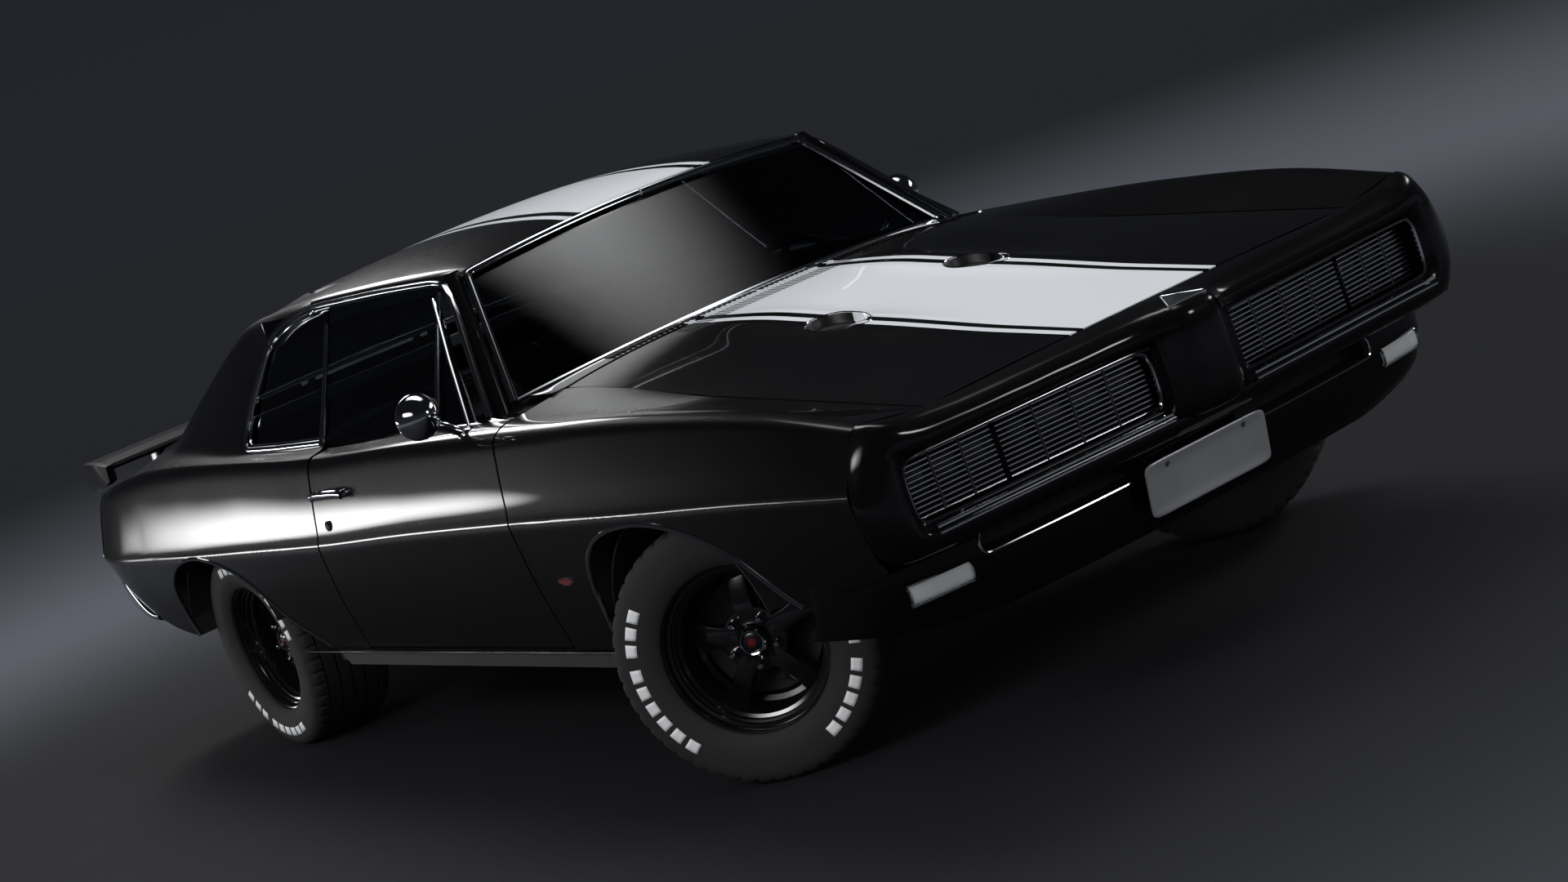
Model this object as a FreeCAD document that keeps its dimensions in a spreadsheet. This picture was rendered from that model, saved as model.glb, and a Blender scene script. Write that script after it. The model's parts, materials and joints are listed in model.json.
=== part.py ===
# Two-door hardtop coupe, built as separate panels, glass, cabin, frame and running gear.
# +X is forward, +Y is the car's left, +Z is up. The origin is on the ground under mid length.
import FreeCAD
import Part
import Sketcher
import math
import os

Vector = FreeCAD.Vector
Rotation = FreeCAD.Rotation
Placement = FreeCAD.Placement

doc = FreeCAD.newDocument("Coupe")

# ---------------------------------------------------------------- sizes
# alias, value in mm (angles in degrees)
SIZES = [
    # overall
    ("wheelbase", 2845.0),
    ("front_overhang", 1035.0),
    ("rear_overhang", 1218.0),
    ("half_width", 946.0),
    ("panel_skin", 24.0),
    ("panel_gap", 6.0),
    ("seal_gap", 2.0),
    # wheels and tyres
    ("tyre_radius", 330.0),
    ("front_tyre_width", 232.0),
    ("rear_tyre_width", 282.0),
    ("tyre_wall", 14.0),
    ("tyre_side", 122.0),
    ("bead_gap", 0.5),
    ("rim_wall", 7.0),
    ("rim_drop", 18.0),
    ("rim_lip", 40.0),
    ("hub_radius", 74.0),
    ("hub_depth", 60.0),
    ("spoke_count", 5.0),
    ("spoke_width", 56.0),
    ("spoke_thickness", 30.0),
    ("spoke_start", 10.0),
    ("front_track", 1524.0),
    ("rear_track", 1424.0),
    ("wheel_clearance", 22.0),
    ("liner_clearance", 42.0),
    ("liner_sheet", 5.0),
    # steering and axles
    ("kingpin_inset", 28.0),
    ("steer_angle", 38.0),
    ("spindle_radius", 22.0),
    ("spindle_gap", 0.05),
    ("spindle_stub", 48.0),
    ("knuckle_length", 70.0),
    ("knuckle_width", 44.0),
    ("knuckle_height", 170.0),
    ("ball_joint_gap", 5.0),
    ("arm_width", 80.0),
    ("arm_height", 24.0),
    ("axle_tube_radius", 40.0),
    ("axle_tube_inset", 90.0),
    ("axle_case_radius", 130.0),
    ("spindle_reach", 10.0),
    ("shaft_radius", 38.0),
    # frame and floor
    ("frame_bottom", 262.0),
    ("rail_height", 96.0),
    ("rail_width", 74.0),
    ("rail_clearance", 14.0),
    ("front_rail_rear", 640.0),
    ("front_rail_reach", 420.0),
    ("horn_rise", 118.0),
    ("horn_length", 360.0),
    ("side_rail_inset", 256.0),
    ("side_rail_front", 620.0),
    ("side_rail_rear", 400.0),
    ("kick_length", 80.0),
    ("rear_rail_height", 92.0),
    ("rear_rail_reach", 1060.0),
    ("member_drop", 40.0),
    ("member_height", 60.0),
    ("member_length", 90.0),
    ("gearbox_member", 1080.0),
    ("floor_z", 374.0),
    ("floor_thickness", 8.0),
    ("floor_inset", 176.0),
    ("floor_front", 704.0),
    ("heel_kick", 490.0),
    ("tunnel_half_width", 160.0),
    ("tunnel_height", 150.0),
    ("shelf_clearance", 100.0),
    ("boot_floor_rise", 100.0),
    # body lines: ahead of the front axle, above the ground or in from the widest line
    ("door_front", -655.0),
    ("door_length", 1200.0),
    ("door_rear_taper", 34.0),
    ("nose_depth", 173.0),
    ("hood_rear", -660.0),
    ("lid_inset", 292.0),
    ("lid_thickness", 22.0),
    ("sill_z", 355.0),
    ("rocker_bottom", 305.0),
    ("rocker_outer_inset", 60.0),
    ("rocker_depth", 110.0),
    # glasshouse
    ("glass_thickness", 5.0),
    ("windscreen_thickness", 7.0),
    ("belt_inset", 128.0),
    ("belt_z", 952.0),
    ("belt_width", 30.0),
    ("roof_rail_inset", 334.0),
    ("roof_rail_z", 1316.0),
    ("roof_thickness", 34.0),
    ("gutter_width", 22.0),
    ("pane_depth", 30.0),
    # nose, grille and lamps
    ("grille_low", 592.0),
    ("grille_high", 738.0),
    ("grille_depth", 20.0),
    ("lamp_door_y", 534.0),
    ("lamp_door_face", 145.0),
    ("lamp_door_width", 250.0),
    ("lamp_door_reach", 95.0),
    ("lamp_door_rise", 65.0),
    ("lamp_door_lean", 5.56),
    ("lamp_radius", 52.0),
    ("lamp_depth", 60.0),
    ("plate_half_width", 188.0),
    ("plate_height", 128.0),
    ("plate_thickness", 3.0),
    ("plate_low", 362.0),
    ("plate_lean", 12.0),
    # tail
    ("tail_setback", 130.0),
    ("tail_panel_thickness", 34.0),
    ("tail_lamp_width", 420.0),
    ("tail_lamp_height", 70.0),
    ("tail_lamp_depth", 22.0),
    ("tail_lamp_y", 260.0),
    ("tail_lamp_z", 690.0),
    ("rear_bumper_low", 470.0),
    ("rear_bumper_high", 640.0),
    ("deck_front", -3190.0),
    ("spoiler_half_width", 790.0),
    ("spoiler_end_width", 28.0),
    ("spoiler_foot_y", 560.0),
    ("spoiler_foot_width", 46.0),
    # engine, gearbox and tank
    ("engine_rear", 480.0),
    ("engine_length", 700.0),
    ("engine_width", 560.0),
    ("engine_height", 470.0),
    ("engine_lift", 50.0),
    ("engine_mount_y", 120.0),
    ("engine_mount_width", 80.0),
    ("gearbox_length", 620.0),
    ("gearbox_width", 220.0),
    ("gearbox_height", 150.0),
    ("gearbox_lift", 60.0),
    ("tank_rear", 980.0),
    ("tank_length", 560.0),
    ("tank_width", 700.0),
    ("tank_height", 180.0),
    # exhaust
    ("pipe_radius", 24.0),
    ("pipe_z", 332.0),
    ("tail_pipe_z", 320.0),
    ("pipe_front_y", 210.0),
    ("pipe_rear_y", 395.0),
    ("pipe_clearance", 46.0),
    ("silencer_length", 420.0),
    ("silencer_width", 130.0),
    ("silencer_height", 64.0),
    # cabin
    ("bulkhead_ahead", -700.0),
    ("bulkhead_thickness", 10.0),
    ("pillar_inner_inset", 270.0),
    ("pillar_width", 96.0),
    ("pillar_length", 180.0),
    ("seat_gap", 10.0),
    ("seat_width", 560.0),
    ("seat_plinth_width", 360.0),
    ("bench_half_width", 530.0),
    ("steering_wheel_radius", 198.0),
    ("steering_rim_radius", 12.0),
    ("steering_wheel_y", 360.0),
    ("steering_wheel_z", 880.0),
    ("steering_wheel_ahead", -1120.0),
    ("steering_hub_radius", 34.0),
    ("steering_hub_depth", 30.0),
    ("column_tilt", 24.0),
    ("column_radius", 26.0),
    ("column_length", 200.0),
    # door mirrors
    ("mirror_inset", -16.0),
    ("mirror_z", 1030.0),
    ("mirror_right", -858.0),
    ("mirror_left", -1280.0),
    ("mirror_radius", 62.0),
]

sheet = doc.addObject("Spreadsheet::Sheet", "Sizes")
for row_number, (alias, value) in enumerate(SIZES, start=1):
    sheet.set(f"A{row_number}", alias)
    sheet.set(f"B{row_number}", str(value))
    sheet.setAlias(f"B{row_number}", alias)
doc.recompute()


def size(expression):
    """The value of a named cell, or of a sum of named cells."""
    if isinstance(expression, str) and "Sizes." not in expression:
        return float(sheet.get(expression))
    return float(sheet.evalExpression(str(expression)))


CAR_LENGTH = "(Sizes.front_overhang + Sizes.wheelbase + Sizes.rear_overhang)"
FRONT_AXLE = f"({CAR_LENGTH} / 2 - Sizes.front_overhang)"
REAR_AXLE = f"({FRONT_AXLE} - Sizes.wheelbase)"
TAIL = f"(-{CAR_LENGTH} / 2)"
SHELF_Z = "(Sizes.tyre_radius + Sizes.axle_case_radius + Sizes.shelf_clearance)"
REAR_RAIL_Z = "(Sizes.tyre_radius + Sizes.axle_tube_radius)"
BOOT_FLOOR_Z = f"({REAR_RAIL_Z} + Sizes.boot_floor_rise)"
REAR_LINER_Y = ("(Sizes.rear_track / 2 - Sizes.rear_tyre_width / 2 - Sizes.wheel_clearance"
                " - Sizes.liner_sheet)")
REAR_RAIL_Y = f"({REAR_LINER_Y} - 2 * Sizes.rail_clearance - Sizes.rail_width)"
SIDE_RAIL_Y = "(Sizes.half_width - Sizes.side_rail_inset)"
RIM_RADIUS = "(Sizes.tyre_radius - Sizes.tyre_side)"

nose_tip = size(CAR_LENGTH) / 2
front_axle = size(FRONT_AXLE)
rear_axle = size(REAR_AXLE)
tail = size(TAIL)
LEFT, RIGHT = 1, -1
SIDES = (("left", LEFT), ("right", RIGHT))

nodes = {}


# ---------------------------------------------------------------- helpers
def keep(label, item):
    """Name a finished sub-part and list it as a node."""
    item.Label = label
    nodes[label] = item
    return item


def bound(kind, name, **expressions):
    """A document object whose properties follow the sheet."""
    item = doc.addObject(kind, name)
    for prop, expression in expressions.items():
        item.setExpression(prop.replace("__", "."), expression)
    return item


def block(name, x, y, z, dx, dy, dz):
    """A box from its low corner and its three lengths, each an expression."""
    return bound(
        "Part::Box", name, Length=dx, Width=dy, Height=dz,
        Placement__Base__x=x, Placement__Base__y=y, Placement__Base__z=z,
    )


def fused(label, items):
    """One solid joined from several."""
    joined = doc.addObject("Part::MultiFuse", label)
    joined.Shapes = items
    joined.Refine = True
    return keep(label, joined)


def grouped(label, items):
    """Like pieces that don't touch, kept as one node."""
    group = doc.addObject("Part::Compound", label)
    group.Links = items
    return keep(label, group)


def made(label, shape, placement=None):
    """A sub-part whose shape comes from Part's own functions, then put in its place."""
    item = doc.addObject("Part::Feature", label)
    item.Shape = shape
    item.Placement = placement or shape.Placement
    return keep(label, item)


def sketched(body, role, name, points, lift="0"):
    """A closed outline on one of a body's own planes, each corner held by its two distances."""
    sketch = body.newObject("Sketcher::SketchObject", name)
    plane = [feature for feature in body.Origin.OriginFeatures if feature.Role == role][0]
    sketch.AttachmentSupport = [(plane, "")]
    sketch.MapMode = "FlatFace"
    sketch.setExpression("AttachmentOffset.Base.z", lift)
    count = len(points)
    corners = [Vector(size(f"{a} + 0 * Sizes.panel_gap"), size(f"{b} + 0 * Sizes.panel_gap"), 0)
               for a, b in points]
    for i in range(count):
        sketch.addGeometry(Part.LineSegment(corners[i], corners[(i + 1) % count]))
    for i in range(count):
        sketch.addConstraint(Sketcher.Constraint("Coincident", i, 2, (i + 1) % count, 1))
    for i, point in enumerate(points):
        for kind, text, value in zip(("DistanceX", "DistanceY"), point, corners[i]):
            held = sketch.addConstraint(Sketcher.Constraint(kind, -1, 1, i, 1, value))
            if "Sizes." in str(text):
                sketch.setExpression(f"Constraints[{held}]", text)
    return sketch


def pad(body, sketch, name, length, centred=False):
    """A sketch given a length; it grows from its plane, or both ways where it is centred."""
    feature = body.newObject("PartDesign::Pad", name)
    feature.Profile = sketch
    feature.setExpression("Length", length)
    feature.Midplane = centred
    return feature


def turned(body, sketch, name):
    """A sketch turned all the way round its own horizontal axis."""
    feature = body.newObject("PartDesign::Revolution", name)
    feature.Profile = sketch
    feature.ReferenceAxis = (sketch, ["H_Axis"])
    feature.Angle = 360
    return feature


def side_pad(name, points, outer_y, width):
    """A body from an (x, z) outline, from its left face at outer_y across by its width."""
    body = doc.addObject("PartDesign::Body", name)
    pad(body, sketched(body, "XZ_Plane", f"{name}_outline", points), f"{name}_pad", width)
    body.setExpression("Placement.Base.y", outer_y)
    return body


def from_front(rows):
    """Outline rows (ahead of the front axle, z) as expressions."""
    return [(f"{FRONT_AXLE} + ({ahead})", z) for ahead, z in rows]


def from_rear(rows):
    """Outline rows (ahead of the rear axle, z) as expressions."""
    return [(f"{REAR_AXLE} + ({ahead})", z) for ahead, z in rows]


def mirrored(shape):
    """The same piece on the other side of the car."""
    return shape.mirror(Vector(0, 0, 0), Vector(0, 1, 0))


def on_side(shape, side):
    """A piece built for the left, put on the side asked for."""
    return shape if side == LEFT else mirrored(shape)


def both_sides(shape):
    """A left piece and its mirror image."""
    return Part.makeCompound([shape, mirrored(shape)])


def inboard(distance):
    """The y of a line that far in from the car's widest line."""
    return size("half_width") - distance


def closed(corners):
    """A closed wire through corners."""
    return Part.makePolygon(corners + corners[:1])


def across(x, points):
    """A closed wire in the plane at x, from (y, z) points."""
    return closed([Vector(x, y, z) for y, z in points])


def skin(wires):
    """A straight-sided loft through closed wires."""
    return Part.makeLoft(wires, True, True)


def side_prism(points, y_low, y_high):
    """An outline of (x, z) points, pulled across the car."""
    face = Part.Face(closed([Vector(x, y_low, z) for x, z in points]))
    return face.extrude(Vector(0, y_high - y_low, 0))


def plan_prism(points, z_low, z_high):
    """An outline of (x, y) points, pulled upwards."""
    face = Part.Face(closed([Vector(x, y, z_low) for x, y in points]))
    return face.extrude(Vector(0, 0, z_high - z_low))


def end_prism(points, x_low, x_high):
    """An outline of (y, z) points, pulled along the car."""
    face = Part.Face(closed([Vector(x_low, y, z) for y, z in points]))
    return face.extrude(Vector(x_high - x_low, 0, 0))


def inset(points, distance):
    """An open line of points moved to its right-hand side by a distance."""
    moved = []
    for i, (a, b) in enumerate(points):
        normals = []
        for start, end in zip(points[max(i - 1, 0):i + 1], points[max(i, 1):i + 2]):
            run = Vector(end[0] - start[0], end[1] - start[1], 0).normalize()
            normals.append(Vector(run.y, -run.x, 0))
        normal = sum(normals, Vector(0, 0, 0))
        reach = distance * len(normals) / normal.Length ** 2
        moved.append((a + normal.x * reach, b + normal.y * reach))
    return moved


def strip(points, near, far):
    """A closed outline between two lines, each that far to the right of a line of points."""
    return inset(points, near) + inset(points, far)[::-1]


# ---------------------------------------------------------------- body lines
# One half of the body at each station, from the sill up to the edge of the hood, belt or deck.
# Columns: what it is measured from, distance ahead of it, then how far in from the widest line
# and how high the sill, the crease and the crest are.
BODY_STATIONS = [
    ("nose", -173, 78, 465, 34, 706, 100, 844),
    ("front", 520, 46, 440, 14, 716, 82, 902),
    ("front", 60, 41, 355, 2, 716, 66, 936),
    ("front", -655, 48, 355, 0, 715, 53, 945),
    ("front", -1250, 52, 355, 0, 708, 53, 942),
    ("front", -1855, 56, 355, 2, 692, 56, 936),
    ("rear", 420, 56, 355, 4, 688, 60, 950),
    ("rear", -60, 54, 375, 6, 684, 68, 958),
    ("rear", -480, 60, 420, 18, 680, 84, 945),
    ("tail", 348, 84, 520, 46, 676, 114, 905),
    ("tail", 128, 131, 600, 96, 676, 166, 880),
]
# Columns: what it is measured from, distance ahead of it, how far in the panel's inner edge is,
# its height, and the height on the centre line.
TOP_STATIONS = [
    ("nose", -173, 292, 812, 819),
    ("front", 520, 292, 848, 862),
    ("front", 60, 292, 895, 915),
    ("front", -655, 292, 972, 1000),
    ("front", -1250, 156, 956, 1000),
    ("front", -1855, 156, 950, 1000),
    ("rear", 420, 186, 975, 1000),
    ("rear", -60, 246, 1020, 1045),
    ("rear", -480, 292, 1004, 1022),
    ("tail", 348, 292, 935, 950),
    ("tail", 128, 292, 896, 910),
]
# Points between sill and crease, and between crease and crest, as shares of the way out.
BELLY, SHOULDER = 0.72, 0.62
ORIGINS = {"nose": nose_tip, "front": front_axle, "rear": rear_axle, "tail": tail}


def station_x(origin, ahead):
    """The x of a station."""
    return ORIGINS[origin] + ahead


def at(table, x):
    """A table's columns at any x, straight between its stations."""
    rows = [(station_x(row[0], row[1]), row[2:]) for row in table]
    for (x_front, front), (x_rear, rear) in zip(rows, rows[1:]):
        if x >= x_rear:
            break
    share = (x - x_rear) / (x_front - x_rear)
    return [r + (f - r) * share for f, r in zip(front, rear)]


def between(table, x_low, x_high):
    """The two ends and the stations between them, from front to rear."""
    inner = [station_x(row[0], row[1]) for row in table]
    return [x_high] + [x for x in inner if x_low + 1 < x < x_high - 1] + [x_low]


def outer_line(x, with_top=True):
    """The outer side of the body at x as (y, z) points from the sill upwards."""
    sill, sill_z, crease, crease_z, crest, crest_z = at(BODY_STATIONS, x)
    sill_y, crease_y, crest_y = inboard(sill), inboard(crease), inboard(crest)
    belly = (sill_y + (crease_y - sill_y) * BELLY, (sill_z + crease_z) / 2)
    shoulder = (crest_y + (crease_y - crest_y) * SHOULDER, (crease_z + crest_z) / 2)
    line = [(sill_y, sill_z), belly, (crease_y, crease_z), shoulder, (crest_y, crest_z)]
    if with_top:
        edge, edge_z, _ = at(TOP_STATIONS, x)
        line.append((inboard(edge), edge_z))
    return line


def side_panel(x_low, x_high):
    """A left body panel of even thickness between two x planes, upright along the lid's edge."""
    wires = []
    for x in between(BODY_STATIONS, x_low, x_high):
        line = outer_line(x)
        inner = inset(line, -skin_t)
        inner[-1] = (line[-1][0], inner[-1][1])
        wires.append(across(x, line + inner[::-1]))
    return skin(wires)


# Wheel arch opening round its wheel's centre: a squared rear, a flat crown, a long front slope.
# Columns: angle up from straight ahead, distance beyond the tread.
ARCH = [(207, 65), (158, 49), (142, 96), (125, 84), (99, 43), (73, 46), (45, 96), (30, 131),
        (14, 195), (2.6, 371), (-11.8, 549)]


def arch_cut(axle_x):
    """The space of one wheel arch, through the left side of the body."""
    radius = size("tyre_radius")
    points = [(axle_x + (radius + beyond) * math.cos(math.radians(angle)),
               radius + (radius + beyond) * math.sin(math.radians(angle))) for angle, beyond in ARCH]
    return side_prism(points, size(REAR_LINER_Y), 2 * size("half_width"))


# ---------------------------------------------------------------- wings, quarters and rockers
gap = size("panel_gap")
skin_t = size("panel_skin")
door_front_x = front_axle + size("door_front")
door_rear_x = door_front_x - size("door_length")
seam_x = nose_tip - size("nose_depth")
tail_panel_x = tail + size("tail_setback")

wing = side_panel(door_front_x + gap, seam_x - gap)
wing = wing.cut(arch_cut(front_axle))
made("front_fenders", both_sides(wing))

quarter = side_panel(tail_panel_x, door_rear_x - gap)
quarter = quarter.cut(arch_cut(rear_axle))

rocker_top = "Sizes.sill_z - Sizes.seal_gap"
rocker_front = f"{FRONT_AXLE} - Sizes.tyre_radius - Sizes.liner_clearance"
rocker_outline = [(rocker_front, rocker_top), (f"{REAR_AXLE} + 700", rocker_top),
                  (f"{REAR_AXLE} + 760", "Sizes.rocker_bottom"), (rocker_front, "Sizes.rocker_bottom")]
rocker_left = side_pad("rocker_left", rocker_outline,
                       "Sizes.half_width - Sizes.rocker_outer_inset", "Sizes.rocker_depth")
rocker_right = side_pad("rocker_right", rocker_outline,
                        "Sizes.rocker_outer_inset + Sizes.rocker_depth - Sizes.half_width",
                        "Sizes.rocker_depth")
grouped("rocker_panels", [rocker_left, rocker_right])

# ---------------------------------------------------------------- hood
hood_rear_x = front_axle + size("hood_rear")
lid_half = inboard(size("lid_inset")) - gap
LID_SHARE, LID_RISE = 0.55, 0.75


def lid_section(x, half_width, thickness):
    """A crowned lid's section at x."""
    _, edge_z, centre_z = at(TOP_STATIONS, x)
    shoulder_z = edge_z + (centre_z - edge_z) * LID_RISE
    line = [(-half_width, edge_z), (-half_width * LID_SHARE, shoulder_z), (0, centre_z),
            (half_width * LID_SHARE, shoulder_z), (half_width, edge_z)]
    lower = [(y, z - thickness) for y, z in line]
    return across(x, line + lower[::-1])


def lid(x_low, x_high):
    """A crowned lid between two x planes."""
    stations = between(TOP_STATIONS, x_low, x_high)
    return skin([lid_section(x, lid_half, size("lid_thickness")) for x in stations])


made("hood", lid(hood_rear_x, seam_x - gap))

# ---------------------------------------------------------------- nose
# Plan line of the nose. Columns: y from the middle or in from the side, distance behind the tip.
NOSE = [("middle", 0, 0), ("middle", 60, 11), ("middle", 112, 57), ("side", 156, 105), ("side", 78, 135)]
# Sections of the two bars. Columns: measured from the face or the seam, distance ahead, z.
grille_low, grille_high = size("grille_low"), size("grille_high")
UPPER_BAR = [("seam", 0, 815), ("face", -34, 806), ("face", 0, 784), ("face", 0, 750),
             ("face", -24, grille_high), ("seam", 0, grille_high)]
# The lower bar's back leans forward to leave room for the lamp door's swing.
LOWER_BAR = [("face", -6, grille_low), ("face", 0, 578), ("face", 0, 556), ("face", -24, 528),
             ("seam", -12, 528), ("seam", -12, 542), ("face", -34, grille_low)]
# Cheek outside the grille. Columns: z, distance behind the tip where it meets the bars, how far in
# it is at the seam, and how far in and behind the tip its corner is.
CHEEK = [(512, 118, 70, 96, 152), (620, 109, 44, 54, 142), (706, 109, 34, 46, 140),
         (776, 109, 59, 76, 144), (806, 112, 78, 98, 150)]
CHEEK_INNER, BEAK_HALF = 146, 110


def plan_y(origin, distance):
    """The y of a plan point measured from the middle or in from the side."""
    return distance if origin == "middle" else inboard(distance)


def nose_bar(rows):
    """A bar of the nose along its left half."""
    wires = []
    for origin, distance, behind in NOSE:
        face = nose_tip - behind
        wires.append(closed([Vector((face if kind == "face" else seam_x) + ahead,
                                    plan_y(origin, distance), z) for kind, ahead, z in rows]))
    return skin(wires)


cheek = skin([closed([Vector(seam_x, inboard(CHEEK_INNER), z),
                      Vector(nose_tip - behind, inboard(CHEEK_INNER), z),
                      Vector(nose_tip - corner_behind, inboard(corner_in), z),
                      Vector(seam_x, inboard(seam_in), z)])
              for z, behind, seam_in, corner_in, corner_behind in CHEEK])
beak_plan = [(seam_x, -1), (nose_tip - 2, -1), (nose_tip - 13, 60), (nose_tip - 59, BEAK_HALF),
             (seam_x, BEAK_HALF)]
beak = plan_prism(beak_plan, 540, 790)
half_nose = nose_bar(UPPER_BAR).fuse([nose_bar(LOWER_BAR), beak, cheek])
nose = half_nose.fuse(mirrored(half_nose)).removeSplitter().cut(both_sides(wing))
made("front_bumper", nose)

# Grille: a fixed insert in the inner half of each opening and a lamp door in the outer half.
lamp_door_y, lamp_door_width = size("lamp_door_y"), size("lamp_door_width")
lean = math.radians(size("lamp_door_lean"))
INSERT_INNER_Y, INSERT_END_GAP = 118, 8


def grille_face(y):
    """The x of the grille's front face at a distance from the middle."""
    return nose_tip - size("lamp_door_face") - (y - lamp_door_y) * math.tan(lean)


insert_outer_y = lamp_door_y - INSERT_END_GAP
insert_front = [(grille_face(INSERT_INNER_Y), INSERT_INNER_Y), (grille_face(insert_outer_y), insert_outer_y)]
insert_plan = insert_front + [(x - size("grille_depth"), y) for x, y in insert_front[::-1]]
made("grille_inserts", both_sides(plan_prism(insert_plan, grille_low + gap, grille_high - gap)))

reach, rise = size("lamp_door_reach"), size("lamp_door_rise")
ARM_WIDTH, ARM_EYE, ARM_END, ARM_LAP = 10, 10, 30, 15
lamp_door = Part.makeBox(size("grille_depth"), lamp_door_width, 2 * rise,
                         Vector(reach - size("grille_depth"), 0, -rise))
for arm_y in (0, lamp_door_width - ARM_WIDTH):
    arm = side_prism([(-ARM_EYE, -ARM_EYE), (reach - ARM_LAP, -ARM_END), (reach - ARM_LAP, ARM_END),
                      (-ARM_EYE, ARM_EYE)], arm_y, arm_y + ARM_WIDTH)
    lamp_door = lamp_door.fuse(arm)
lamp_centre_z = (grille_low + grille_high) / 2
lamp_pivot = Placement(Vector(grille_face(lamp_door_y) - reach, lamp_door_y, lamp_centre_z),
                       Rotation(Vector(0, 0, 1), size("lamp_door_lean")))
lamp_door.Placement = lamp_pivot
for name, side in SIDES:
    made(f"headlamp_door_{name}", on_side(lamp_door, side))
lamps = []
for along in (68, 182):
    bowl = Part.makeCone(30, size("lamp_radius"), size("lamp_depth"),
                         Vector(-size("lamp_depth") / 2, along, 0), Vector(1, 0, 0))
    bowl.Placement = lamp_pivot.multiply(bowl.Placement)
    lamps.append(bowl)
made("head_lamps", both_sides(Part.makeCompound(lamps)))

# ---------------------------------------------------------------- valance, lamps and plate
# Columns: distance behind the nose tip, y from the middle or in from the side.
VALANCE = [(173, "middle", 0), (183, "middle", 350), (211, "side", 326), (243, "side", 146),
           (299, "side", 68), (435, "side", 40), (463, "side", 38)]
# Columns: z, how far the outer line is tucked in.
VALANCE_LEVELS = [(335, 40), (405, 12), (462, 0), (505, 0)]
VALANCE_WALL = 26
LAMP_LOW, LAMP_HIGH, LAMP_WALL = 410, 456, 12
valance_left = [(nose_tip - behind, plan_y(origin, y)) for behind, origin, y in VALANCE]


def whole_width(points):
    """A line that starts at the middle of the car, with its mirror image before it."""
    return [(x, -y) for x, y in points[:0:-1]] + points


valance_line = whole_width(valance_left)
valance = skin([closed([Vector(x, y, z) for x, y in strip(valance_line, -tuck, -tuck - VALANCE_WALL)])
                for z, tuck in VALANCE_LEVELS])
valance_top = plan_prism(strip(whole_width(valance_left[:3]), 0, -VALANCE_WALL), 500, 522)
slot = side_prism([(nose_tip - 275, 470), (nose_tip, 470), (nose_tip, 508), (nose_tip - 275, 508)],
                  150, 590)
lamp_line = [(nose_tip - 212, inboard(298)), (nose_tip - 240, inboard(138))]
lamp = plan_prism(strip(lamp_line, 0, -LAMP_WALL), LAMP_LOW, LAMP_HIGH)
space_line = [(nose_tip - 211, inboard(302)), (nose_tip - 241, inboard(134))]
lamp_space = plan_prism(strip(space_line, 17, -LAMP_WALL - 4), LAMP_LOW - 4, LAMP_HIGH + 4)
valance = valance.fuse(valance_top).cut([both_sides(slot), both_sides(lamp_space)])
valance = valance.cut([both_sides(arch_cut(front_axle)), both_sides(wing), nose])
made("front_valance", valance.removeSplitter())
made("turn_lamps", both_sides(lamp))

plate = doc.addObject("PartDesign::Body", "plate_body")
plate_outline = [("-Sizes.plate_half_width", "0"), ("Sizes.plate_half_width", "0"),
                 ("Sizes.plate_half_width", "Sizes.plate_height"),
                 ("-Sizes.plate_half_width", "Sizes.plate_height")]
pad(plate, sketched(plate, "YZ_Plane", "plate_outline", plate_outline), "plate_pad",
    "Sizes.plate_thickness")
plate.Placement = Placement(Vector(nose_tip - 163, 0, size("plate_low")),
                            Rotation(Vector(0, 1, 0), size("plate_lean")))
keep("licence_plate", plate)

# ---------------------------------------------------------------- roof and pillars
belt_y, belt_z = inboard(size("belt_inset")), size("belt_z")
rail_y, rail_z = inboard(size("roof_rail_inset")), size("roof_rail_z")
SLAB_LOW = 900


def glass_y(z):
    """The y of the side glass plane at a height."""
    return belt_y + (rail_y - belt_y) * (z - belt_z) / (rail_z - belt_z)


def side_slab(outside, thickness, z_high):
    """A leaning slab parallel to the left side glass along the whole cabin."""
    outer = [(glass_y(z) + outside, z) for z in (SLAB_LOW, z_high)]
    inner = [(y - thickness, z) for y, z in outer]
    return end_prism(outer + inner[::-1], tail, front_axle)


def side_outline(rows):
    """A flat outline seen from the side, all through the left side of the cabin."""
    return side_prism(rows, 0, size("half_width"))


# Columns: distance ahead of the front axle, how far in the rail is, rail height, centre height.
ROOF_STATIONS = [
    (-1135, 358, 1318, 1354),
    (-1420, 344, 1334, 1384),
    (-1760, 340, 1340, 1395),
    (-2140, 342, 1338, 1380),
    (-2480, 356, 1318, 1342),
]
ROOF_SHARE, ROOF_RISE = 0.72, 0.62


def roof_section(ahead, rail_in, rail, centre):
    """The roof's section at one station: gutter, crown and gutter, and the same underneath."""
    half = inboard(rail_in)
    t = size("roof_thickness")
    shoulder_y, shoulder_z = half * ROOF_SHARE, rail + (centre - rail) * ROOF_RISE
    left_top = [(shoulder_y, shoulder_z), (half, rail), (half + size("gutter_width"), rail - t)]
    left_under = [(half - t / 3, rail - t), (shoulder_y, shoulder_z - t)]
    left = left_top + left_under
    right = [(-y, z) for y, z in left[::-1]]
    return across(front_axle + ahead, [(0, centre)] + left + [(0, centre - t)] + right)


roof = skin([roof_section(*row) for row in ROOF_STATIONS])

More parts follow.
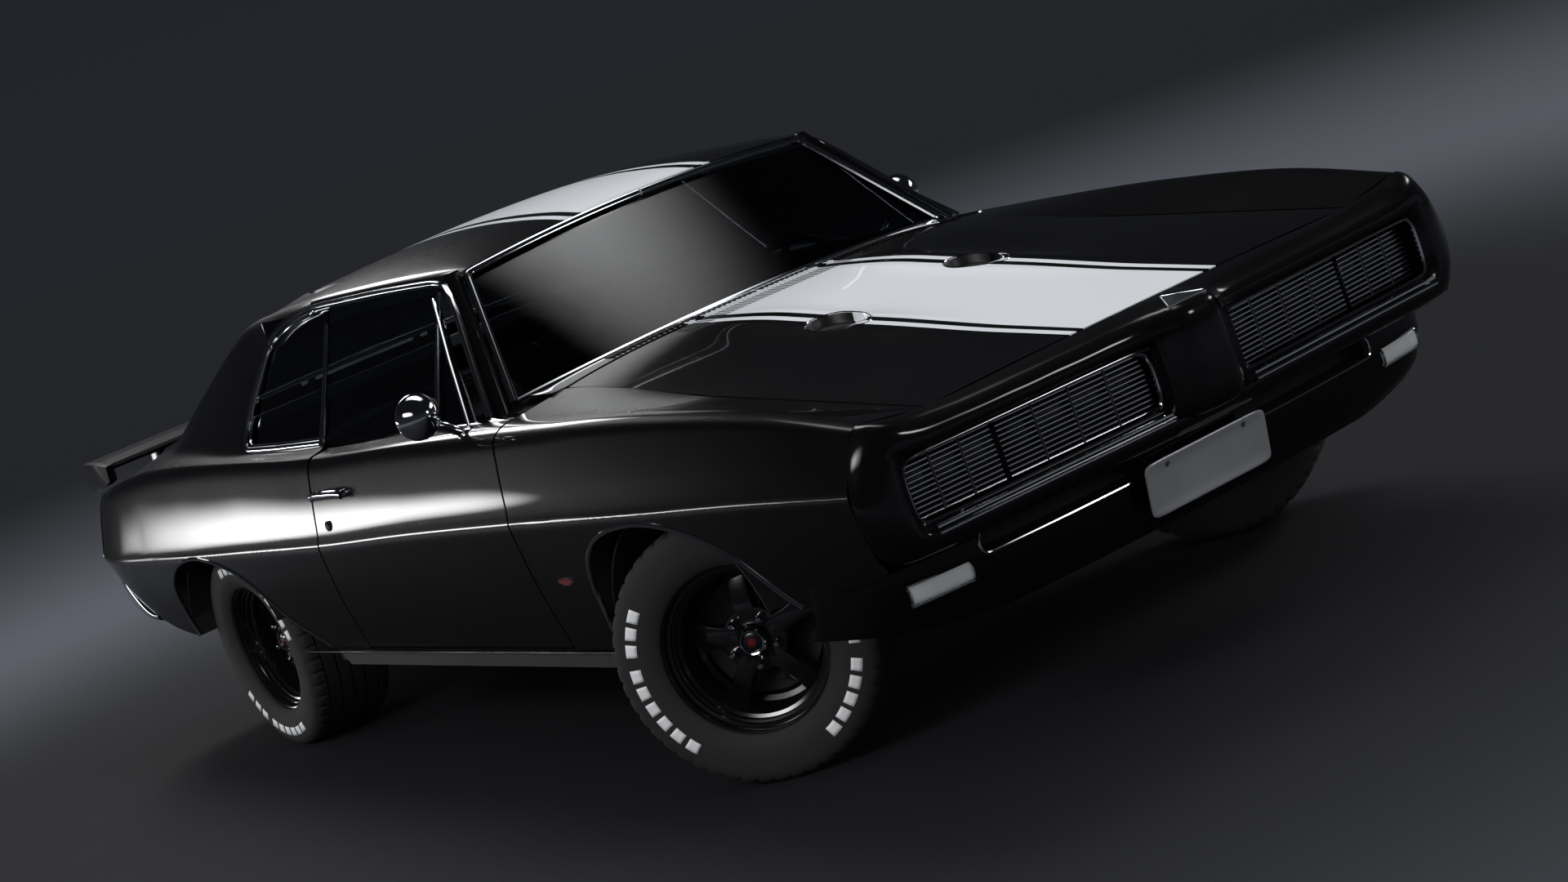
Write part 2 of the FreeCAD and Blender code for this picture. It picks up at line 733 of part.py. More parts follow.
# Windscreen pillar on the left. Columns: distance ahead of the front axle, how far in.
PILLAR_FOOT = [(-800, 182), (-868, 172), (-880, 210), (-812, 224)]
PILLAR_HEAD = [(-1128, 334), (-1180, 324), (-1196, 356), (-1140, 368)]
PILLAR_FOOT_Z = 955
foot_wire = closed([Vector(front_axle + x, inboard(y), PILLAR_FOOT_Z) for x, y in PILLAR_FOOT])
head_wire = closed([Vector(front_axle + x, inboard(y), rail_z) for x, y in PILLAR_HEAD])
pillar = skin([foot_wire, head_wire])

# Sail panel behind the quarter window. Columns: distance ahead of the front axle, z.
SAIL = [(-2440, 1300), (-2380, 1254), (-2362, 1200), (-2396, 1106), (-2424, 1010), (-2420, 980),
        (-2300, 962), (-3180, 976), (-3180, 1040), (-2900, 1180), (-2640, 1296),
        (-2480, 1330)]
SAIL_OUT, SAIL_THICKNESS = 16, 46
sail = side_outline([(front_axle + ahead, z) for ahead, z in SAIL])
sail = sail.common(side_slab(SAIL_OUT, SAIL_THICKNESS, rail_z + 19))
roof_body = roof.fuse([pillar, mirrored(pillar), sail, mirrored(sail)]).removeSplitter()
roof_body = roof_body.cut(both_sides(quarter))
made("roof", roof_body)

# ---------------------------------------------------------------- glass
pane_plane = side_slab(-size("seal_gap"), size("glass_thickness"), rail_z)
pane_low = belt_z - size("pane_depth")
PANE_LEAN, PANE_SEAL = 74, 10
pane_rear_x = door_rear_x + size("seal_gap")
door_pane_outline = [
    (front_axle - 846, pane_low), (front_axle - 1212, rail_z - 40),
    (pane_rear_x - PANE_LEAN, rail_z - 46), (pane_rear_x, belt_z), (pane_rear_x, pane_low)]
door_pane = side_outline(door_pane_outline).common(pane_plane)
quarter_pane_x = door_rear_x - PANE_SEAL
quarter_pane_outline = [
    (quarter_pane_x - PANE_LEAN, rail_z - gap), (front_axle - 2450, rail_z - gap),
    (front_axle - 2450, pane_low), (quarter_pane_x, pane_low), (quarter_pane_x, belt_z)]
quarter_pane = side_outline(quarter_pane_outline).common(pane_plane).cut(roof_body)
made("quarter_windows", both_sides(quarter_pane))
made("quarter_panels", both_sides(quarter.cut(quarter_pane)))
for name, side in SIDES:
    made(f"door_glass_{name}", on_side(door_pane, side))


def bowed_pane(edges):
    """A pane whose two level edges bow. Each: ahead and in of its corner, z, ahead and z of middle."""
    wires = []
    for ahead, corner_in, corner_z, middle_ahead, middle_z in edges:
        left = Vector(front_axle + ahead, inboard(corner_in), corner_z)
        middle = Vector(front_axle + middle_ahead, 0, middle_z)
        right = Vector(left.x, -left.y, left.z)
        shift = Vector(left.x - middle.x, 0, left.z - middle.z).normalize()
        shift = shift * size("windscreen_thickness")
        front = Part.Arc(left, middle, right).toShape()
        back = Part.Arc(right + shift, middle + shift, left + shift).toShape()
        ends = [Part.makeLine(right, right + shift), Part.makeLine(left + shift, left)]
        wires.append(Part.Wire([front, ends[0], back, ends[1]]))
    return skin(wires)


windscreen = bowed_pane([(-812, 224, 968, -716, 1004), (-1122, 380, 1300, -1096, 1332)])
windscreen = windscreen.cut(roof_body)
made("windshield", windscreen)
rear_pane = bowed_pane([(-2510, 386, 1284, -2540, 1310), (-3120, 306, 1036, -3168, 1050)])
rear_pane = rear_pane.cut([roof_body, both_sides(quarter)])
made("rear_window", rear_pane)

# ---------------------------------------------------------------- doors
belt_inner = belt_y - size("belt_width")
DOOR_STEP, BELT_SHOULDER, TAPER_LENGTH = 8, 60, 20


def door_section(x):
    """A door's full thickness at x, from the sill to the belt."""
    line = outer_line(x, with_top=False)
    line[0] = (line[0][0], line[0][1] + gap)
    inner_y = belt_inner - DOOR_STEP
    return across(x, line + [(belt_inner, belt_z), (inner_y, belt_z - BELT_SHOULDER), (inner_y, line[0][1])])


door = skin([door_section(x) for x in between(BODY_STATIONS, door_rear_x, door_front_x)])
# The rear end is cut back towards the inside, so that it clears the pillar as it swings.
taper_plan = [(door_rear_x - TAPER_LENGTH, inboard(24)), (door_rear_x, inboard(24)),
              (door_rear_x + size("door_rear_taper"), belt_inner - BELT_SHOULDER),
              (door_rear_x - TAPER_LENGTH, belt_inner - BELT_SHOULDER)]
door = door.cut(plan_prism(taper_plan, 0, rail_z))
door_pane_in_door = door.cut(door_pane)
for name, side in SIDES:
    made(f"door_{name}", on_side(door_pane_in_door, side))

# Mirror: a bullet-shaped head, its glass to the rear, on a stalk from the top of the door.
# Columns: distance ahead of the glass, share of the head's radius.
BULLET = [(0, 0.0), (0, 1.0), (22, 0.96), (44, 0.76), (62, 0.46), (72, 0.0)]
STALK_RADIUS, STALK_LENGTH, STALK_FOOT_IN, STALK_FOOT_Z = 13, 100, 88, 944
mirror_radius = size("mirror_radius")
bullet_face = Part.Face(closed([Vector(ahead, share * mirror_radius, 0) for ahead, share in BULLET]))
bullet = bullet_face.revolve(Vector(0, 0, 0), Vector(1, 0, 0), 360)
bullet.translate(Vector(-26, inboard(size("mirror_inset")), size("mirror_z")))
stalk = Part.makeCylinder(STALK_RADIUS, STALK_LENGTH, Vector(0, inboard(STALK_FOOT_IN), STALK_FOOT_Z),
                          Vector(0, 0.74, 0.67))
mirror = bullet.fuse(stalk)
for name, side in SIDES:
    placed = mirror.copy()
    placed.translate(Vector(front_axle + size(f"mirror_{name}"), 0, 0))
    made(f"mirror_{name}", on_side(placed.cut(door), side))

# ---------------------------------------------------------------- deck and tail
deck_front_x = front_axle + size("deck_front")
deck_rear_x = tail_panel_x
made("decklid", lid(deck_rear_x + gap, deck_front_x))

# Spoiler: a plank on two feet with closed end plates. Columns: distance ahead of the tail, z.
PLANK = [(358, 984), (158, 1004), (148, 984), (348, 962)]
END_PLATE = [(356, 982), (352, 930), (152, 897), (150, 990)]
spoiler_half = size("spoiler_half_width")
plank = side_prism([(tail + ahead, z) for ahead, z in PLANK], -spoiler_half, spoiler_half)
end_plate = side_prism([(tail + ahead, z) for ahead, z in END_PLATE],
                       spoiler_half - size("spoiler_end_width"), spoiler_half)
wing_foot = Part.makeBox(150, size("spoiler_foot_width"), 110,
                         Vector(tail + 188, size("spoiler_foot_y"), 880))
below_deck = skin([lid_section(x, lid_half, 200) for x in between(TOP_STATIONS, tail + 130, tail + 518)])
spoiler = plank.fuse([wing_foot, mirrored(wing_foot)]).cut(below_deck)
spoiler = spoiler.fuse([end_plate, mirrored(end_plate)])
made("rear_spoiler", spoiler.removeSplitter())

# Columns: how far in, z.
TAIL_OUTLINE = [(156, 640), (171, 874), (306, 888)]
tail_left = [(inboard(y), z) for y, z in TAIL_OUTLINE]
tail_outline = tail_left + [(0, 900)] + [(-y, z) for y, z in tail_left[::-1]]
panel_rear_x = tail_panel_x - gap - size("tail_panel_thickness")
made("tail_panel", end_prism(tail_outline, panel_rear_x, tail_panel_x - gap))
TAIL_LAMP_X = f"{TAIL} + Sizes.tail_setback - Sizes.panel_gap - Sizes.tail_panel_thickness"
tail_lamps = []
for name, y in (("left", "Sizes.tail_lamp_y"), ("right", "-Sizes.tail_lamp_y - Sizes.tail_lamp_width")):
    tail_lamps.append(block(
        f"tail_lamp_{name}", f"{TAIL_LAMP_X} - Sizes.tail_lamp_depth", y, "Sizes.tail_lamp_z",
        "Sizes.tail_lamp_depth", "Sizes.tail_lamp_width", "Sizes.tail_lamp_height"))
grouped("tail_lamps", tail_lamps)

# Rear bumper plan. Columns: distance ahead of the tail, how far in, then the same for its inside.
REAR_BUMPER = [(380, 28, 422, 58), (110, 86, 152, 116), (30, 246, 72, 276)]
bumper_line = [(tail + ahead, inboard(y)) for ahead, y, _, _ in REAR_BUMPER] + [(tail, 0)]
bumper_line += [(tail + 42, 0)] + [(tail + ahead, inboard(y)) for _, _, ahead, y in REAR_BUMPER[::-1]]
half_rear = plan_prism(bumper_line, size("rear_bumper_low"), size("rear_bumper_high"))
rear_bar = half_rear.fuse(mirrored(half_rear)).removeSplitter()
made("rear_bumper", rear_bar.cut(both_sides(quarter)))

# ---------------------------------------------------------------- cowl and cabin
floor_z, floor_t = size("floor_z"), size("floor_thickness")
cabin_low = floor_z + floor_t + size("seal_gap")
bulkhead_x = front_axle + size("bulkhead_ahead")
bulkhead_half = inboard(size("side_rail_inset"))
cowl_wall = Part.makeBox(size("bulkhead_thickness"), 2 * bulkhead_half, 970 - cabin_low,
                         Vector(bulkhead_x, -bulkhead_half, cabin_low))
cowl_top = skin([lid_section(front_axle + ahead, lid_half, 16) for ahead in (-672, -830)])
pillar_y = inboard(size("pillar_inner_inset"))
hinge_pillar = Part.makeBox(size("pillar_length"), size("pillar_width"), PILLAR_FOOT_Z - cabin_low,
                            Vector(bulkhead_x - size("pillar_length"), pillar_y, cabin_low))
cowl = cowl_wall.fuse([cowl_top, hinge_pillar, mirrored(hinge_pillar)])
opening_half = size("gearbox_width") / 2 + 15
gearbox_opening = Part.makeBox(60, 2 * opening_half, size("gearbox_height"),
                               Vector(bulkhead_x - 20, -opening_half, cabin_low - 30))
made("cowl", cowl.cut([windscreen, roof_body, gearbox_opening]).removeSplitter())

# Parcel shelf, out into the quarter panels. Columns: distance ahead of the front axle, how far in.
SHELF_ENDS = [(-2700, 212), (-3140, 248)]
SHELF_Z_LOW, SHELF_THICKNESS = 985, 12
shelf_left = [(front_axle + ahead, inboard(y)) for ahead, y in SHELF_ENDS]
shelf_plan = shelf_left + [(x, -y) for x, y in shelf_left[::-1]]
shelf = plan_prism(shelf_plan, SHELF_Z_LOW, SHELF_Z_LOW + SHELF_THICKNESS)
made("parcel_shelf", shelf.cut([both_sides(quarter), roof_body]))

# Dashboard, with the steering column's tube. Columns: distance ahead of the front axle, z.
DASH = [(-830, 960), (-960, 930), (-980, 800), (-900, 640), (-830, 640)]
DASH_HALF = "Sizes.half_width - Sizes.pillar_inner_inset"
dash_body = side_pad("dash_body", from_front(DASH), DASH_HALF, f"2 * ({DASH_HALF})")
wheel_centre = Vector(front_axle + size("steering_wheel_ahead"), size("steering_wheel_y"),
                      size("steering_wheel_z"))
tilt = math.radians(size("column_tilt"))
column_axis = Vector(-math.cos(tilt), 0, math.sin(tilt))
column_start = size("steering_hub_depth") / 2 + size("seal_gap")
column = doc.addObject("Part::Cylinder", "steering_column")
column.setExpression("Radius", "Sizes.column_radius")
column.setExpression("Height", "Sizes.column_length")
column.Placement = Placement(wheel_centre - column_axis * column_start,
                             Rotation(Vector(0, 0, 1), -column_axis))
fused("dashboard", [dash_body, column])

# Seats. Columns: distance ahead of the axle, z.
SEAT = [(-1240, 430), (-1250, 580), (-1650, 560), (-1790, 1010), (-1880, 1000), (-1730, 430)]
FLOOR_TOP = "Sizes.floor_z + Sizes.floor_thickness"
PLINTH = [(-1290, FLOOR_TOP), (-1290, 450), (-1690, 450), (-1690, FLOOR_TOP)]
seats = []
for name, side in SIDES:
    seat = doc.addObject("PartDesign::Body", f"seat_{name}")
    pad(seat, sketched(seat, "XZ_Plane", f"seat_{name}_outline", from_front(SEAT)),
        f"seat_{name}_pad", "Sizes.seat_width", centred=True)
    pad(seat, sketched(seat, "XZ_Plane", f"plinth_{name}_outline", from_front(PLINTH)),
        f"plinth_{name}_pad", "Sizes.seat_plinth_width", centred=True)
    seat.setExpression("Placement.Base.y",
                       f"{side} * (Sizes.tunnel_half_width + Sizes.seat_gap + Sizes.seat_width / 2)")
    seats.append(seat)
grouped("front_seats", seats)
SHELF_TOP = f"{SHELF_Z} + Sizes.floor_thickness"
BENCH = [(725, FLOOR_TOP), (715, 590), (365, 585), (255, 960), (185, 950), (285, SHELF_TOP),
         (500, SHELF_TOP), (500, FLOOR_TOP)]
bench = side_pad("bench", from_rear(BENCH), "Sizes.bench_half_width", "2 * Sizes.bench_half_width")
tunnel_clear = block(
    "tunnel_clear", f"{REAR_AXLE} + Sizes.heel_kick", "-Sizes.tunnel_half_width - Sizes.seal_gap", "0",
    "400", "2 * Sizes.tunnel_half_width + 2 * Sizes.seal_gap",
    f"{FLOOR_TOP} + Sizes.tunnel_height")
rear_seat = doc.addObject("Part::Cut", "rear_seat")
rear_seat.Base = bench
rear_seat.Tool = tunnel_clear
keep("rear_seat", rear_seat)

wheel_r, wheel_rim = size("steering_wheel_radius"), size("steering_rim_radius")
hub_depth = size("steering_hub_depth")
ring = Part.makeTorus(wheel_r, wheel_rim, wheel_centre, column_axis)
hub_disc = Part.makeCylinder(size("steering_hub_radius"), hub_depth,
                             wheel_centre - column_axis * (hub_depth / 2), column_axis)
spokes = Part.makeBox(14, 2 * wheel_r, 26, Vector(-7, -wheel_r, -13))
spokes.Placement = Placement(wheel_centre, Rotation(Vector(0, 0, 1), column_axis))
made("steering_wheel", ring.fuse([hub_disc, spokes]))

# ---------------------------------------------------------------- wheel places and liners
front_wheel_y = size("front_track") / 2
rear_wheel_y = size("rear_track") / 2
kingpin_y = front_wheel_y - size("kingpin_inset")
wheel_z = size("tyre_radius")
steer = math.radians(size("steer_angle"))
inner_side = size("front_tyre_width") / 2 - size("kingpin_inset")
steer_reach = inner_side * math.cos(steer) + size("tyre_radius") * math.sin(steer)
STEER_CLEARANCE = 37
front_liner_y = kingpin_y - steer_reach - STEER_CLEARANCE - size("liner_sheet")
rear_liner_y = size(REAR_LINER_Y)
LINER_OUTER_IN, LINER_LOW = 51, 120


def wheelhouse(axle_x, inner_y):
    """A round liner over one left wheel, with its inner wall."""
    radius = size("tyre_radius") + size("liner_clearance")
    sheet_t = size("liner_sheet")
    width = inboard(LINER_OUTER_IN) - inner_y
    whole = Part.makeCylinder(radius + sheet_t, width, Vector(axle_x, inner_y, wheel_z), Vector(0, 1, 0))
    space = Part.makeCylinder(radius, width, Vector(axle_x, inner_y + sheet_t, wheel_z), Vector(0, 1, 0))
    below = Part.makeBox(3 * radius, 3 * radius, 3 * radius,
                         Vector(axle_x - 1.5 * radius, 0, wheel_z + LINER_LOW - 3 * radius))
    return whole.cut(space).cut(below)


houses = [wheelhouse(front_axle, front_liner_y), wheelhouse(rear_axle, rear_liner_y)]
houses = [house.cut([wing, quarter]) for house in houses]
made("wheelhouses", Part.makeCompound([both_sides(house) for house in houses]))

# ---------------------------------------------------------------- frame and floor
rail_h, rail_w = "Sizes.rail_height", "Sizes.rail_width"
FRONT_RAIL_Y = f"({front_liner_y} - Sizes.rail_clearance - Sizes.rail_width)"
frame_pieces = []


def rail_pair(name, x, inner_y, z, length, height):
    """A rail on each side of the frame."""
    frame_pieces.append(block(f"{name}_left", x, inner_y, z, length, rail_w, height))
    frame_pieces.append(block(f"{name}_right", x, f"-{inner_y} - {rail_w}", z, length, rail_w, height))


def member(name, x, outer_y, z, length, height):
    """A member right across the frame."""
    frame_pieces.append(block(f"{name}_member", x, f"-({outer_y})", z, length, f"2 * ({outer_y})", height))


rail_pair("side_rail", f"{REAR_AXLE} + Sizes.side_rail_rear", SIDE_RAIL_Y, "Sizes.frame_bottom",
          "Sizes.wheelbase - Sizes.side_rail_rear - Sizes.side_rail_front", rail_h)
rail_pair("front_rail", f"{FRONT_AXLE} - Sizes.front_rail_rear", FRONT_RAIL_Y, "Sizes.frame_bottom",
          "Sizes.front_rail_rear + Sizes.front_rail_reach", rail_h)
rail_pair("horn_post", f"{FRONT_AXLE} + Sizes.front_rail_reach - Sizes.kick_length", FRONT_RAIL_Y,
          "Sizes.frame_bottom", "Sizes.kick_length", "Sizes.horn_rise + Sizes.rail_height")
rail_pair("horn", f"{FRONT_AXLE} + Sizes.front_rail_reach - Sizes.kick_length", FRONT_RAIL_Y,
          "Sizes.frame_bottom + Sizes.horn_rise", "Sizes.kick_length + Sizes.horn_length", rail_h)
rail_pair("tower", f"{FRONT_AXLE} - Sizes.arm_width", FRONT_RAIL_Y, "Sizes.frame_bottom",
          "2 * Sizes.arm_width",
          "Sizes.tyre_radius + Sizes.knuckle_height / 2 + Sizes.ball_joint_gap + Sizes.arm_height"
          " - Sizes.frame_bottom")
rail_pair("rear_rail", f"{REAR_AXLE} - Sizes.rear_rail_reach", REAR_RAIL_Y, REAR_RAIL_Z,
          "Sizes.rear_rail_reach + Sizes.side_rail_rear + Sizes.kick_length", "Sizes.rear_rail_height")
rail_pair("rear_drop", f"{REAR_AXLE} + Sizes.side_rail_rear", REAR_RAIL_Y, "Sizes.frame_bottom",
          "Sizes.kick_length", f"{REAR_RAIL_Z} + Sizes.rear_rail_height - Sizes.frame_bottom")
MEMBER_Z = "Sizes.frame_bottom - Sizes.member_drop"
member("engine", f"{FRONT_AXLE} - Sizes.member_length / 2", f"{FRONT_RAIL_Y} + {rail_w}", MEMBER_Z,
       "Sizes.member_length", "Sizes.member_height")
for name, x in (("torque", f"{FRONT_AXLE} - Sizes.front_rail_rear"),
                ("gearbox", f"{FRONT_AXLE} - Sizes.gearbox_member"),
                ("kick", f"{REAR_AXLE} + Sizes.side_rail_rear")):
    member(name, x, f"{SIDE_RAIL_Y} + Sizes.panel_gap", MEMBER_Z, "Sizes.member_length",
           "Sizes.member_height")
member("tail", f"{REAR_AXLE} - Sizes.rear_rail_reach", f"{REAR_RAIL_Y} + Sizes.panel_gap",
       f"{REAR_RAIL_Z} + Sizes.panel_gap", "Sizes.member_height", "Sizes.rail_width")
member("horn", f"{FRONT_AXLE} + Sizes.front_rail_reach", f"{FRONT_RAIL_Y} + Sizes.panel_gap",
       "Sizes.frame_bottom + Sizes.horn_rise + Sizes.panel_gap", "Sizes.member_height", "Sizes.rail_width")
fused("chassis_frame", frame_pieces)

floor_half = inboard(size("floor_inset"))
heel_x = rear_axle + size("heel_kick")
floor_length = front_axle - size("floor_front") - heel_x
front_floor = Part.makeBox(floor_length, 2 * floor_half, floor_t, Vector(heel_x, -floor_half, floor_z))
tunnel_w, tunnel_h = size("tunnel_half_width"), size("tunnel_height")
tunnel_block = Part.makeBox(floor_length, 2 * tunnel_w, tunnel_h, Vector(heel_x, -tunnel_w, floor_z))
tunnel_space = Part.makeBox(floor_length + 2 * floor_t, 2 * (tunnel_w - floor_t), tunnel_h - floor_t + 1,
                            Vector(heel_x - floor_t, -tunnel_w + floor_t, floor_z - 1))
shelf_z, boot_floor_z = size(SHELF_Z), size(BOOT_FLOOR_Z)
SHELF_REAR, BOOT_STEP = -330, -420
rear_path = [(heel_x + 30, floor_z), (heel_x, floor_z), (heel_x, shelf_z),
             (rear_axle + SHELF_REAR, shelf_z), (rear_axle + BOOT_STEP, boot_floor_z),
             (tail_panel_x, boot_floor_z)]
rear_floor = side_prism(strip(rear_path, 0, floor_t), -rear_liner_y, rear_liner_y)
made("floor_pan", front_floor.fuse(tunnel_block).cut(tunnel_space).fuse(rear_floor))

# ---------------------------------------------------------------- engine, tank, axle, exhaust
ENGINE_X = f"{FRONT_AXLE} - Sizes.engine_rear"
MEMBER_TOP = f"{MEMBER_Z} + Sizes.member_height"
engine_pieces = [
    block("engine_block", ENGINE_X, "-Sizes.engine_width / 2", "Sizes.frame_bottom + Sizes.engine_lift",
          "Sizes.engine_length", "Sizes.engine_width", "Sizes.engine_height"),
    block("gearbox", f"{ENGINE_X} - Sizes.gearbox_length", "-Sizes.gearbox_width / 2",
          "Sizes.frame_bottom + Sizes.gearbox_lift", "Sizes.gearbox_length", "Sizes.gearbox_width",
          "Sizes.gearbox_height"),
    block("gearbox_mount", f"{FRONT_AXLE} - Sizes.gearbox_member", "-Sizes.engine_mount_width / 2",
          MEMBER_TOP, "Sizes.engine_mount_width", "Sizes.engine_mount_width",
          "Sizes.gearbox_lift + Sizes.member_drop - Sizes.member_height + Sizes.panel_gap"),
]
for name, y in (("left", "Sizes.engine_mount_y"),
                ("right", "-Sizes.engine_mount_y - Sizes.engine_mount_width")):
    engine_pieces.append(block(
        f"engine_mount_{name}", f"{FRONT_AXLE} - Sizes.member_length / 2", y, MEMBER_TOP,
        "Sizes.member_length", "Sizes.engine_mount_width",
        "Sizes.engine_lift + Sizes.member_drop - Sizes.member_height + Sizes.panel_gap"))
fused("engine", engine_pieces)
keep("fuel_tank", block(
    "tank", f"{REAR_AXLE} - Sizes.tank_rear", "-Sizes.tank_width / 2",
    f"{BOOT_FLOOR_Z} - Sizes.tank_height", "Sizes.tank_length", "Sizes.tank_width", "Sizes.tank_height"))

tube_y = rear_wheel_y - size("axle_tube_inset")
axle_tube = Part.makeCylinder(size("axle_tube_radius"), 2 * tube_y, Vector(rear_axle, -tube_y, wheel_z),
                              Vector(0, 1, 0))
axle_case = Part.makeSphere(size("axle_case_radius"), Vector(rear_axle, 0, wheel_z))
spindle_y = rear_wheel_y + size("spindle_reach")
spindles = Part.makeCylinder(size("spindle_radius"), 2 * spindle_y,
                             Vector(rear_axle, -spindle_y, wheel_z), Vector(0, 1, 0))
axle = axle_tube.fuse([axle_case, spindles]).removeSplitter()
made("rear_axle", axle)
shaft_start = rear_axle + size("axle_case_radius") - 30
shaft_end = front_axle - size("engine_rear") - size("gearbox_length")
shaft = Part.makeCylinder(size("shaft_radius"), shaft_end - shaft_start,
                          Vector(shaft_start, 0, wheel_z), Vector(1, 0, 0))
made("driveshaft", shaft.cut(axle))

# Exhaust route on the left: under the floor, over the axle and out below the rear bumper.
over_axle_z = wheel_z + size("axle_tube_radius") + size("pipe_radius") + size("pipe_clearance")
pipe_z, tail_pipe_z = size("pipe_z"), size("tail_pipe_z")
pipe_y, tail_pipe_y = size("pipe_front_y"), size("pipe_rear_y")
EXHAUST = [(front_axle - 560, pipe_y, pipe_z), (rear_axle + 700, pipe_y, pipe_z),
           (rear_axle + 380, tail_pipe_y, pipe_z), (rear_axle + 200, tail_pipe_y, over_axle_z),
           (rear_axle - 240, tail_pipe_y, over_axle_z), (rear_axle - 460, tail_pipe_y, tail_pipe_z),
           (tail + 170, tail_pipe_y, tail_pipe_z)]


def bent_pipe(points, radius):
    """A pipe of straight runs with round elbows."""
    corners = [Vector(*point) for point in points]
    runs = [Part.makeCylinder(radius, (b - a).Length, a, b - a) for a, b in zip(corners, corners[1:])]
    elbows = [Part.makeSphere(radius, corner) for corner in corners[1:-1]]
    return runs[0].fuse(runs[1:] + elbows)


silencer = Part.makeBox(size("silencer_length"), size("silencer_width"), size("silencer_height"),
                        Vector(rear_axle + 760, pipe_y - size("silencer_width") / 2,
                               pipe_z - size("silencer_height") / 2))
made("exhaust", both_sides(bent_pipe(EXHAUST, size("pipe_radius")).fuse(silencer)))

# ---------------------------------------------------------------- wheels
# A tyre's outer line on one side. Columns: height out from the bead or the tread, share of half width.
TYRE_LINE = [("bead", 0, 0.80), ("bead", 50, 1.00), ("tread", -42, 0.99), ("tread", -8, 0.90),
             ("tread", 0, 0.62)]
# The same line inside. Columns: height, share of half width, how many walls in from there.
TYRE_INNER = [("tread", "-Sizes.tyre_wall", 0.62, 0), ("tread", "-Sizes.tyre_wall - 32", 0.99, 1),
              ("bead", 40, 1.00, 1), ("bead", 0, 0.80, 1)]
TYRE_HEIGHTS = {"bead": RIM_RADIUS, "tread": "Sizes.tyre_radius"}
RIM_SHARE = 0.40


def tyre_body(name, width):
    """A tyre about the Y axis, its middle at the origin."""
    outer = [(f"{share / 2} * {width}", f"{TYRE_HEIGHTS[origin]} + ({out})")
             for origin, out, share in TYRE_LINE]
    inner = [(f"{share / 2} * {width} - {walls} * Sizes.tyre_wall", f"{TYRE_HEIGHTS[origin]} + ({out})")
             for origin, out, share, walls in TYRE_INNER]
    far_outer = [(f"-({y})", z) for y, z in outer[::-1]]
    far_inner = [(f"-({y})", z) for y, z in inner[::-1]]
    body = doc.addObject("PartDesign::Body", name)
    section = sketched(body, "YZ_Plane", f"{name}_section", outer + far_outer + far_inner + inner)
    turned(body, section, f"{name}_turned")
    return body


def rim_body(name, width):
    """A deep dished rim with evenly spaced spokes about the Y axis, its outer side towards +Y."""
    half = f"{RIM_SHARE} * {width}"
    bead = f"{RIM_RADIUS} - Sizes.bead_gap"
    well = f"{bead} - Sizes.rim_wall - Sizes.rim_drop"
    barrel = [(f"-({half})", bead), (half, bead), (half, f"{bead} - Sizes.rim_wall"),
              (f"{half} - Sizes.rim_lip", well), (f"Sizes.rim_lip / 2 - {half}", well),
              (f"-({half})", f"{bead} - Sizes.rim_wall")]
    body = doc.addObject("PartDesign::Body", name)
    section = sketched(body, "YZ_Plane", f"{name}_barrel", barrel)
    turned(body, section, f"{name}_shell")
    spoke_end = f"{bead} - Sizes.rim_wall - 2"
    spoke_outline = [("-Sizes.spoke_width / 2", "Sizes.hub_radius - Sizes.spoke_start"),
                     ("Sizes.spoke_width / 2", "Sizes.hub_radius - Sizes.spoke_start"),
                     ("Sizes.spoke_width / 2", spoke_end), ("-Sizes.spoke_width / 2", spoke_end)]
    spoke_sketch = sketched(body, "XZ_Plane", f"{name}_spoke_outline", spoke_outline,
                            "-Sizes.spoke_start")
    spoke = pad(body, spoke_sketch, f"{name}_spoke", "Sizes.spoke_thickness")
    spoke.Reversed = True
    pattern = body.newObject("PartDesign::PolarPattern", f"{name}_spokes")
    pattern.Originals = [spoke]
    pattern.Axis = (section, ["H_Axis"])
    pattern.Angle = 360
    pattern.setExpression("Occurrences", "Sizes.spoke_count")
    body.Tip = pattern
    hub = [("0", "Sizes.spindle_radius + Sizes.spindle_gap"), ("0", "Sizes.hub_radius"),
           ("Sizes.hub_depth", "Sizes.hub_radius"),
           ("Sizes.hub_depth", "Sizes.spindle_radius + Sizes.spindle_gap")]
    turned(body, sketched(body, "YZ_Plane", f"{name}_hub", hub), f"{name}_hub_turned")
    return body


def wheel_place(side, axle_x, y):
    """Where a wheel piece goes: its outer side away from the car."""
    turn = Rotation(Vector(0, 0, 1), 0 if side == LEFT else 180)
    return Placement(Vector(axle_x, side * y, wheel_z), turn)


def steered(placement, side):
    """A front piece's place turned about its kingpin by the parked steering angle."""
    pivot = Vector(front_axle, side * kingpin_y, 0)
    turn = Placement(Vector(0, 0, 0), Rotation(Vector(0, 0, 1), size("steer_angle")), pivot)
    return turn.multiply(placement)


def knuckle():
    """An upright block with its stub axle, about the kingpin."""
    length, width, height = size("knuckle_length"), size("knuckle_width"), size("knuckle_height")
    upright = Part.makeBox(length, width, height, Vector(-length / 2, -width / 2, -height / 2))
    stub = Part.makeCylinder(size("spindle_radius"), size("spindle_stub"),
                             Vector(0, width / 2 - 2, 0), Vector(0, 1, 0))
    return upright.fuse(stub).removeSplitter()


for name, side in SIDES:
    front_place = steered(wheel_place(side, front_axle, front_wheel_y), side)
    rear_place = wheel_place(side, rear_axle, rear_wheel_y)
    for end, place in (("front", front_place), ("rear", rear_place)):
        width = f"Sizes.{end}_tyre_width"
        for kind, maker in (("tyre", tyre_body), ("rim", rim_body)):
            body = maker(f"{end}_{kind}_{name}_body", width)
            body.Placement = place
            keep(f"{end}_{kind}_{name}", body)
    made(f"knuckle_{name}", knuckle(), steered(wheel_place(side, front_axle, kingpin_y), side))

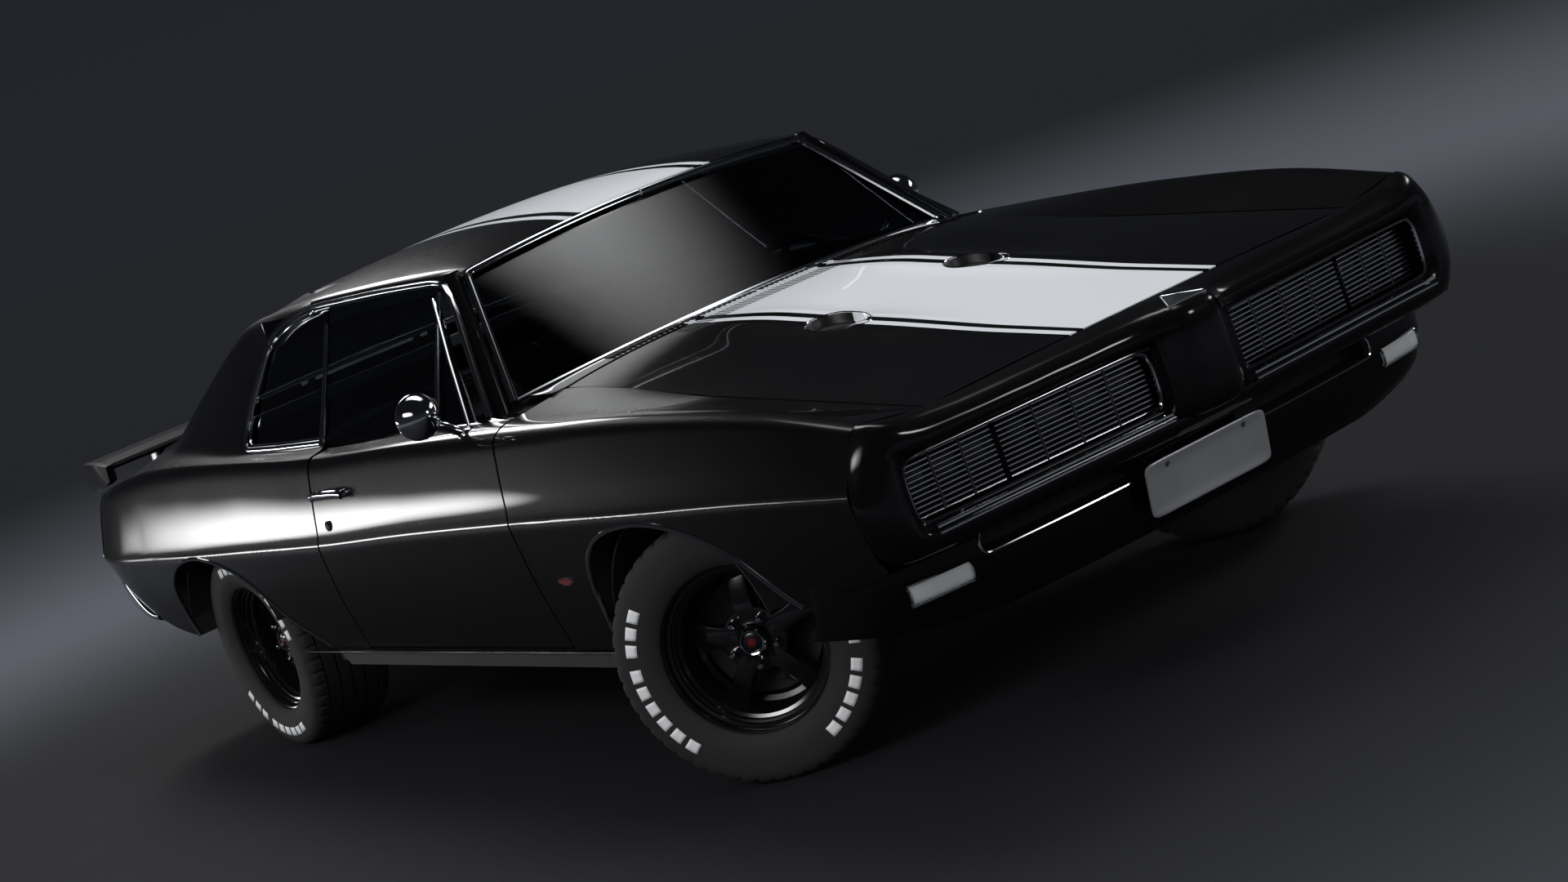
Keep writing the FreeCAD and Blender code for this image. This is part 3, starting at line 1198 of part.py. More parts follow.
ARM_X = f"{FRONT_AXLE} - Sizes.arm_width / 2"
rail_outer = f"({FRONT_RAIL_Y} + {rail_w})"
arm_span = f"(Sizes.front_track / 2 - Sizes.kingpin_inset - {rail_outer})"
KNUCKLE_HALF = "Sizes.knuckle_height / 2 + Sizes.ball_joint_gap"
arms = []
for level, z in (("upper", f"Sizes.tyre_radius + {KNUCKLE_HALF}"),
                 ("lower", f"Sizes.tyre_radius - ({KNUCKLE_HALF}) - Sizes.arm_height")):
    arms.append(block(f"{level}_arm_left", ARM_X, rail_outer, z, "Sizes.arm_width", arm_span,
                      "Sizes.arm_height"))
    arms.append(block(f"{level}_arm_right", ARM_X, f"-{rail_outer} - {arm_span}", z, "Sizes.arm_width",
                      arm_span, "Sizes.arm_height"))
grouped("front_suspension", arms)

# ---------------------------------------------------------------- check and write
doc.recompute()
for item in doc.Objects:
    if "Invalid" in item.State or "Error" in item.State:
        raise RuntimeError(f"{item.Label} did not build: {item.State}")
for label, item in nodes.items():
    if item.Shape.isNull() or not item.Shape.isValid():
        raise RuntimeError(f"{label} has no valid shape")
    if not item.Shape.Solids:
        raise RuntimeError(f"{label} has no solid")

os.makedirs("parts", exist_ok=True)
for label, item in nodes.items():
    item.Shape.exportStep(f"parts/{label}.step")
    box = item.Shape.BoundBox
    print(f"{label:20s} {len(item.Shape.Solids)} solids {item.Shape.Volume / 1e6:9.3f} l "
          f"x {box.XMin:8.1f} {box.XMax:8.1f} y {box.YMin:7.1f} {box.YMax:7.1f} "
          f"z {box.ZMin:7.1f} {box.ZMax:7.1f}")
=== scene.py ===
"""Looks of a two-door hardtop coupe, built round its CAD frame.

Tables are in millimetres. "Ahead" is measured from the front axle, "in" from the widest line of
the body, "behind" from the tip of the nose, and z from the ground.
"""

import json
import logging
import math
from dataclasses import dataclass, field
from enum import Enum, IntEnum

import bpy
import numpy as np
from mathutils import Matrix, Vector

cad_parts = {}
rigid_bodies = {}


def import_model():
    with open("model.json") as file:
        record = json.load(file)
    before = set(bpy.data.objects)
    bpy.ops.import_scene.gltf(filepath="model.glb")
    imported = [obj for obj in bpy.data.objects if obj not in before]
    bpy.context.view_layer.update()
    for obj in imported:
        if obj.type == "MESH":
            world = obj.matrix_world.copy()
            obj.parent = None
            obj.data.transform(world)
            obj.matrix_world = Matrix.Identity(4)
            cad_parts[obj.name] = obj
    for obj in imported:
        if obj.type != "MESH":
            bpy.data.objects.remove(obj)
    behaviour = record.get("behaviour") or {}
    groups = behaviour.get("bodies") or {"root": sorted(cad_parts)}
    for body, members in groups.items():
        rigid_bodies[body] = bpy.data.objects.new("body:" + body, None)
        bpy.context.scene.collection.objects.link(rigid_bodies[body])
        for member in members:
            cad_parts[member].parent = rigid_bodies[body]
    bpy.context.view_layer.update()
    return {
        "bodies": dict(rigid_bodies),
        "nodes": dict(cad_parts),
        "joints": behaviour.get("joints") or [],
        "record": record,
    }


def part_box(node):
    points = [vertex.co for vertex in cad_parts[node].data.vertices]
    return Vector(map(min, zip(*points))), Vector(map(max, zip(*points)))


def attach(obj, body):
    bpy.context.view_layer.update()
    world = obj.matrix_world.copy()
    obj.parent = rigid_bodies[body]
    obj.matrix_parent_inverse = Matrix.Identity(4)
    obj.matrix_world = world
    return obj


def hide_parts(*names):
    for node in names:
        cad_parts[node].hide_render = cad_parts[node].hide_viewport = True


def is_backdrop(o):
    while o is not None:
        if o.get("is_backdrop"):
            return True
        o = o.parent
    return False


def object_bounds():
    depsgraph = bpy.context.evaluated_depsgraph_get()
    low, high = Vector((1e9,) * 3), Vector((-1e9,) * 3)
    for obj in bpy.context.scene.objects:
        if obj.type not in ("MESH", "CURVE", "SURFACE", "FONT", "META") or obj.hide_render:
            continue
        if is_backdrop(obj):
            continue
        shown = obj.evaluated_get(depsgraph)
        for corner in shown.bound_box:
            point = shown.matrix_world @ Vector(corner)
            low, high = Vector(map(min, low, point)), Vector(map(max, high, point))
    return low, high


LOG = logging.getLogger("coupe")
Point = tuple[float, float, float]
AHEAD, OUT, UP = Vector((1, 0, 0)), Vector((0, 1, 0)), Vector((0, 0, 1))
# The way the left side glass faces.
GLASS_OUT = Vector((0, 0.87, 0.5))
# A copy moved by this is on the other side of the car.
MIRROR = Matrix.Diagonal((1, -1, 1, 1))


class Side(IntEnum):
    """A side of the car, as the sign of its y."""

    LEFT = 1
    RIGHT = -1

    @property
    def label(self) -> str:
        """The side's name as bodies and nodes have it."""
        return self.name.lower()


class End(Enum):
    """An end of the car, as bodies and nodes name it."""

    FRONT = "front"
    REAR = "rear"


# ---------------------------------------------------------------- where things are
@dataclass(frozen=True)
class Layout:
    """The car's main lines in metres, read from the frame."""

    front_axle: float
    rear_axle: float
    half_width: float
    nose: float
    tail: float

    @classmethod
    def read(cls, frame: dict) -> "Layout":
        """Read the axles from the joints and the rest from the frame's boxes."""
        places = {joint["name"]: joint["pos_m"] for joint in frame["joints"]}
        low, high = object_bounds()
        return cls(places["steer_left"][0], places["rear_spin_left"][0],
                   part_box("front_fenders")[1].y, high[0], low[0])

    def at(self, ahead: float, y: float, z: float) -> Vector:
        """The point that far ahead of the front axle, in metres from millimetres."""
        return Vector((self.front_axle + ahead / 1000, y / 1000, z / 1000))

    def behind_nose(self, behind: float, y: float, z: float) -> Vector:
        """The point that far behind the tip of the nose, in metres from millimetres."""
        return Vector((self.nose - behind / 1000, y / 1000, z / 1000))


# ---------------------------------------------------------------- lines and meshes
def smooth_columns(table: list[tuple], places: np.ndarray) -> np.ndarray:
    """Read a table between its rows along smooth curves.

    Args:
        table: Rows of numbers, the first of each its place, in rising or falling order.
        places: Where to read the other columns.

    Returns:
        One row of columns for each place.
    """
    rows = np.array(sorted(table), float)
    xs, ys = rows[:, 0], rows[:, 1:]
    gaps = np.diff(xs)
    slopes = np.diff(ys, axis=0) / gaps[:, None]
    tangents = np.vstack([slopes[:1], slopes[-1:]])
    if len(xs) > 2:
        before, after = gaps[:-1, None], gaps[1:, None]
        inner = (slopes[:-1] * after + slopes[1:] * before) / (before + after)
        tangents = np.vstack([slopes[:1], inner, slopes[-1:]])
    places = np.atleast_1d(np.asarray(places, float))
    i = np.clip(np.searchsorted(xs, places, side="right") - 1, 0, len(xs) - 2)
    h = gaps[i][:, None]
    t = ((places - xs[i]) / gaps[i])[:, None]
    t = np.clip(t, 0, 1)
    return (ys[i] * (1 + 2 * t) * (1 - t) ** 2 + tangents[i] * h * t * (1 - t) ** 2
            + ys[i + 1] * t * t * (3 - 2 * t) + tangents[i + 1] * h * t * t * (t - 1))


def rounded_line(controls: np.ndarray, keys: tuple, bends: tuple, shares: np.ndarray) -> np.ndarray:
    """Read a line of straight runs whose corners are rounded.

    Args:
        controls: Corner points, shaped (corner, place, axis).
        keys: The share of the line at which each corner lies.
        bends: How far each inner corner's rounding reaches back and on, as a part of each run.
        shares: Where to read the line, one for each place.

    Returns:
        A point for each place.
    """
    count = len(controls)
    u = np.interp(shares, keys, np.arange(count))
    j = np.clip(u.astype(int), 0, count - 2)
    f = (u - j)[:, None]
    place = np.arange(controls.shape[1])
    points = controls[j, place] * (1 - f) + controls[j + 1, place] * f
    for k, (back, on) in enumerate(bends, start=1):
        near = (u > k - back) & (u < k + on)
        p = ((u[near] - k + back) / (back + on))[:, None]
        corner = controls[k, near]
        start = corner + (controls[k - 1, near] - corner) * back
        end = corner + (controls[k + 1, near] - corner) * on
        points[near] = (1 - p) ** 2 * start + 2 * p * (1 - p) * corner + p * p * end
    return points


def soft_line(points: list, bend: float = 0.35, steps: int = 6) -> list:
    """Round the inner corners of an open line of points."""
    line = [np.array(p, float) for p in points]
    out = [line[0]]
    for before, corner, after in zip(line, line[1:], line[2:]):
        start, end = corner + (before - corner) * bend, corner + (after - corner) * bend
        for t in np.linspace(0, 1, steps):
            out.append((1 - t) ** 2 * start + 2 * t * (1 - t) * corner + t * t * end)
    return out + [line[-1]]


def spread(points: list, count: int) -> np.ndarray:
    """Points evenly spaced along a line."""
    line = np.array(points, float)
    steps = np.r_[0, np.cumsum(np.linalg.norm(np.diff(line, axis=0), axis=1))]
    wanted = np.linspace(0, steps[-1], count)
    return np.stack([np.interp(wanted, steps, line[:, k]) for k in range(line.shape[1])], 1)


def curve(points: list, count: int, bend: float = 0.4, steps: int = 5) -> np.ndarray:
    """Points evenly spaced along a line whose inner corners are rounded."""
    return spread(soft_line(points, bend, steps), count)


def turns(count: int) -> np.ndarray:
    """Angles evenly spaced round a full circle."""
    return np.linspace(0, 2 * math.pi, count, endpoint=False)


def eased(share: float | np.ndarray) -> float | np.ndarray:
    """A share from 0 to 1 that starts and stops gently."""
    return share * share * (3 - 2 * share)


def border(rows: list) -> list:
    """The outline of a grid of points, once round from its first corner."""
    return (rows[0] + [row[-1] for row in rows[1:]] + rows[-1][::-1][1:]
            + [row[0] for row in rows[::-1][1:]])


def deselect() -> None:
    """Leave nothing selected, so that an operator acts on one piece only."""
    if bpy.context.object and bpy.context.object.mode != "OBJECT":
        bpy.ops.object.mode_set(mode="OBJECT")
    bpy.ops.object.select_all(action="DESELECT")


def pick(piece: bpy.types.Object) -> None:
    """Select one piece and make it the active one."""
    deselect()
    piece.select_set(True)
    bpy.context.view_layer.objects.active = piece


def tidied(piece: bpy.types.Object, turn_out: bool = True, merge: float = 1e-5) -> bpy.types.Object:
    """Merge a piece's doubles and turn its faces outwards."""
    pick(piece)
    bpy.ops.object.mode_set(mode="EDIT")
    bpy.ops.mesh.select_all(action="SELECT")
    bpy.ops.mesh.remove_doubles(threshold=merge)
    if turn_out:
        bpy.ops.mesh.normals_make_consistent(inside=False)
    bpy.ops.object.mode_set(mode="OBJECT")
    return piece


def smoothed(piece: bpy.types.Object, angle: float = 35) -> bpy.types.Object:
    """Shade a piece smooth, but for edges sharper than an angle."""
    pick(piece)
    bpy.ops.object.shade_smooth_by_angle(angle=math.radians(angle))
    return piece


def modified(piece: bpy.types.Object, kind: str, **settings: object) -> bpy.types.Object:
    """Add a modifier to a piece and apply it."""
    pick(piece)
    modifier = piece.modifiers.new(kind.lower(), kind)
    for name, value in settings.items():
        setattr(modifier, name, value)
    bpy.ops.object.modifier_apply(modifier=modifier.name)
    return piece


def from_points(name: str, points: np.ndarray, faces: list, finish: "Finish") -> bpy.types.Object:
    """A piece with the given corners and faces."""
    mesh = bpy.data.meshes.new(name)
    mesh.from_pydata(np.asarray(points, float).tolist(), [], faces)
    piece = bpy.data.objects.new(name, mesh)
    bpy.context.scene.collection.objects.link(piece)
    mesh.materials.append(finish.material())
    return piece


def sheet(name: str, rows: np.ndarray, finish: "Finish", round_rows: bool = False,
          round_columns: bool = False, caps: bool = False, angle: float = 35) -> bpy.types.Object:
    """A surface through a grid of points.

    Args:
        name: The piece's name.
        rows: Points in metres, shaped (row, column, axis).
        finish: What it is made of.
        round_rows: Whether the last row joins the first.
        round_columns: Whether the last column joins the first.
        caps: Whether to close the first and last rows with a face.
        angle: Edges sharper than this stay sharp.

    Returns:
        The piece.
    """
    grid = np.asarray(rows, float)
    m, n = grid.shape[:2]
    faces = [(i * n + j, i * n + (j + 1) % n, (i + 1) % m * n + (j + 1) % n, (i + 1) % m * n + j)
             for i in range(m if round_rows else m - 1)
             for j in range(n if round_columns else n - 1)]
    if caps:
        faces += [tuple(range(n)), tuple(range((m - 1) * n, m * n))]
    piece = from_points(name, grid.reshape(-1, 3), faces, finish)
    closed = caps or (round_rows and round_columns)
    return smoothed(tidied(piece, turn_out=closed), angle)


def solid(name: str, rows: np.ndarray, finish: "Finish", angle: float = 35) -> bpy.types.Object:
    """A closed piece through rings of points, with its two ends capped."""
    return sheet(name, rows, finish, round_columns=True, caps=True, angle=angle)


def facing(piece: bpy.types.Object, towards: Vector) -> bpy.types.Object:
    """Turn an open sheet over if most of it faces away from a direction."""
    total = sum((Vector(face.normal) * face.area for face in piece.data.polygons), Vector())
    if total.dot(Vector(towards)) < 0:
        piece.data.flip_normals()
    return piece


def pressed(name: str, rows: np.ndarray, finish: "Finish", towards: Vector, thickness: float,
            angle: float = 35) -> bpy.types.Object:
    """A sheet that faces a direction, given its thickness in metres behind that face."""
    piece = facing(sheet(name, rows, finish, angle=angle), towards)
    return modified(piece, "SOLIDIFY", thickness=thickness, offset=-1.0)


def swept(name: str, path: list, section: list, finish: "Finish", closed: bool = False,
          up: Vector = UP, angle: float = 35) -> bpy.types.Object:
    """A moulding: a section in metres carried along a path.

    Args:
        name: The piece's name.
        path: Points in metres.
        section: Corners of the section, each (to the side, upwards).
        finish: What it is made of.
        closed: Whether the path joins its own start.
        up: The section's upward direction.
        angle: Edges sharper than this stay sharp.

    Returns:
        The piece.
    """
    line = [Vector(p) for p in path]
    rows = []
    for i, point in enumerate(line):
        before = line[i - 1] if i or closed else point
        after = line[(i + 1) % len(line)] if i < len(line) - 1 or closed else point
        along = (after - before).normalized()
        side = along.cross(up).normalized()
        top = side.cross(along).normalized()
        rows.append([point + side * a + top * b for a, b in section])
    return sheet(name, rows, finish, round_rows=closed, round_columns=True,
                 caps=not closed, angle=angle)


def tube_section(radius: float, sides: int = 10) -> list:
    """The corners of a round section."""
    return [(radius * math.cos(a), radius * math.sin(a)) for a in turns(sides)]


def flat_section(width: float, height: float, crown: float = 0.35) -> list:
    """The corners of a moulding section with a crowned top, standing on its path."""
    w = width / 2
    return [(-w, 0), (w, 0), (w * 0.86, height * (1 - crown)), (w * 0.4, height),
            (-w * 0.4, height), (-w * 0.86, height * (1 - crown))]


def turned(name: str, profile: list, finish: "Finish", centre: Vector, axis: Vector,
           steps: int = 48, angle: float = 35) -> bpy.types.Object:
    """A piece spun about an axis.

    Args:
        name: The piece's name.
        profile: Points in metres, each (along the axis, out from it).
        finish: What it is made of.
        centre: Where the axis passes.
        axis: The axis's direction.
        steps: Faces round it.
        angle: Edges sharper than this stay sharp.

    Returns:
        The piece.
    """
    axis = Vector(axis).normalized()
    out = axis.orthogonal().normalized()
    points = [Vector(centre) + axis * along + out * radius for along, radius in profile]
    mesh = bpy.data.meshes.new(name)
    mesh.from_pydata([tuple(p) for p in points], [(i, i + 1) for i in range(len(points) - 1)], [])
    piece = bpy.data.objects.new(name, mesh)
    bpy.context.scene.collection.objects.link(piece)
    mesh.materials.append(finish.material())
    pick(piece)
    bpy.ops.object.mode_set(mode="EDIT")
    bpy.ops.mesh.select_all(action="SELECT")
    bpy.ops.mesh.spin(steps=steps, angle=2 * math.pi, center=centre, axis=axis)
    bpy.ops.mesh.select_all(action="SELECT")
    bpy.ops.mesh.remove_doubles(threshold=1e-5)
    bpy.ops.mesh.normals_make_consistent(inside=False)
    bpy.ops.object.mode_set(mode="OBJECT")
    return smoothed(piece, angle)


def block(name: str, low: Point, high: Point, finish: "Finish", bevel: float = 0.003,
          segments: int = 2, turn: Matrix | None = None) -> bpy.types.Object:
    """A block with rounded edges between two corners in metres, then turned about its middle."""
    deselect()
    low, high = Vector(low), Vector(high)
    bpy.ops.mesh.primitive_cube_add(size=1, location=(0, 0, 0))
    piece = bpy.context.object
    piece.name = name
    size = high - low
    place = Matrix.Translation((low + high) / 2) @ (turn or Matrix.Identity(4))
    piece.data.transform(place @ Matrix.Diagonal((size.x, size.y, size.z, 1)))
    if bevel:
        bpy.ops.object.mode_set(mode="EDIT")
        bpy.ops.mesh.select_all(action="SELECT")
        bpy.ops.mesh.bevel(offset=bevel, segments=segments, affect="EDGES")
        bpy.ops.object.mode_set(mode="OBJECT")
    piece.data.materials.append(finish.material())
    return smoothed(piece, 40)


def joined(name: str, pieces: list) -> bpy.types.Object:
    """Join pieces into one."""
    deselect()
    for piece in pieces:
        piece.select_set(True)
    bpy.context.view_layer.objects.active = pieces[0]
    bpy.ops.object.join()
    pieces[0].name = name
    pieces[0].data.name = name
    return pieces[0]


def moved_copy(piece: bpy.types.Object, name: str, place: Matrix) -> bpy.types.Object:
    """A copy of a piece with its own mesh, its points moved by a matrix."""
    copy = piece.copy()
    copy.data = piece.data.copy()
    copy.name = name
    bpy.context.scene.collection.objects.link(copy)
    copy.data.transform(place)
    if place.determinant() < 0:
        copy.data.flip_normals()
    return copy


def across(piece: bpy.types.Object, name: str) -> bpy.types.Object:
    """The same piece on the other side of the car."""
    return moved_copy(piece, name, MIRROR)


def both(piece: bpy.types.Object, name: str) -> bpy.types.Object:
    """A left piece and its mirror image as one."""
    return joined(name, [piece, across(piece, f"{name}_other")])


def placed(piece: bpy.types.Object, body: str, *nodes: str, slot: str = "") -> bpy.types.Object:
    """Let a piece ride on its body, in place of any CAD nodes named."""
    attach(piece, body)
    if nodes:
        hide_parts(*nodes)
    LOG.info("%s rides on %s", piece.name, body)
    return piece


def placed_pair(piece: bpy.types.Object, *nodes: str, slot: str) -> bpy.types.Object:
    """Join a left piece with its mirror image and let both ride on the body."""
    return placed(both(piece, piece.name), "body", *nodes, slot=slot)


# ---------------------------------------------------------------- finishes
def linear(colour: str) -> tuple[float, float, float, float]:
    """A colour written as sRGB hex, as the linear values that a shader takes."""
    parts = [int(colour[i:i + 2], 16) / 255 for i in (1, 3, 5)]
    return (*[c / 12.92 if c <= 0.04045 else ((c + 0.055) / 1.055) ** 2.4 for c in parts], 1.0)


def add_node(tree: bpy.types.NodeTree, kind: str, links: dict | None = None,
             **settings: object) -> bpy.types.Node:
    """Add a node, set its properties and sockets, and link its inputs.

    Args:
        tree: The node tree.
        kind: The node's type.
        links: For each input name or number, the socket that feeds it.
        settings: Properties, or values of inputs named with underscores for spaces.

    Returns:
        The node.
    """
    node = tree.nodes.new(kind)
    for name, value in settings.items():
        if hasattr(node, name):
            setattr(node, name, value)
        else:
            node.inputs[name.replace("_", " ")].default_value = value
    for name, source in (links or {}).items():
        tree.links.new(source, node.inputs[name])
    return node


# The sockets of a colour mix, whose names it shares with its number mix.
MIX_A, MIX_B, MIX_RESULT = 6, 7, 2


@dataclass(frozen=True)
class Finish:
    """A surface finish: a shader's own values, with grain in roughness and bump."""

    name: str
    colour: str
    roughness: float = 0.4
    metallic: float = 0.0
    coat: float = 0.0
    coat_roughness: float = 0.03
    transmission: float = 0.0
    ior: float = 1.5
    sheen: float = 0.0
    specular: float = 0.5
    grain_mm: float = 1.0
    grain_height_mm: float = 0.02
    mottle: float = 0.1
    wear: float = 0.06

    def colour_source(self, tree: bpy.types.NodeTree, where: bpy.types.NodeSocket,
                      patches: bpy.types.NodeSocket) -> bpy.types.NodeSocket:
        """The socket that gives the base colour: a slight change of tone from place to place."""
        base = np.array(linear(self.colour)[:3])
        darker, paler = base * (1 - self.mottle), np.clip(base * (1 + self.mottle), 0, 1)
        ramp = add_node(tree, "ShaderNodeValToRGB", {"Fac": patches})
        ramp.color_ramp.elements[0].color = (*darker, 1)
        ramp.color_ramp.elements[1].color = (*paler, 1)
        ramp.color_ramp.elements[0].position = 0.3
        ramp.color_ramp.elements[1].position = 0.7
        return ramp.outputs["Color"]

    def height_source(self, tree: bpy.types.NodeTree,
                      where: bpy.types.NodeSocket) -> bpy.types.NodeSocket:
        """The socket that gives the surface's fine relief."""
        grain = add_node(tree, "ShaderNodeTexNoise", {"Vector": where},
                         Scale=1000 / self.grain_mm, Detail=2.0)
        return grain.outputs["Fac"]

    def material(self) -> bpy.types.Material:
        """The material, made the first time that it is asked for."""
        made = bpy.data.materials.get(self.name)
        if made:
            return made
        made = bpy.data.materials.new(self.name)
        made.use_nodes = True
        tree = made.node_tree
        shader = tree.nodes["Principled BSDF"]
        values = {"Metallic": self.metallic, "Coat Weight": self.coat,
                  "Coat Roughness": self.coat_roughness, "Transmission Weight": self.transmission,
                  "IOR": self.ior, "Sheen Weight": self.sheen, "Specular IOR Level": self.specular}
        for name, value in values.items():
            shader.inputs[name].default_value = value
        where = add_node(tree, "ShaderNodeTexCoord").outputs["Object"]
        patches = add_node(tree, "ShaderNodeTexNoise", {"Vector": where}, Scale=6.0, Detail=3.0)
        tree.links.new(self.colour_source(tree, where, patches.outputs["Fac"]),
                       shader.inputs["Base Color"])
        rough = add_node(tree, "ShaderNodeMapRange", {"Value": patches.outputs["Fac"]})
        rough.inputs["To Min"].default_value = max(self.roughness - self.wear, 0.0)
        rough.inputs["To Max"].default_value = min(self.roughness + self.wear, 1.0)
        tree.links.new(rough.outputs["Result"], shader.inputs["Roughness"])
        if self.grain_height_mm:
            bump = add_node(tree, "ShaderNodeBump", {"Height": self.height_source(tree, where)},
                            Distance=self.grain_height_mm / 1000)
            tree.links.new(bump.outputs["Normal"], shader.inputs["Normal"])
        return made


@dataclass(frozen=True)
class StripedEnamel(Finish):
    """Clear-coated enamel with a wide centre stripe and a thin one each side of it.

    The stripes' edges, in metres out from the middle, widen from the hood's front to the cowl.
    """

    stripe: str = "#d4d6da"
    front_edges: tuple[float, ...] = (0.186, 0.206, 0.227)
    rear_edges: tuple[float, ...] = (0.192, 0.222, 0.248)
    widen_from: float = 2.36
    widen_to: float = 0.80

    def colour_source(self, tree: bpy.types.NodeTree, where: bpy.types.NodeSocket,
                      patches: bpy.types.NodeSocket) -> bpy.types.NodeSocket:
        """Paint colour or stripe colour by the distance out from the middle."""
        split = add_node(tree, "ShaderNodeSeparateXYZ", {"Vector": where})
        out = add_node(tree, "ShaderNodeMath", {0: split.outputs["Y"]}, operation="ABSOLUTE")
        share = add_node(tree, "ShaderNodeMapRange", {"Value": split.outputs["X"]})
        share.inputs["From Min"].default_value = self.widen_from
        share.inputs["From Max"].default_value = self.widen_to
        inside = []
        for front, rear in zip(self.front_edges, self.rear_edges):
            edge = add_node(tree, "ShaderNodeMath", {0: share.outputs["Result"]},
                            operation="MULTIPLY_ADD")
            edge.inputs[1].default_value, edge.inputs[2].default_value = rear - front, front
            within = add_node(tree, "ShaderNodeMath", {0: out.outputs[0], 1: edge.outputs[0]},
                              operation="LESS_THAN")
            inside.append(within.outputs[0])
        thin = add_node(tree, "ShaderNodeMath", {0: inside[2], 1: inside[1]}, operation="SUBTRACT")
        both_stripes = add_node(tree, "ShaderNodeMath", {0: thin.outputs[0], 1: inside[0]},
                                operation="ADD")
        mix = add_node(tree, "ShaderNodeMix", {"Factor": both_stripes.outputs[0]}, data_type="RGBA")
        mix.inputs[MIX_A].default_value = linear(self.colour)
        mix.inputs[MIX_B].default_value = linear(self.stripe)
        return mix.outputs[MIX_RESULT]


@dataclass(frozen=True)
class RibbedLens(Finish):
    """Moulded lens plastic with ribs across it, which break its reflection into lines."""

    rib_mm: float = 5.0
    rib_axis: str = "Z"

    def height_source(self, tree: bpy.types.NodeTree,
                      where: bpy.types.NodeSocket) -> bpy.types.NodeSocket:
        """Rounded ribs one rib width apart."""
        ribs = add_node(tree, "ShaderNodeTexWave", {"Vector": where}, bands_direction=self.rib_axis,
                        Scale=1000 / self.rib_mm / 20)
        return ribs.outputs["Fac"]


# Clear-coated black enamel: sprayed and polished, near black with a sharp reflection.
ENAMEL = Finish("black_enamel", "#060607", 0.35, coat=0.6, coat_roughness=0.03, grain_mm=3.0,
                grain_height_mm=0.001, mottle=0.08, wear=0.05, specular=0.03)
STRIPED = StripedEnamel("striped_black_enamel", "#060607", 0.35, coat=0.6, coat_roughness=0.03,
                        grain_mm=3.0, grain_height_mm=0.001, mottle=0.08, wear=0.05, specular=0.03)
# Chromed steel: plated and buffed, a bright mirror with faint polishing marks.
CHROME = Finish("chromed_steel", "#dcdee2", 0.07, metallic=1.0, grain_mm=0.8,
                grain_height_mm=0.0015, mottle=0.03, wear=0.03)
# Bright-edged aluminium: anodised mouldings and grille bars, softer than chrome.
ALUMINIUM = Finish("anodised_aluminium", "#c6c9ce", 0.2, metallic=1.0, grain_mm=0.6,
                   grain_height_mm=0.003, mottle=0.05, wear=0.05)
# Satin black paint on sheet steel: grille cavity, sills and underbody.
SATIN_BLACK = Finish("satin_black_paint", "#101113", 0.55, grain_mm=0.8, grain_height_mm=0.02,
                     mottle=0.2, wear=0.1)
# Black paint for grilles, louvres and engine fittings; also used as painted shade in the mouths of
# the hood's air scoops.
GRILLE_BLACK_AND_PAINTED_SHADE = Finish("grille_black_paint", "#0c0d0f", 0.45, grain_mm=0.8, grain_height_mm=0.01,
                      mottle=0.15, wear=0.08)
# Sprayed underseal on the inside of the wheelhouses: rough and dusty.
UNDERSEAL = Finish("rubberised_underseal", "#161616", 0.85, grain_mm=6.0, grain_height_mm=0.6,
                   mottle=0.25, wear=0.1)
# Tyre rubber: moulded, dark grey with a slight bloom.
RUBBER = Finish("tyre_rubber", "#232427", 0.62, grain_mm=2.0, grain_height_mm=0.05, mottle=0.16,
                wear=0.1, specular=0.4)
WHITE_RUBBER = Finish("white_tyre_rubber", "#e4e5e6", 0.55, grain_mm=2.0, grain_height_mm=0.04,
                      mottle=0.05, wear=0.08)
# Gloss black wheel enamel over cast aluminium.
WHEEL_BLACK = Finish("gloss_black_wheel_enamel", "#0a0a0c", 0.2, coat=0.8, coat_roughness=0.05,
                     grain_mm=2.0, grain_height_mm=0.004, mottle=0.1, wear=0.06)
# Sand-cast iron: drums, arms and engine, rough and dark with a trace of rust.
CAST_IRON = Finish("sand_cast_iron", "#3a3735", 0.6, metallic=0.8, grain_mm=1.6,
                   grain_height_mm=0.15, mottle=0.25, wear=0.12)
ENGINE_ENAMEL = Finish("engine_enamel_on_iron", "#233f63", 0.45, grain_mm=2.0,
                       grain_height_mm=0.1, mottle=0.12, wear=0.1)
TIN_PLATE = Finish("terne_coated_steel", "#8c8f93", 0.42, metallic=0.9, grain_mm=4.0,
                   grain_height_mm=0.05, mottle=0.12, wear=0.12)
EXHAUST_STEEL = Finish("aluminised_exhaust_steel", "#8f8779", 0.45, metallic=0.9, grain_mm=3.0,
                       grain_height_mm=0.06, mottle=0.2, wear=0.14)
# Tinted float glass: clear but dark, with a hard reflection.
GLASS = Finish("tinted_float_glass", "#6a6f75", 0.0, transmission=1.0, ior=1.46, grain_mm=60.0,
               grain_height_mm=0.0, mottle=0.04, wear=0.0)
CLEAR_LENS = RibbedLens("clear_moulded_lens", "#eef0f2", 0.12, transmission=0.55, ior=1.49,
                        grain_height_mm=0.9, rib_mm=6.0, rib_axis="Y", mottle=0.04, wear=0.05)
HEADLAMP_GLASS = RibbedLens("fluted_headlamp_glass", "#e9edf0", 0.1, transmission=0.7, ior=1.5,
                            grain_height_mm=0.8, rib_mm=8.0, rib_axis="Y", mottle=0.03, wear=0.04)
RED_LENS = RibbedLens("red_moulded_lens", "#7d0b0d", 0.15, transmission=0.25, ior=1.49,
                      grain_height_mm=0.8, rib_mm=7.0, rib_axis="Z", mottle=0.08, wear=0.05)
RED_ENAMEL = Finish("dark_red_enamel", "#5c0a10", 0.25, coat=0.8, grain_mm=2.0,
                    grain_height_mm=0.004, mottle=0.08)
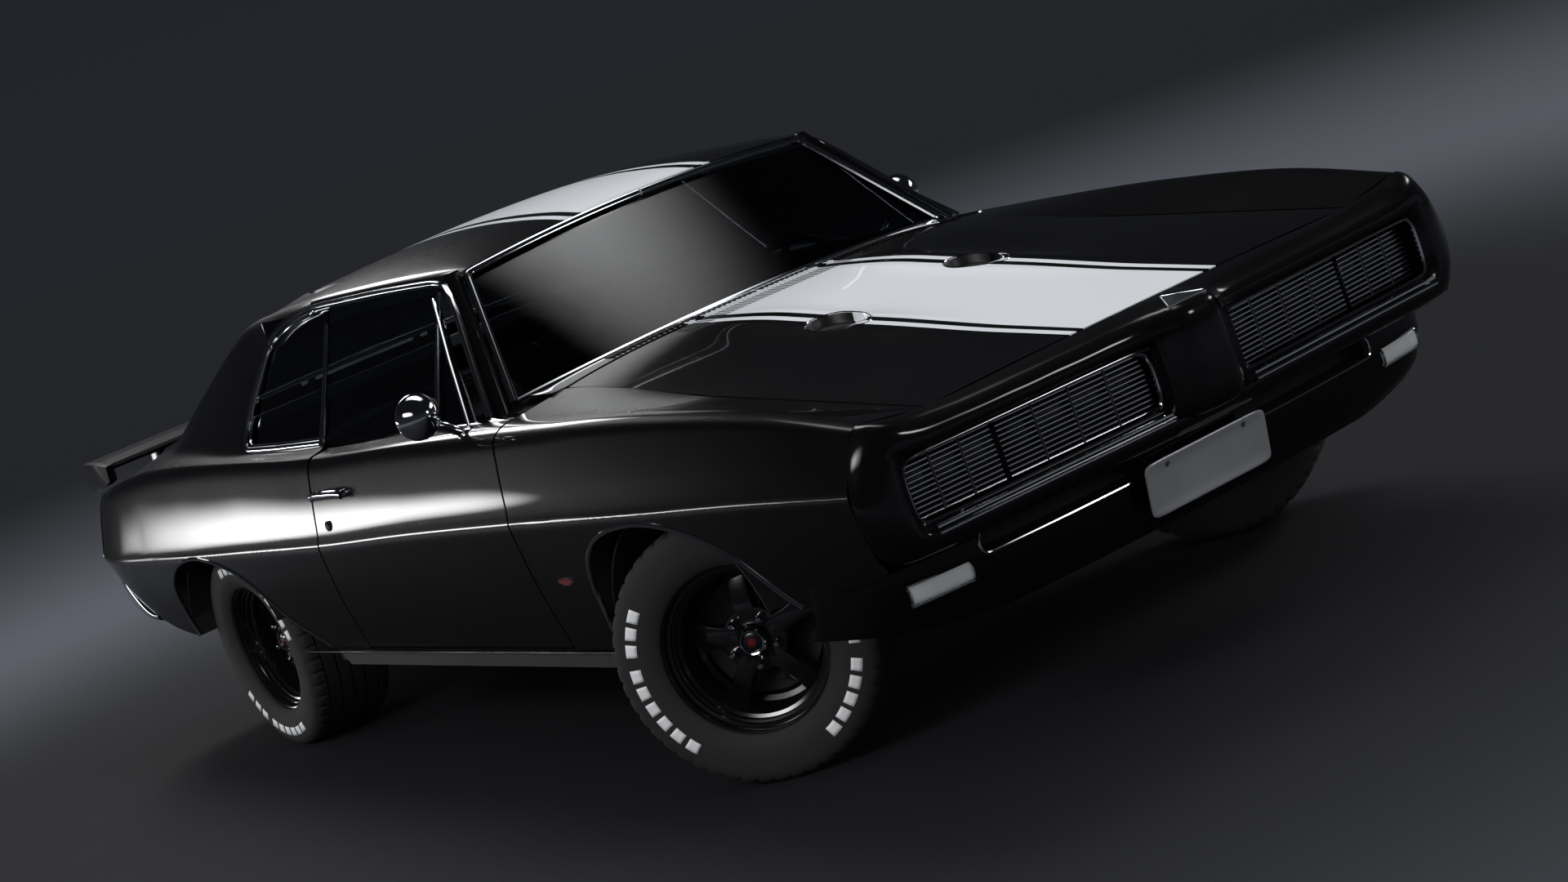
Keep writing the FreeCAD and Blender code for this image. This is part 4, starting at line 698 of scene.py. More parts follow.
# Pressed aluminium plate: satin, faintly brushed.
PLATE_METAL = Finish("pressed_plate_aluminium", "#a9acb0", 0.35, metallic=0.6, grain_mm=1.2,
                     grain_height_mm=0.02, mottle=0.08, wear=0.08)
# Grained vinyl: heat-moulded trim with a leather-like grain.
VINYL = Finish("grained_black_vinyl", "#17181a", 0.5, grain_mm=2.2, grain_height_mm=0.25,
               mottle=0.12, wear=0.08, sheen=0.1)
SEAT_VINYL = Finish("seat_vinyl", "#141517", 0.42, grain_mm=2.6, grain_height_mm=0.3,
                    mottle=0.12, wear=0.1, sheen=0.15)
# Looped carpet: short dark pile.
CARPET = Finish("looped_carpet", "#151516", 0.95, grain_mm=3.0, grain_height_mm=1.4, mottle=0.3,
                wear=0.04, sheen=0.4)
HEADLINER = Finish("perforated_headliner", "#1d1e20", 0.8, grain_mm=4.0, grain_height_mm=0.3,
                   mottle=0.1, wear=0.06)
WHEEL_PLASTIC = Finish("hard_wheel_plastic", "#101012", 0.28, grain_mm=1.0, grain_height_mm=0.02,
                       mottle=0.1, wear=0.06)
DIAL_WHITE = Finish("printed_dial_face", "#c9ccd0", 0.5, grain_mm=1.0, grain_height_mm=0.01,
                    mottle=0.05)


# ---------------------------------------------------------------- the body's form
class BodyLines:
    """The painted body as smooth sections across the car, one for each place along it.

    A place on the skin is (ahead, share): share 0 is the sill, CREST the shoulder line, EDGE the
    hood's, belt's or deck's edge, and beyond that the sail panel up to the rear window.
    """

    CREASE, LEDGE, CREST, EDGE = 0.40, 0.46, 0.74, 1.0
    MID, RIDGE, INNER, PANE = 1.3, 1.55, 1.7, 1.85
    KEYS = (0.0, 0.2, CREASE, LEDGE, 0.6, CREST, EDGE)
    BENDS = ((0.5, 0.5), (0.16, 0.3), (0.5, 0.4), (0.5, 0.5), (0.35, 0.25))
    SAIL_KEYS = KEYS + (MID, RIDGE, INNER, PANE)
    SAIL_BENDS = BENDS + ((0.35, 0.3), (0.5, 0.5), (0.22, 0.45), (0.4, 0.3))
    LEDGE_IN, LEDGE_UP = 9, 22
    # Columns: ahead; how far in and how high the sill, crease and crest are.
    SIDE = [
        (862, 78, 465, 34, 706, 100, 844), (520, 46, 440, 14, 716, 82, 902),
        (60, 41, 355, 2, 716, 66, 936), (-655, 48, 355, 0, 715, 53, 945),
        (-1250, 52, 355, 0, 708, 53, 942), (-1855, 56, 355, 2, 692, 56, 936),
        (-2425, 56, 355, 4, 688, 60, 950), (-2905, 54, 350, 6, 684, 68, 958),
        (-3325, 60, 410, 18, 680, 84, 945), (-3715, 84, 520, 46, 676, 114, 905),
        (-3935, 131, 600, 96, 676, 166, 880),
    ]
    # Columns: ahead, how far in the hood's, belt's or deck's edge is, its height, centre height.
    TOP = [
        (862, 292, 812, 819), (520, 292, 848, 862), (60, 292, 895, 915), (-655, 292, 972, 1000),
        (-1250, 156, 956, 1000), (-1855, 156, 950, 1000), (-2425, 186, 975, 1000),
        (-2905, 246, 1020, 1045), (-3325, 292, 1004, 1022), (-3715, 292, 935, 950),
        (-3935, 292, 896, 910),
    ]
    # Columns: ahead; how far in and how high the sail panel's base, middle, ridge, the inner side
    # of the ridge and the rear window's edge are.
    SAIL = [
        (-1800, 128, 953, 216, 1140, 343, 1338, 400, 1348, 470, 1360),
        (-2050, 128, 953, 218, 1140, 343, 1338, 400, 1348, 470, 1360),
        (-2300, 126, 960, 216, 1140, 347, 1329, 400, 1336, 470, 1344),
        (-2480, 126, 966, 218, 1138, 353, 1319, 400, 1323, 470, 1329),
        (-2550, 129, 968, 220, 1134, 351, 1314, 394, 1316, 400, 1286),
        (-2610, 132, 970, 222, 1128, 346, 1305, 384, 1304, 384, 1254),
        (-2750, 144, 976, 224, 1106, 322, 1252, 362, 1248, 364, 1196),
        (-2900, 156, 980, 222, 1070, 296, 1180, 336, 1174, 342, 1134),
        (-3060, 166, 982, 218, 1034, 270, 1100, 310, 1092, 322, 1068),
        (-3194, 172, 980, 214, 996, 252, 1034, 290, 1026, 306, 1012),
        (-3325, 178, 972, 219, 983, 250, 992, 275, 999, 292, 1004),
        (-3715, 194, 918, 230, 924, 254, 928, 275, 932, 292, 935),
        (-3935, 223, 887, 248, 890, 265, 892, 280, 894, 292, 896),
    ]
    # Columns: ahead, how far in the roof's rail is, its height, centre height.
    ROOF = [(-1100, 360, 1314, 1348), (-1135, 358, 1318, 1354), (-1420, 344, 1334, 1384),
            (-1760, 340, 1340, 1395), (-2140, 342, 1338, 1380), (-2480, 354, 1318, 1344),
            (-2560, 358, 1306, 1328)]
    # Wheel arches round their wheel's centre. Columns: degrees up from straight ahead, how far
    # beyond the tread.
    FRONT_ARCH = [(207, 65), (180, 46), (158, 49), (142, 96), (125, 84), (99, 43), (73, 42),
                  (45, 96), (30, 131), (14, 195), (2.6, 371), (-11.8, 549)]
    REAR_ARCH = [(200, -8), (185, 2), (172, 20), (158, 48), (142, 88), (125, 66), (99, 30),
                 (73, 30), (45, 84), (30, 126), (14, 195), (2.6, 371), (-4.0, 440)]
    REAR_AXLE, TYRE_RADIUS, SHARE_MM = -2845, 330, 1000

    def __init__(self, layout: Layout) -> None:
        """Keep the layout that places the sections along the car."""
        self.layout = layout
        self.half = layout.half_width * 1000

    def skin(self, ahead: np.ndarray, share: np.ndarray, sail: bool = False) -> np.ndarray:
        """Points (ahead, y, z) in millimetres of the left side's skin."""
        ahead, share = np.broadcast_arrays(np.asarray(ahead, float), np.asarray(share, float))
        shape, ahead, share = ahead.shape, ahead.ravel(), share.ravel()
        s = smooth_columns(self.SIDE, ahead)
        sill, crease, crest = s[:, 0:2], s[:, 2:4], s[:, 4:6]
        belly = np.stack([sill[:, 0] + (crease[:, 0] - sill[:, 0]) * 0.72,
                          (sill[:, 1] + crease[:, 1]) / 2], 1)
        ledge = crease + [self.LEDGE_IN, self.LEDGE_UP]
        shoulder = np.stack([crest[:, 0] + (crease[:, 0] - crest[:, 0]) * 0.5,
                             (crease[:, 1] + crest[:, 1]) / 2], 1)
        top = smooth_columns(self.TOP, ahead)[:, 0:2]
        corners = [sill, belly, crease, ledge, shoulder, crest, top]
        if sail:
            more = smooth_columns(self.SAIL, ahead)
            corners = corners[:-1] + [more[:, k:k + 2] for k in range(0, 10, 2)]
        keys, bends = (self.SAIL_KEYS, self.SAIL_BENDS) if sail else (self.KEYS, self.BENDS)
        line = rounded_line(np.array(corners), keys, bends, share)
        return np.stack([ahead, self.half - line[:, 0], line[:, 1]], 1).reshape(*shape, 3)

    def lid(self, ahead: np.ndarray, y: np.ndarray, half: float = 648) -> np.ndarray:
        """Heights in millimetres of the hood or deck at each (ahead, y)."""
        ahead, y = np.broadcast_arrays(np.asarray(ahead, float), np.asarray(y, float))
        rows = smooth_columns(self.TOP, ahead.ravel())
        edge, centre = rows[:, 1].reshape(ahead.shape), rows[:, 2].reshape(ahead.shape)
        out = np.clip(np.abs(y) / half, 0, 1)
        crown = 1 - 0.42 * out ** 2 - 0.58 * out ** 4
        return edge + (centre - edge) * crown

    def roof(self, ahead: np.ndarray, y: np.ndarray) -> np.ndarray:
        """Heights in millimetres of the roof inside its rails at each (ahead, y)."""
        ahead, y = np.broadcast_arrays(np.asarray(ahead, float), np.asarray(y, float))
        rows = smooth_columns(self.ROOF, ahead.ravel())
        half = (self.half - rows[:, 0]).reshape(ahead.shape)
        rail, centre = rows[:, 1].reshape(ahead.shape), rows[:, 2].reshape(ahead.shape)
        out = np.clip(np.abs(y) / half, 0, 1)
        return rail + (centre - rail) * (1 - 0.75 * out ** 2 - 0.25 * out ** 6)

    def world(self, points: np.ndarray) -> np.ndarray:
        """Points (ahead, y, z) in millimetres as places in metres."""
        points = np.asarray(points, float) / 1000
        return points + np.array([self.layout.front_axle, 0, 0])

    def along(self, line: list, sail: bool = False) -> np.ndarray:
        """Points (ahead, y, z) in millimetres along a line of (ahead, share) points."""
        return self.skin(*np.transpose(line), sail)

    def spot(self, ahead: float, z: float, out: float = 0) -> Vector:
        """The place in metres that stands out from the skin at a height."""
        return Vector(self.world(self.skin(ahead, self.share_at_height(ahead, z)) + [0, out, 0]))

    def share_at_height(self, ahead: float, z: float, sail: bool = False, low: float = 0.0,
                        high: float | None = None) -> float:
        """The share at which the skin passes a height."""
        high = high or (self.RIDGE if sail else self.CREST)
        shares = np.linspace(low, high, 240)
        return float(np.interp(z, self.skin(ahead, shares, sail)[:, 2], shares))

    def arch(self, table: list, axle: float, sail: bool = False) -> list:
        """A wheel arch as (ahead, share) points, from its rear foot to its front foot."""
        line = soft_line([(axle + (self.TYRE_RADIUS + beyond) * math.cos(math.radians(angle)),
                           self.TYRE_RADIUS + (self.TYRE_RADIUS + beyond)
                           * math.sin(math.radians(angle))) for angle, beyond in table], 0.5, 5)
        out = []
        for ahead, z in line:
            sill = smooth_columns(self.SIDE, ahead)[0][1]
            if z >= sill:
                out.append((ahead, self.share_at_height(ahead, z, sail)))
        return out

    def paired(self, low: list, high: list, columns: int) -> tuple[np.ndarray, np.ndarray]:
        """Points along a lower and an upper line whose runs face each other.

        Args:
            low: Runs of the lower line, each a list of (ahead, share) points.
            high: As many runs of the upper line; run k of each faces run k of the other.
            columns: Points for each line, in all.

        Returns:
            As many (ahead, share) points of each line.
        """
        lengths = [max(self.run_length(a), self.run_length(b)) for a, b in zip(low, high)]
        lines = []
        for runs in (low, high):
            parts = []
            for run, length in zip(runs, lengths):
                count = max(3, round(columns * length / sum(lengths)))
                parts.append(self.even(run, count)[:-1])
            lines.append(np.vstack(parts + [[runs[-1][-1]]]))
        return lines[0], lines[1]

    def patch(self, low: np.ndarray, high: np.ndarray, rows: int, sail: bool = False) -> np.ndarray:
        """A patch of skin between two lines of (ahead, share) points, as places in metres."""
        mix = np.linspace(0, 1, rows)[None, :, None]
        flat = low[:, None, :] * (1 - mix) + high[:, None, :] * mix
        return self.world(self.skin(flat[..., 0], flat[..., 1], sail))

    def four_sided(self, low: np.ndarray, high: np.ndarray, left: list, right: list,
                   rows: int) -> np.ndarray:
        """A patch of skin between four lines of (ahead, share) points, as places in metres."""
        sides = [self.even(line, rows) for line in (left, right)]
        u = np.linspace(0, 1, len(low))[:, None, None]
        v = np.linspace(0, 1, rows)[None, :, None]
        low, high = np.asarray(low, float)[:, None], np.asarray(high, float)[:, None]
        flat = low * (1 - v) + high * v + sides[0][None] * (1 - u) + sides[1][None] * u
        flat -= ((1 - u) * (1 - v) * low[0] + u * (1 - v) * low[-1] + (1 - u) * v * high[0]
                 + u * v * high[-1])
        return self.world(self.skin(flat[..., 0], flat[..., 1], True))

    def even(self, line: list, count: int) -> np.ndarray:
        """(Ahead, share) points evenly spaced along a line, with a share of 1 taken as a metre."""
        return spread([(a, s * self.SHARE_MM) for a, s in line], count) / [1, self.SHARE_MM]

    def run_length(self, run: list) -> float:
        """How long a run of (ahead, share) points is, with a share of 1 taken as a metre."""
        line = np.array([(a, s * self.SHARE_MM) for a, s in run])
        return float(np.linalg.norm(np.diff(line, axis=0), axis=1).sum())


@dataclass
class Panels:
    """Wings, quarters with their sail panels, doors and roof."""

    lines: BodyLines
    skin_m: float = 0.003
    door_front: tuple[float, float] = (-628, -662)
    door_rear: tuple[float, float] = (-1886, -1834)
    gap: float = 6
    belt_in: float = 128
    door_inner_y: float = 784
    lip_radius: float = 0.0065

    def seam(self, ends: tuple[float, float], share: float, shift: float) -> float:
        """How far ahead a door seam is at a share of the side."""
        return ends[0] + (ends[1] - ends[0]) * min(share / self.lines.CREST, 1.15) + shift

    def belt_share(self, ahead: float) -> float:
        """The share at which the skin reaches the belt beside a door's glass."""
        shares = np.linspace(self.lines.CREST, self.lines.EDGE, 40)
        inward = self.lines.half - self.lines.skin(ahead, shares)[:, 1]
        return float(np.interp(self.belt_in, inward, shares))

    def lip(self, name: str, arch: list, sail: bool) -> bpy.types.Object:
        """The bright bead round a wheel arch."""
        points = self.lines.world(self.lines.along(arch, sail))
        points = spread(points + np.array([0, -0.001, 0]), 90)
        return swept(name, points, tube_section(self.lip_radius, 8), CHROME, up=OUT)

    def liner(self, name: str, arch: list, sail: bool, reach: float) -> bpy.types.Object:
        """The dark return from a wheel arch's edge in towards the wheelhouse."""
        edge = spread(self.lines.along(arch, sail), 80)
        rows = [self.lines.world(np.stack([edge[:, 0], edge[:, 1] - step, edge[:, 2]], 1))
                for step in (2, 8, reach * 0.5, reach)]
        piece = sheet(name, rows, UNDERSEAL)
        modified(piece, "SOLIDIFY", thickness=0.003, offset=0.0)
        return smoothed(piece, 60)

    def panel(self, name: str, grids: list) -> bpy.types.Object:
        """A left panel of even thickness from grids of places that share their edges."""
        parts = [facing(sheet(f"{name}_{k}", grid, ENAMEL), Vector((0, 1, 0.2)))
                 for k, grid in enumerate(grids)]
        piece = tidied(joined(name, parts), turn_out=False, merge=1e-4)
        modified(piece, "SOLIDIFY", thickness=self.skin_m * 2, offset=-1.0, use_even_offset=False)
        return smoothed(piece, 40)

    def wings(self) -> None:
        """The front wings and their arch lips."""
        lines = self.lines
        arch = lines.arch(lines.FRONT_ARCH, 0)
        seam_x = 856
        rear_low, edge = self.seam(self.door_front, 0, self.gap), lines.EDGE
        back = self.seam(self.door_front, edge, self.gap)
        front_foot = arch[-1]
        cuts = [i for i, (a, _) in enumerate(arch) if a > 330][0]
        low = [[(rear_low, 0), (arch[0][0], arch[0][1])], arch[:cuts + 1], arch[cuts:],
               [front_foot, (seam_x, lines.share_at_height(seam_x, 524))]]
        crown_from, crown_to, slope_to = -470, 250, 700
        high = [[(back, edge), (crown_from, edge)], [(crown_from, edge), (crown_to, edge)],
                [(crown_to, edge), (slope_to, edge)], [(slope_to, edge), (seam_x, edge)]]
        wing = self.panel("front_wings", [lines.patch(*lines.paired(low, high, 150), 72)])
        placed_pair(wing, "front_fenders", slot="body_paint")
        lip = both(self.lip("front_arch_lips", arch, False), "front_arch_lips")
        placed(lip, "body", slot="chrome_trim")
        liner = both(self.liner("front_arch_returns", arch, False, 70), "front_arch_returns")
        placed(liner, "body", slot="chassis_black")

    def window_edge(self) -> list:
        """The quarter window's sill, rear edge and top, each a line of (ahead, share) points."""
        lines = self.lines
        rows = soft_line([(-2180, 954), (-2320, 958), (-2412, 974), (-2430, 1030), (-2402, 1110),
                          (-2366, 1200), (-2330, 1244), (-2250, 1278), (-2150, 1298),
                          (-2050, 1308)], 0.42, 6)
        line = [(a, max(lines.share_at_height(a, z, True, 0.9), 0.99)) for a, z in rows]
        corner = next(i for i, (a, z) in enumerate(rows) if z > 1000)
        top = next(i for i, (a, z) in enumerate(rows) if z > 1262)
        return line[:corner + 1], line[corner:top + 1], line[top:]

    def quarters(self) -> None:
        """The rear quarters, each in one piece with its sail panel."""
        lines = self.lines
        arch = lines.arch(lines.REAR_ARCH, lines.REAR_AXLE, True)[::-1]
        top, tail_x = lines.PANE, -3934
        sill, rear, head = self.window_edge()
        foot = (self.seam(self.door_rear, 0, -self.gap), 0.0)
        start = (self.seam(self.door_rear, 0.98, -self.gap), 0.985)
        a, c = (min(range(len(arch)), key=lambda i: abs(arch[i][0] - at)) for at in (-2400, -3060))
        corner, shoulder = rear[0], rear[-1]
        base = corner[1]
        low, belt = lines.paired([[foot, arch[0]], arch[:a + 1], arch[a:c + 1], arch[c:],
                                  [arch[-1], (-3400, 0.0), (tail_x, 0.0)]],
                                 [[start, (-2060, 0.99)], [(-2060, 0.99), *sill],
                                  [corner, (-3060, base)], [(-3060, base), (-3330, base)],
                                  [(-3330, base), (tail_x, base)]], 190)
        split = int(np.argmin(np.abs(belt[:, 0] - corner[0])
                              + 1e3 * np.abs(belt[:, 1] - corner[1])))
        ahead = belt[split:]
        share = (ahead[:, 0] - corner[0]) / (tail_x - corner[0])
        waist = np.stack([shoulder[0] + (tail_x - shoulder[0]) * share,
                          np.full(len(share), shoulder[1])], 1)
        above = lines.even(head, 24)
        under = np.vstack([above[::-1][:-1], waist])
        crown_front = np.linspace(-2050, -2420, 23, endpoint=False)
        crown = np.concatenate([crown_front, np.linspace(-2420, tail_x, len(waist))])
        over = np.stack([crown, np.full(len(crown), top)], 1)
        grids = [lines.patch(low, belt, 64, True),
                 lines.four_sided(ahead, waist, rear, [(tail_x, base), (tail_x, shoulder[1])], 36),
                 lines.patch(under, over, 22, True)]
        quarter = self.panel("rear_quarters", grids)
        placed_pair(quarter, "quarter_panels", slot="body_paint")
        lip = both(self.lip("rear_arch_lips", arch, True), "rear_arch_lips")
        placed(lip, "body", slot="chrome_trim")
        liner = both(self.liner("rear_arch_returns", arch, True, 120), "rear_arch_returns")
        placed(liner, "body", slot="chassis_black")
        edge = [(-1862, 0.99), *sill, *rear[1:]]
        surround = lines.world(lines.along(edge, True))
        surround = spread(surround + np.array([0, 0.002, 0.0]), 80)
        trim = swept("quarter_window_surrounds", surround, flat_section(0.016, 0.007), CHROME,
                     up=GLASS_OUT)
        inner = swept("inner_surround", surround + np.array([0.016, -0.012, 0.010]),
                      flat_section(0.007, 0.006), CHROME, up=GLASS_OUT)
        trim = joined("quarter_window_surrounds", [trim, inner])
        placed_pair(trim, slot="chrome_trim")

    def doors(self) -> None:
        """Both doors: a shell with an outer skin, a belt and a trimmed inner face."""
        lines = self.lines
        columns, rows, foot, top = 46, 60, 0.012, 0.985
        shares = np.linspace(foot, top, rows)
        front, rear = (np.array([self.seam(ends, share, 0) for share in shares])
                       for ends in (self.door_front, self.door_rear))
        ahead = front + (rear - front) * np.linspace(0, 1, columns)[:, None]
        # Above the crest, every column is stretched so that it ends at the belt.
        tops = np.array([self.belt_share(a) for a in ahead[:, -1]])
        crest = lines.CREST
        reach = (tops[:, None] - crest) / (top - crest)
        share = np.where(shares > crest, crest + (shares - crest) * reach, shares)
        skin = lines.skin(ahead, share)
        loops = []
        for i, column in enumerate(skin):
            share = i / (columns - 1)
            taper = 36 * max(0.0, share - 0.8) / 0.2
            x_top, x_low = column[-1, 0] + taper, column[0, 0] + taper
            inner = [(x_top, lines.half - 156, 951), (x_top, lines.half - 160, 940),
                     (x_top, self.door_inner_y + 2, 928), (x_top, self.door_inner_y, 880),
                     (x_low, self.door_inner_y - 2, 620), (x_low, self.door_inner_y, 400),
                     (x_low, self.door_inner_y + 4, 372)]
            loops.append(np.vstack([column, inner]))
        shell = solid("door_left_shell", lines.world(loops), ENAMEL)
        shell.data.materials.append(VINYL.material())
        trim_from, upright = (self.door_inner_y + 6) / 1000, 0.8
        for face in shell.data.polygons:
            if face.center.y < trim_from and abs(face.normal.y) > upright:
                face.material_index = 1
        for side in Side:
            piece = shell if side is Side.LEFT else across(shell, "door_right_shell")
            placed(piece, f"door_{side.label}", f"door_{side.label}", slot="body_paint")

    def roof(self) -> None:
        """The roof skin with its lining, its drip rails and the windscreen pillars."""
        lines = self.lines
        rows = []
        front, split, rear, bow, bowed = -1112, -2050, -2546, 26, 300
        for ahead in np.linspace(front, split, 44):
            rail_in = smooth_columns(lines.ROOF, ahead)[0][0]
            half = lines.half - rail_in
            ys = np.concatenate([[half + 16, half + 9], np.linspace(half, -half, 61),
                                 [-half - 9, -half - 16]])
            xs = ahead + (1 - (ys / half) ** 2) * max(0, (ahead - (front - bowed)) / bowed) * bow
            zs = lines.roof(xs, np.clip(ys, -half, half))
            zs[:2] -= [24, 9]
            zs[-2:] -= [9, 24]
            rows.append(np.stack([xs, ys, zs], 1))
        top = sheet("roof_front", lines.world(rows), STRIPED)
        rows = []
        for ahead in np.linspace(split, rear, 26):
            half = lines.half - smooth_columns(lines.SAIL, ahead)[0][8] + 1
            ys = np.linspace(half, -half, 61)
            xs = np.full_like(ys, ahead)
            rows.append(np.stack([xs, ys, lines.roof(xs, ys)], 1))
        back = sheet("roof_back", lines.world(rows), STRIPED)
        roof = joined("roof_skin", [top, back])
        tidied(roof, turn_out=False)
        facing(roof, UP)
        roof.data.materials.append(HEADLINER.material())
        modified(roof, "SOLIDIFY", thickness=0.02, offset=-1.0, material_offset=1)
        placed(smoothed(roof, 40), "body", "roof", slot="body_paint")
        self.drip_rails()
        self.pillars()

    def drip_rails(self) -> None:
        """The bright drip rails over the side windows."""
        lines = self.lines
        pillar = [(-838, 158, 962), (-990, 242, 1134), (-1130, 322, 1296)]
        line = [(a, *(smooth_columns(lines.ROOF, a)[0][:2] + [-20, -18]))
                for a in np.linspace(-1230, -2020, 16)]
        rail = [(a, lines.half - b, z) for a, b, z in pillar + line]
        _, rear, head = self.window_edge()
        edge = head[::-1] + rear[::-1][:4]
        tail = lines.along(edge, True)
        points = soft_line(rail + [tuple(p) for p in tail + [0, 5, 4]], 0.4, 4)
        path = spread(lines.world(np.array(points)), 120)
        strip = swept("drip_rails", path, flat_section(0.013, 0.012), CHROME,
                      up=Vector((0, 0.9, 0.3)))
        under = swept("under_rail", path + np.array([0, -0.006, -0.014]),
                      flat_section(0.006, 0.010), CHROME, up=Vector((0, 0.9, 0.3)))
        placed_pair(joined("drip_rails", [strip, under]), slot="chrome_trim")

    def pillars(self) -> None:
        """The windscreen pillars, in body colour with a bright outer edge."""
        lines = self.lines
        foot = [(-800, 186, 950), (-872, 172, 950), (-884, 206, 950), (-822, 222, 950)]
        head = [(-1122, 346, 1322), (-1186, 334, 1322), (-1200, 356, 1322), (-1140, 372, 1322)]
        rows = []
        for share in np.linspace(0, 1, 14):
            corners = [np.array(a, float) * (1 - share) + np.array(b, float) * share
                       for a, b in zip(foot, head)]
            loop = soft_line(corners + [corners[0]], 0.3, 4)
            rows.append([(x, lines.half - inward, z) for x, inward, z in loop[:-1]])
        pillar = solid("windscreen_pillars", lines.world(rows), ENAMEL)
        placed_pair(pillar, slot="body_paint")

    def build(self) -> None:
        """All of the fixed panels and the doors."""
        for step in (self.wings, self.quarters, self.doors, self.roof):
            step()


@dataclass
class Lids:
    """Hood, cowl top and boot lid."""

    lines: BodyLines
    half: float = 648
    hood_front: float = 855
    hood_rear: float = -652
    deck_front: float = -3192
    deck_rear: float = -3926
    scoop_long: float = 112
    scoop_wide: float = 62
    scoop_out: float = 224
    scoop_drop: float = 34
    narrowing: float = 0.25

    def ridge(self, ahead: np.ndarray, y: np.ndarray) -> np.ndarray:
        """How far the hood's twin ridges, which carry the air scoops, stand up."""
        fade = eased(np.clip((ahead + 650) / 420, 0, 1) * np.clip((620 - ahead) / 560, 0, 1))
        across_ridge = np.exp(-((np.abs(y) - self.scoop_out) / 70) ** 2)
        middle = np.exp(-(np.abs(y) / 300) ** 6) * 0.5
        return 13 * fade * np.clip(across_ridge + middle, 0, 1)

    def reach(self, ahead: np.ndarray, y: np.ndarray) -> np.ndarray:
        """How far a point is from the middle of an air scoop, 1 at its rim."""
        along = ahead / self.scoop_long
        width = self.scoop_wide * np.clip(1 - self.narrowing * along, 0.3, 1.4)
        return np.sqrt(along ** 2 + ((np.abs(y) - self.scoop_out) / width) ** 2)

    def lid(self, name: str, front: float, rear: float, scooped: bool) -> bpy.types.Object:
        """A crowned lid of even thickness with its edges turned down.

        Args:
            name: The piece's name.
            front: Where it starts, in millimetres ahead.
            rear: Where it ends.
            scooped: Whether it has the hood's ridges and makes room for the air scoops.

        Returns:
            The piece.
        """
        places = np.linspace(front, rear, 80)
        across_lid = np.linspace(-self.half + 3, self.half - 3, 97)
        if scooped:
            # A finer grid round each scoop, whose inner and outer edges these are.
            low, high = self.scoop_out - 80, self.scoop_out + 80
            fine = np.linspace(-128, 128, 65)
            places = np.sort(np.concatenate([places[np.abs(places) > 132], fine]))[::-1]
            away = np.abs(np.abs(across_lid) - self.scoop_out) > 84
            across_lid = np.sort(np.concatenate([across_lid[away], np.linspace(-high, -low, 50),
                                                 np.linspace(low, high, 50)]))
        across_lid = np.concatenate([[-self.half], across_lid, [self.half]])
        ahead, y = np.broadcast_arrays(places[:, None], across_lid[None, :])
        z = self.lines.lid(ahead, y)
        if scooped:
            z = z + self.ridge(ahead, y) - self.scoop_drop * (self.reach(ahead, y) < 1.0)
        z = z - 4 * (np.abs(y) > self.half - 1)
        piece = pressed(name, self.lines.world(np.stack([ahead, y, z], 2)), STRIPED, UP, 0.010)
        return smoothed(piece, 50)

    def hood(self) -> None:
        """The hood with its twin air scoops."""
        placed(self.lid("hood_skin", self.hood_front, self.hood_rear, True), "hood", "hood",
               slot="body_paint")
        for side in Side:
            self.scoop(f"hood_scoop_{side.label}", side)
        self.vents()

    def vents(self) -> None:
        """The row of narrow vents along the hood's rear edge."""
        slots = []
        for out in [sign * (7 + 14 * k) for k in range(22) for sign in (1, -1)]:
            xs = np.linspace(-556, -640, 7)
            ys = np.full_like(xs, float(out))
            rows = []
            for shift, lift in ((-2.6, -1.0), (-2.6, 0.7), (2.6, 0.7), (2.6, -1.0)):
                z = self.lines.lid(xs, ys + shift) + self.ridge(xs, ys + shift) + lift
                rows.append(np.stack([xs, ys + shift, z], 1))
            slots.append(sheet("vent", self.lines.world(rows), GRILLE_BLACK_AND_PAINTED_SHADE))
        placed(joined("hood_vents", slots), "hood", slot="grille_black")

    def scoop(self, name: str, side: int) -> None:
        """An air scoop: a ramp down to a rear mouth whose dark is painted shade, with a thin bright
        rim.
        """
        angles, rim_row, tucked = turns(120), 33, 1.075
        shares = np.concatenate([np.linspace(0.0, 0.8, 22), np.linspace(0.82, 1.0, 12),
                                 [1.03, 1.07, 1.08]])[:, None]
        along = shares * np.cos(angles)[None, :]
        x = self.scoop_long * along
        width = self.scoop_wide * (1 - self.narrowing * along)
        y = side * (self.scoop_out + width * shares * np.sin(angles)[None, :])
        top = self.lines.lid(x, y) + self.ridge(x, y)
        wall = np.clip((1 - shares) / np.where(along < 0, 0.1, 0.1 + 0.5 * np.abs(along)), 0, 1)
        # Two millimetres deep at the front of the ramp and 26 at the mouth.
        depth = (2 + 24 * np.clip(0.75 - along, 0, 1) ** 1.2) * wall * wall * (3 - 2 * wall)
        lift = np.where(shares < tucked, 0.5, -1.0)
        pan = sheet(name, self.lines.world(np.stack([x, y, top - depth + lift], 2)), STRIPED,
                    round_columns=True)
        pan.data.materials.append(GRILLE_BLACK_AND_PAINTED_SHADE.material())
        # Faces at the rear of the scoop take the black paint: painted shade standing in for the
        # dark of an open mouth, as the pan itself is closed and shallow.
        for face in pan.data.polygons:
            spot = (face.center.x - self.lines.layout.front_axle) * 1000 / self.scoop_long
            out = (abs(face.center.y) * 1000 - self.scoop_out) / self.scoop_wide
            inside = self.reach(spot * self.scoop_long, face.center.y * 1000) < 0.985
            if inside and spot < 0.18 - 0.5 * out ** 2:
                face.material_index = 1
        facing(pan, UP)
        placed(smoothed(pan, 60), "hood", slot="body_paint")
        ring = np.stack([x[rim_row], y[rim_row], top[rim_row] + 0.6], 1)
        rim = swept(f"{name}_rim", self.lines.world(ring), tube_section(0.0016, 6), CHROME,
                    closed=True)
        placed(rim, "hood", slot="chrome_trim")

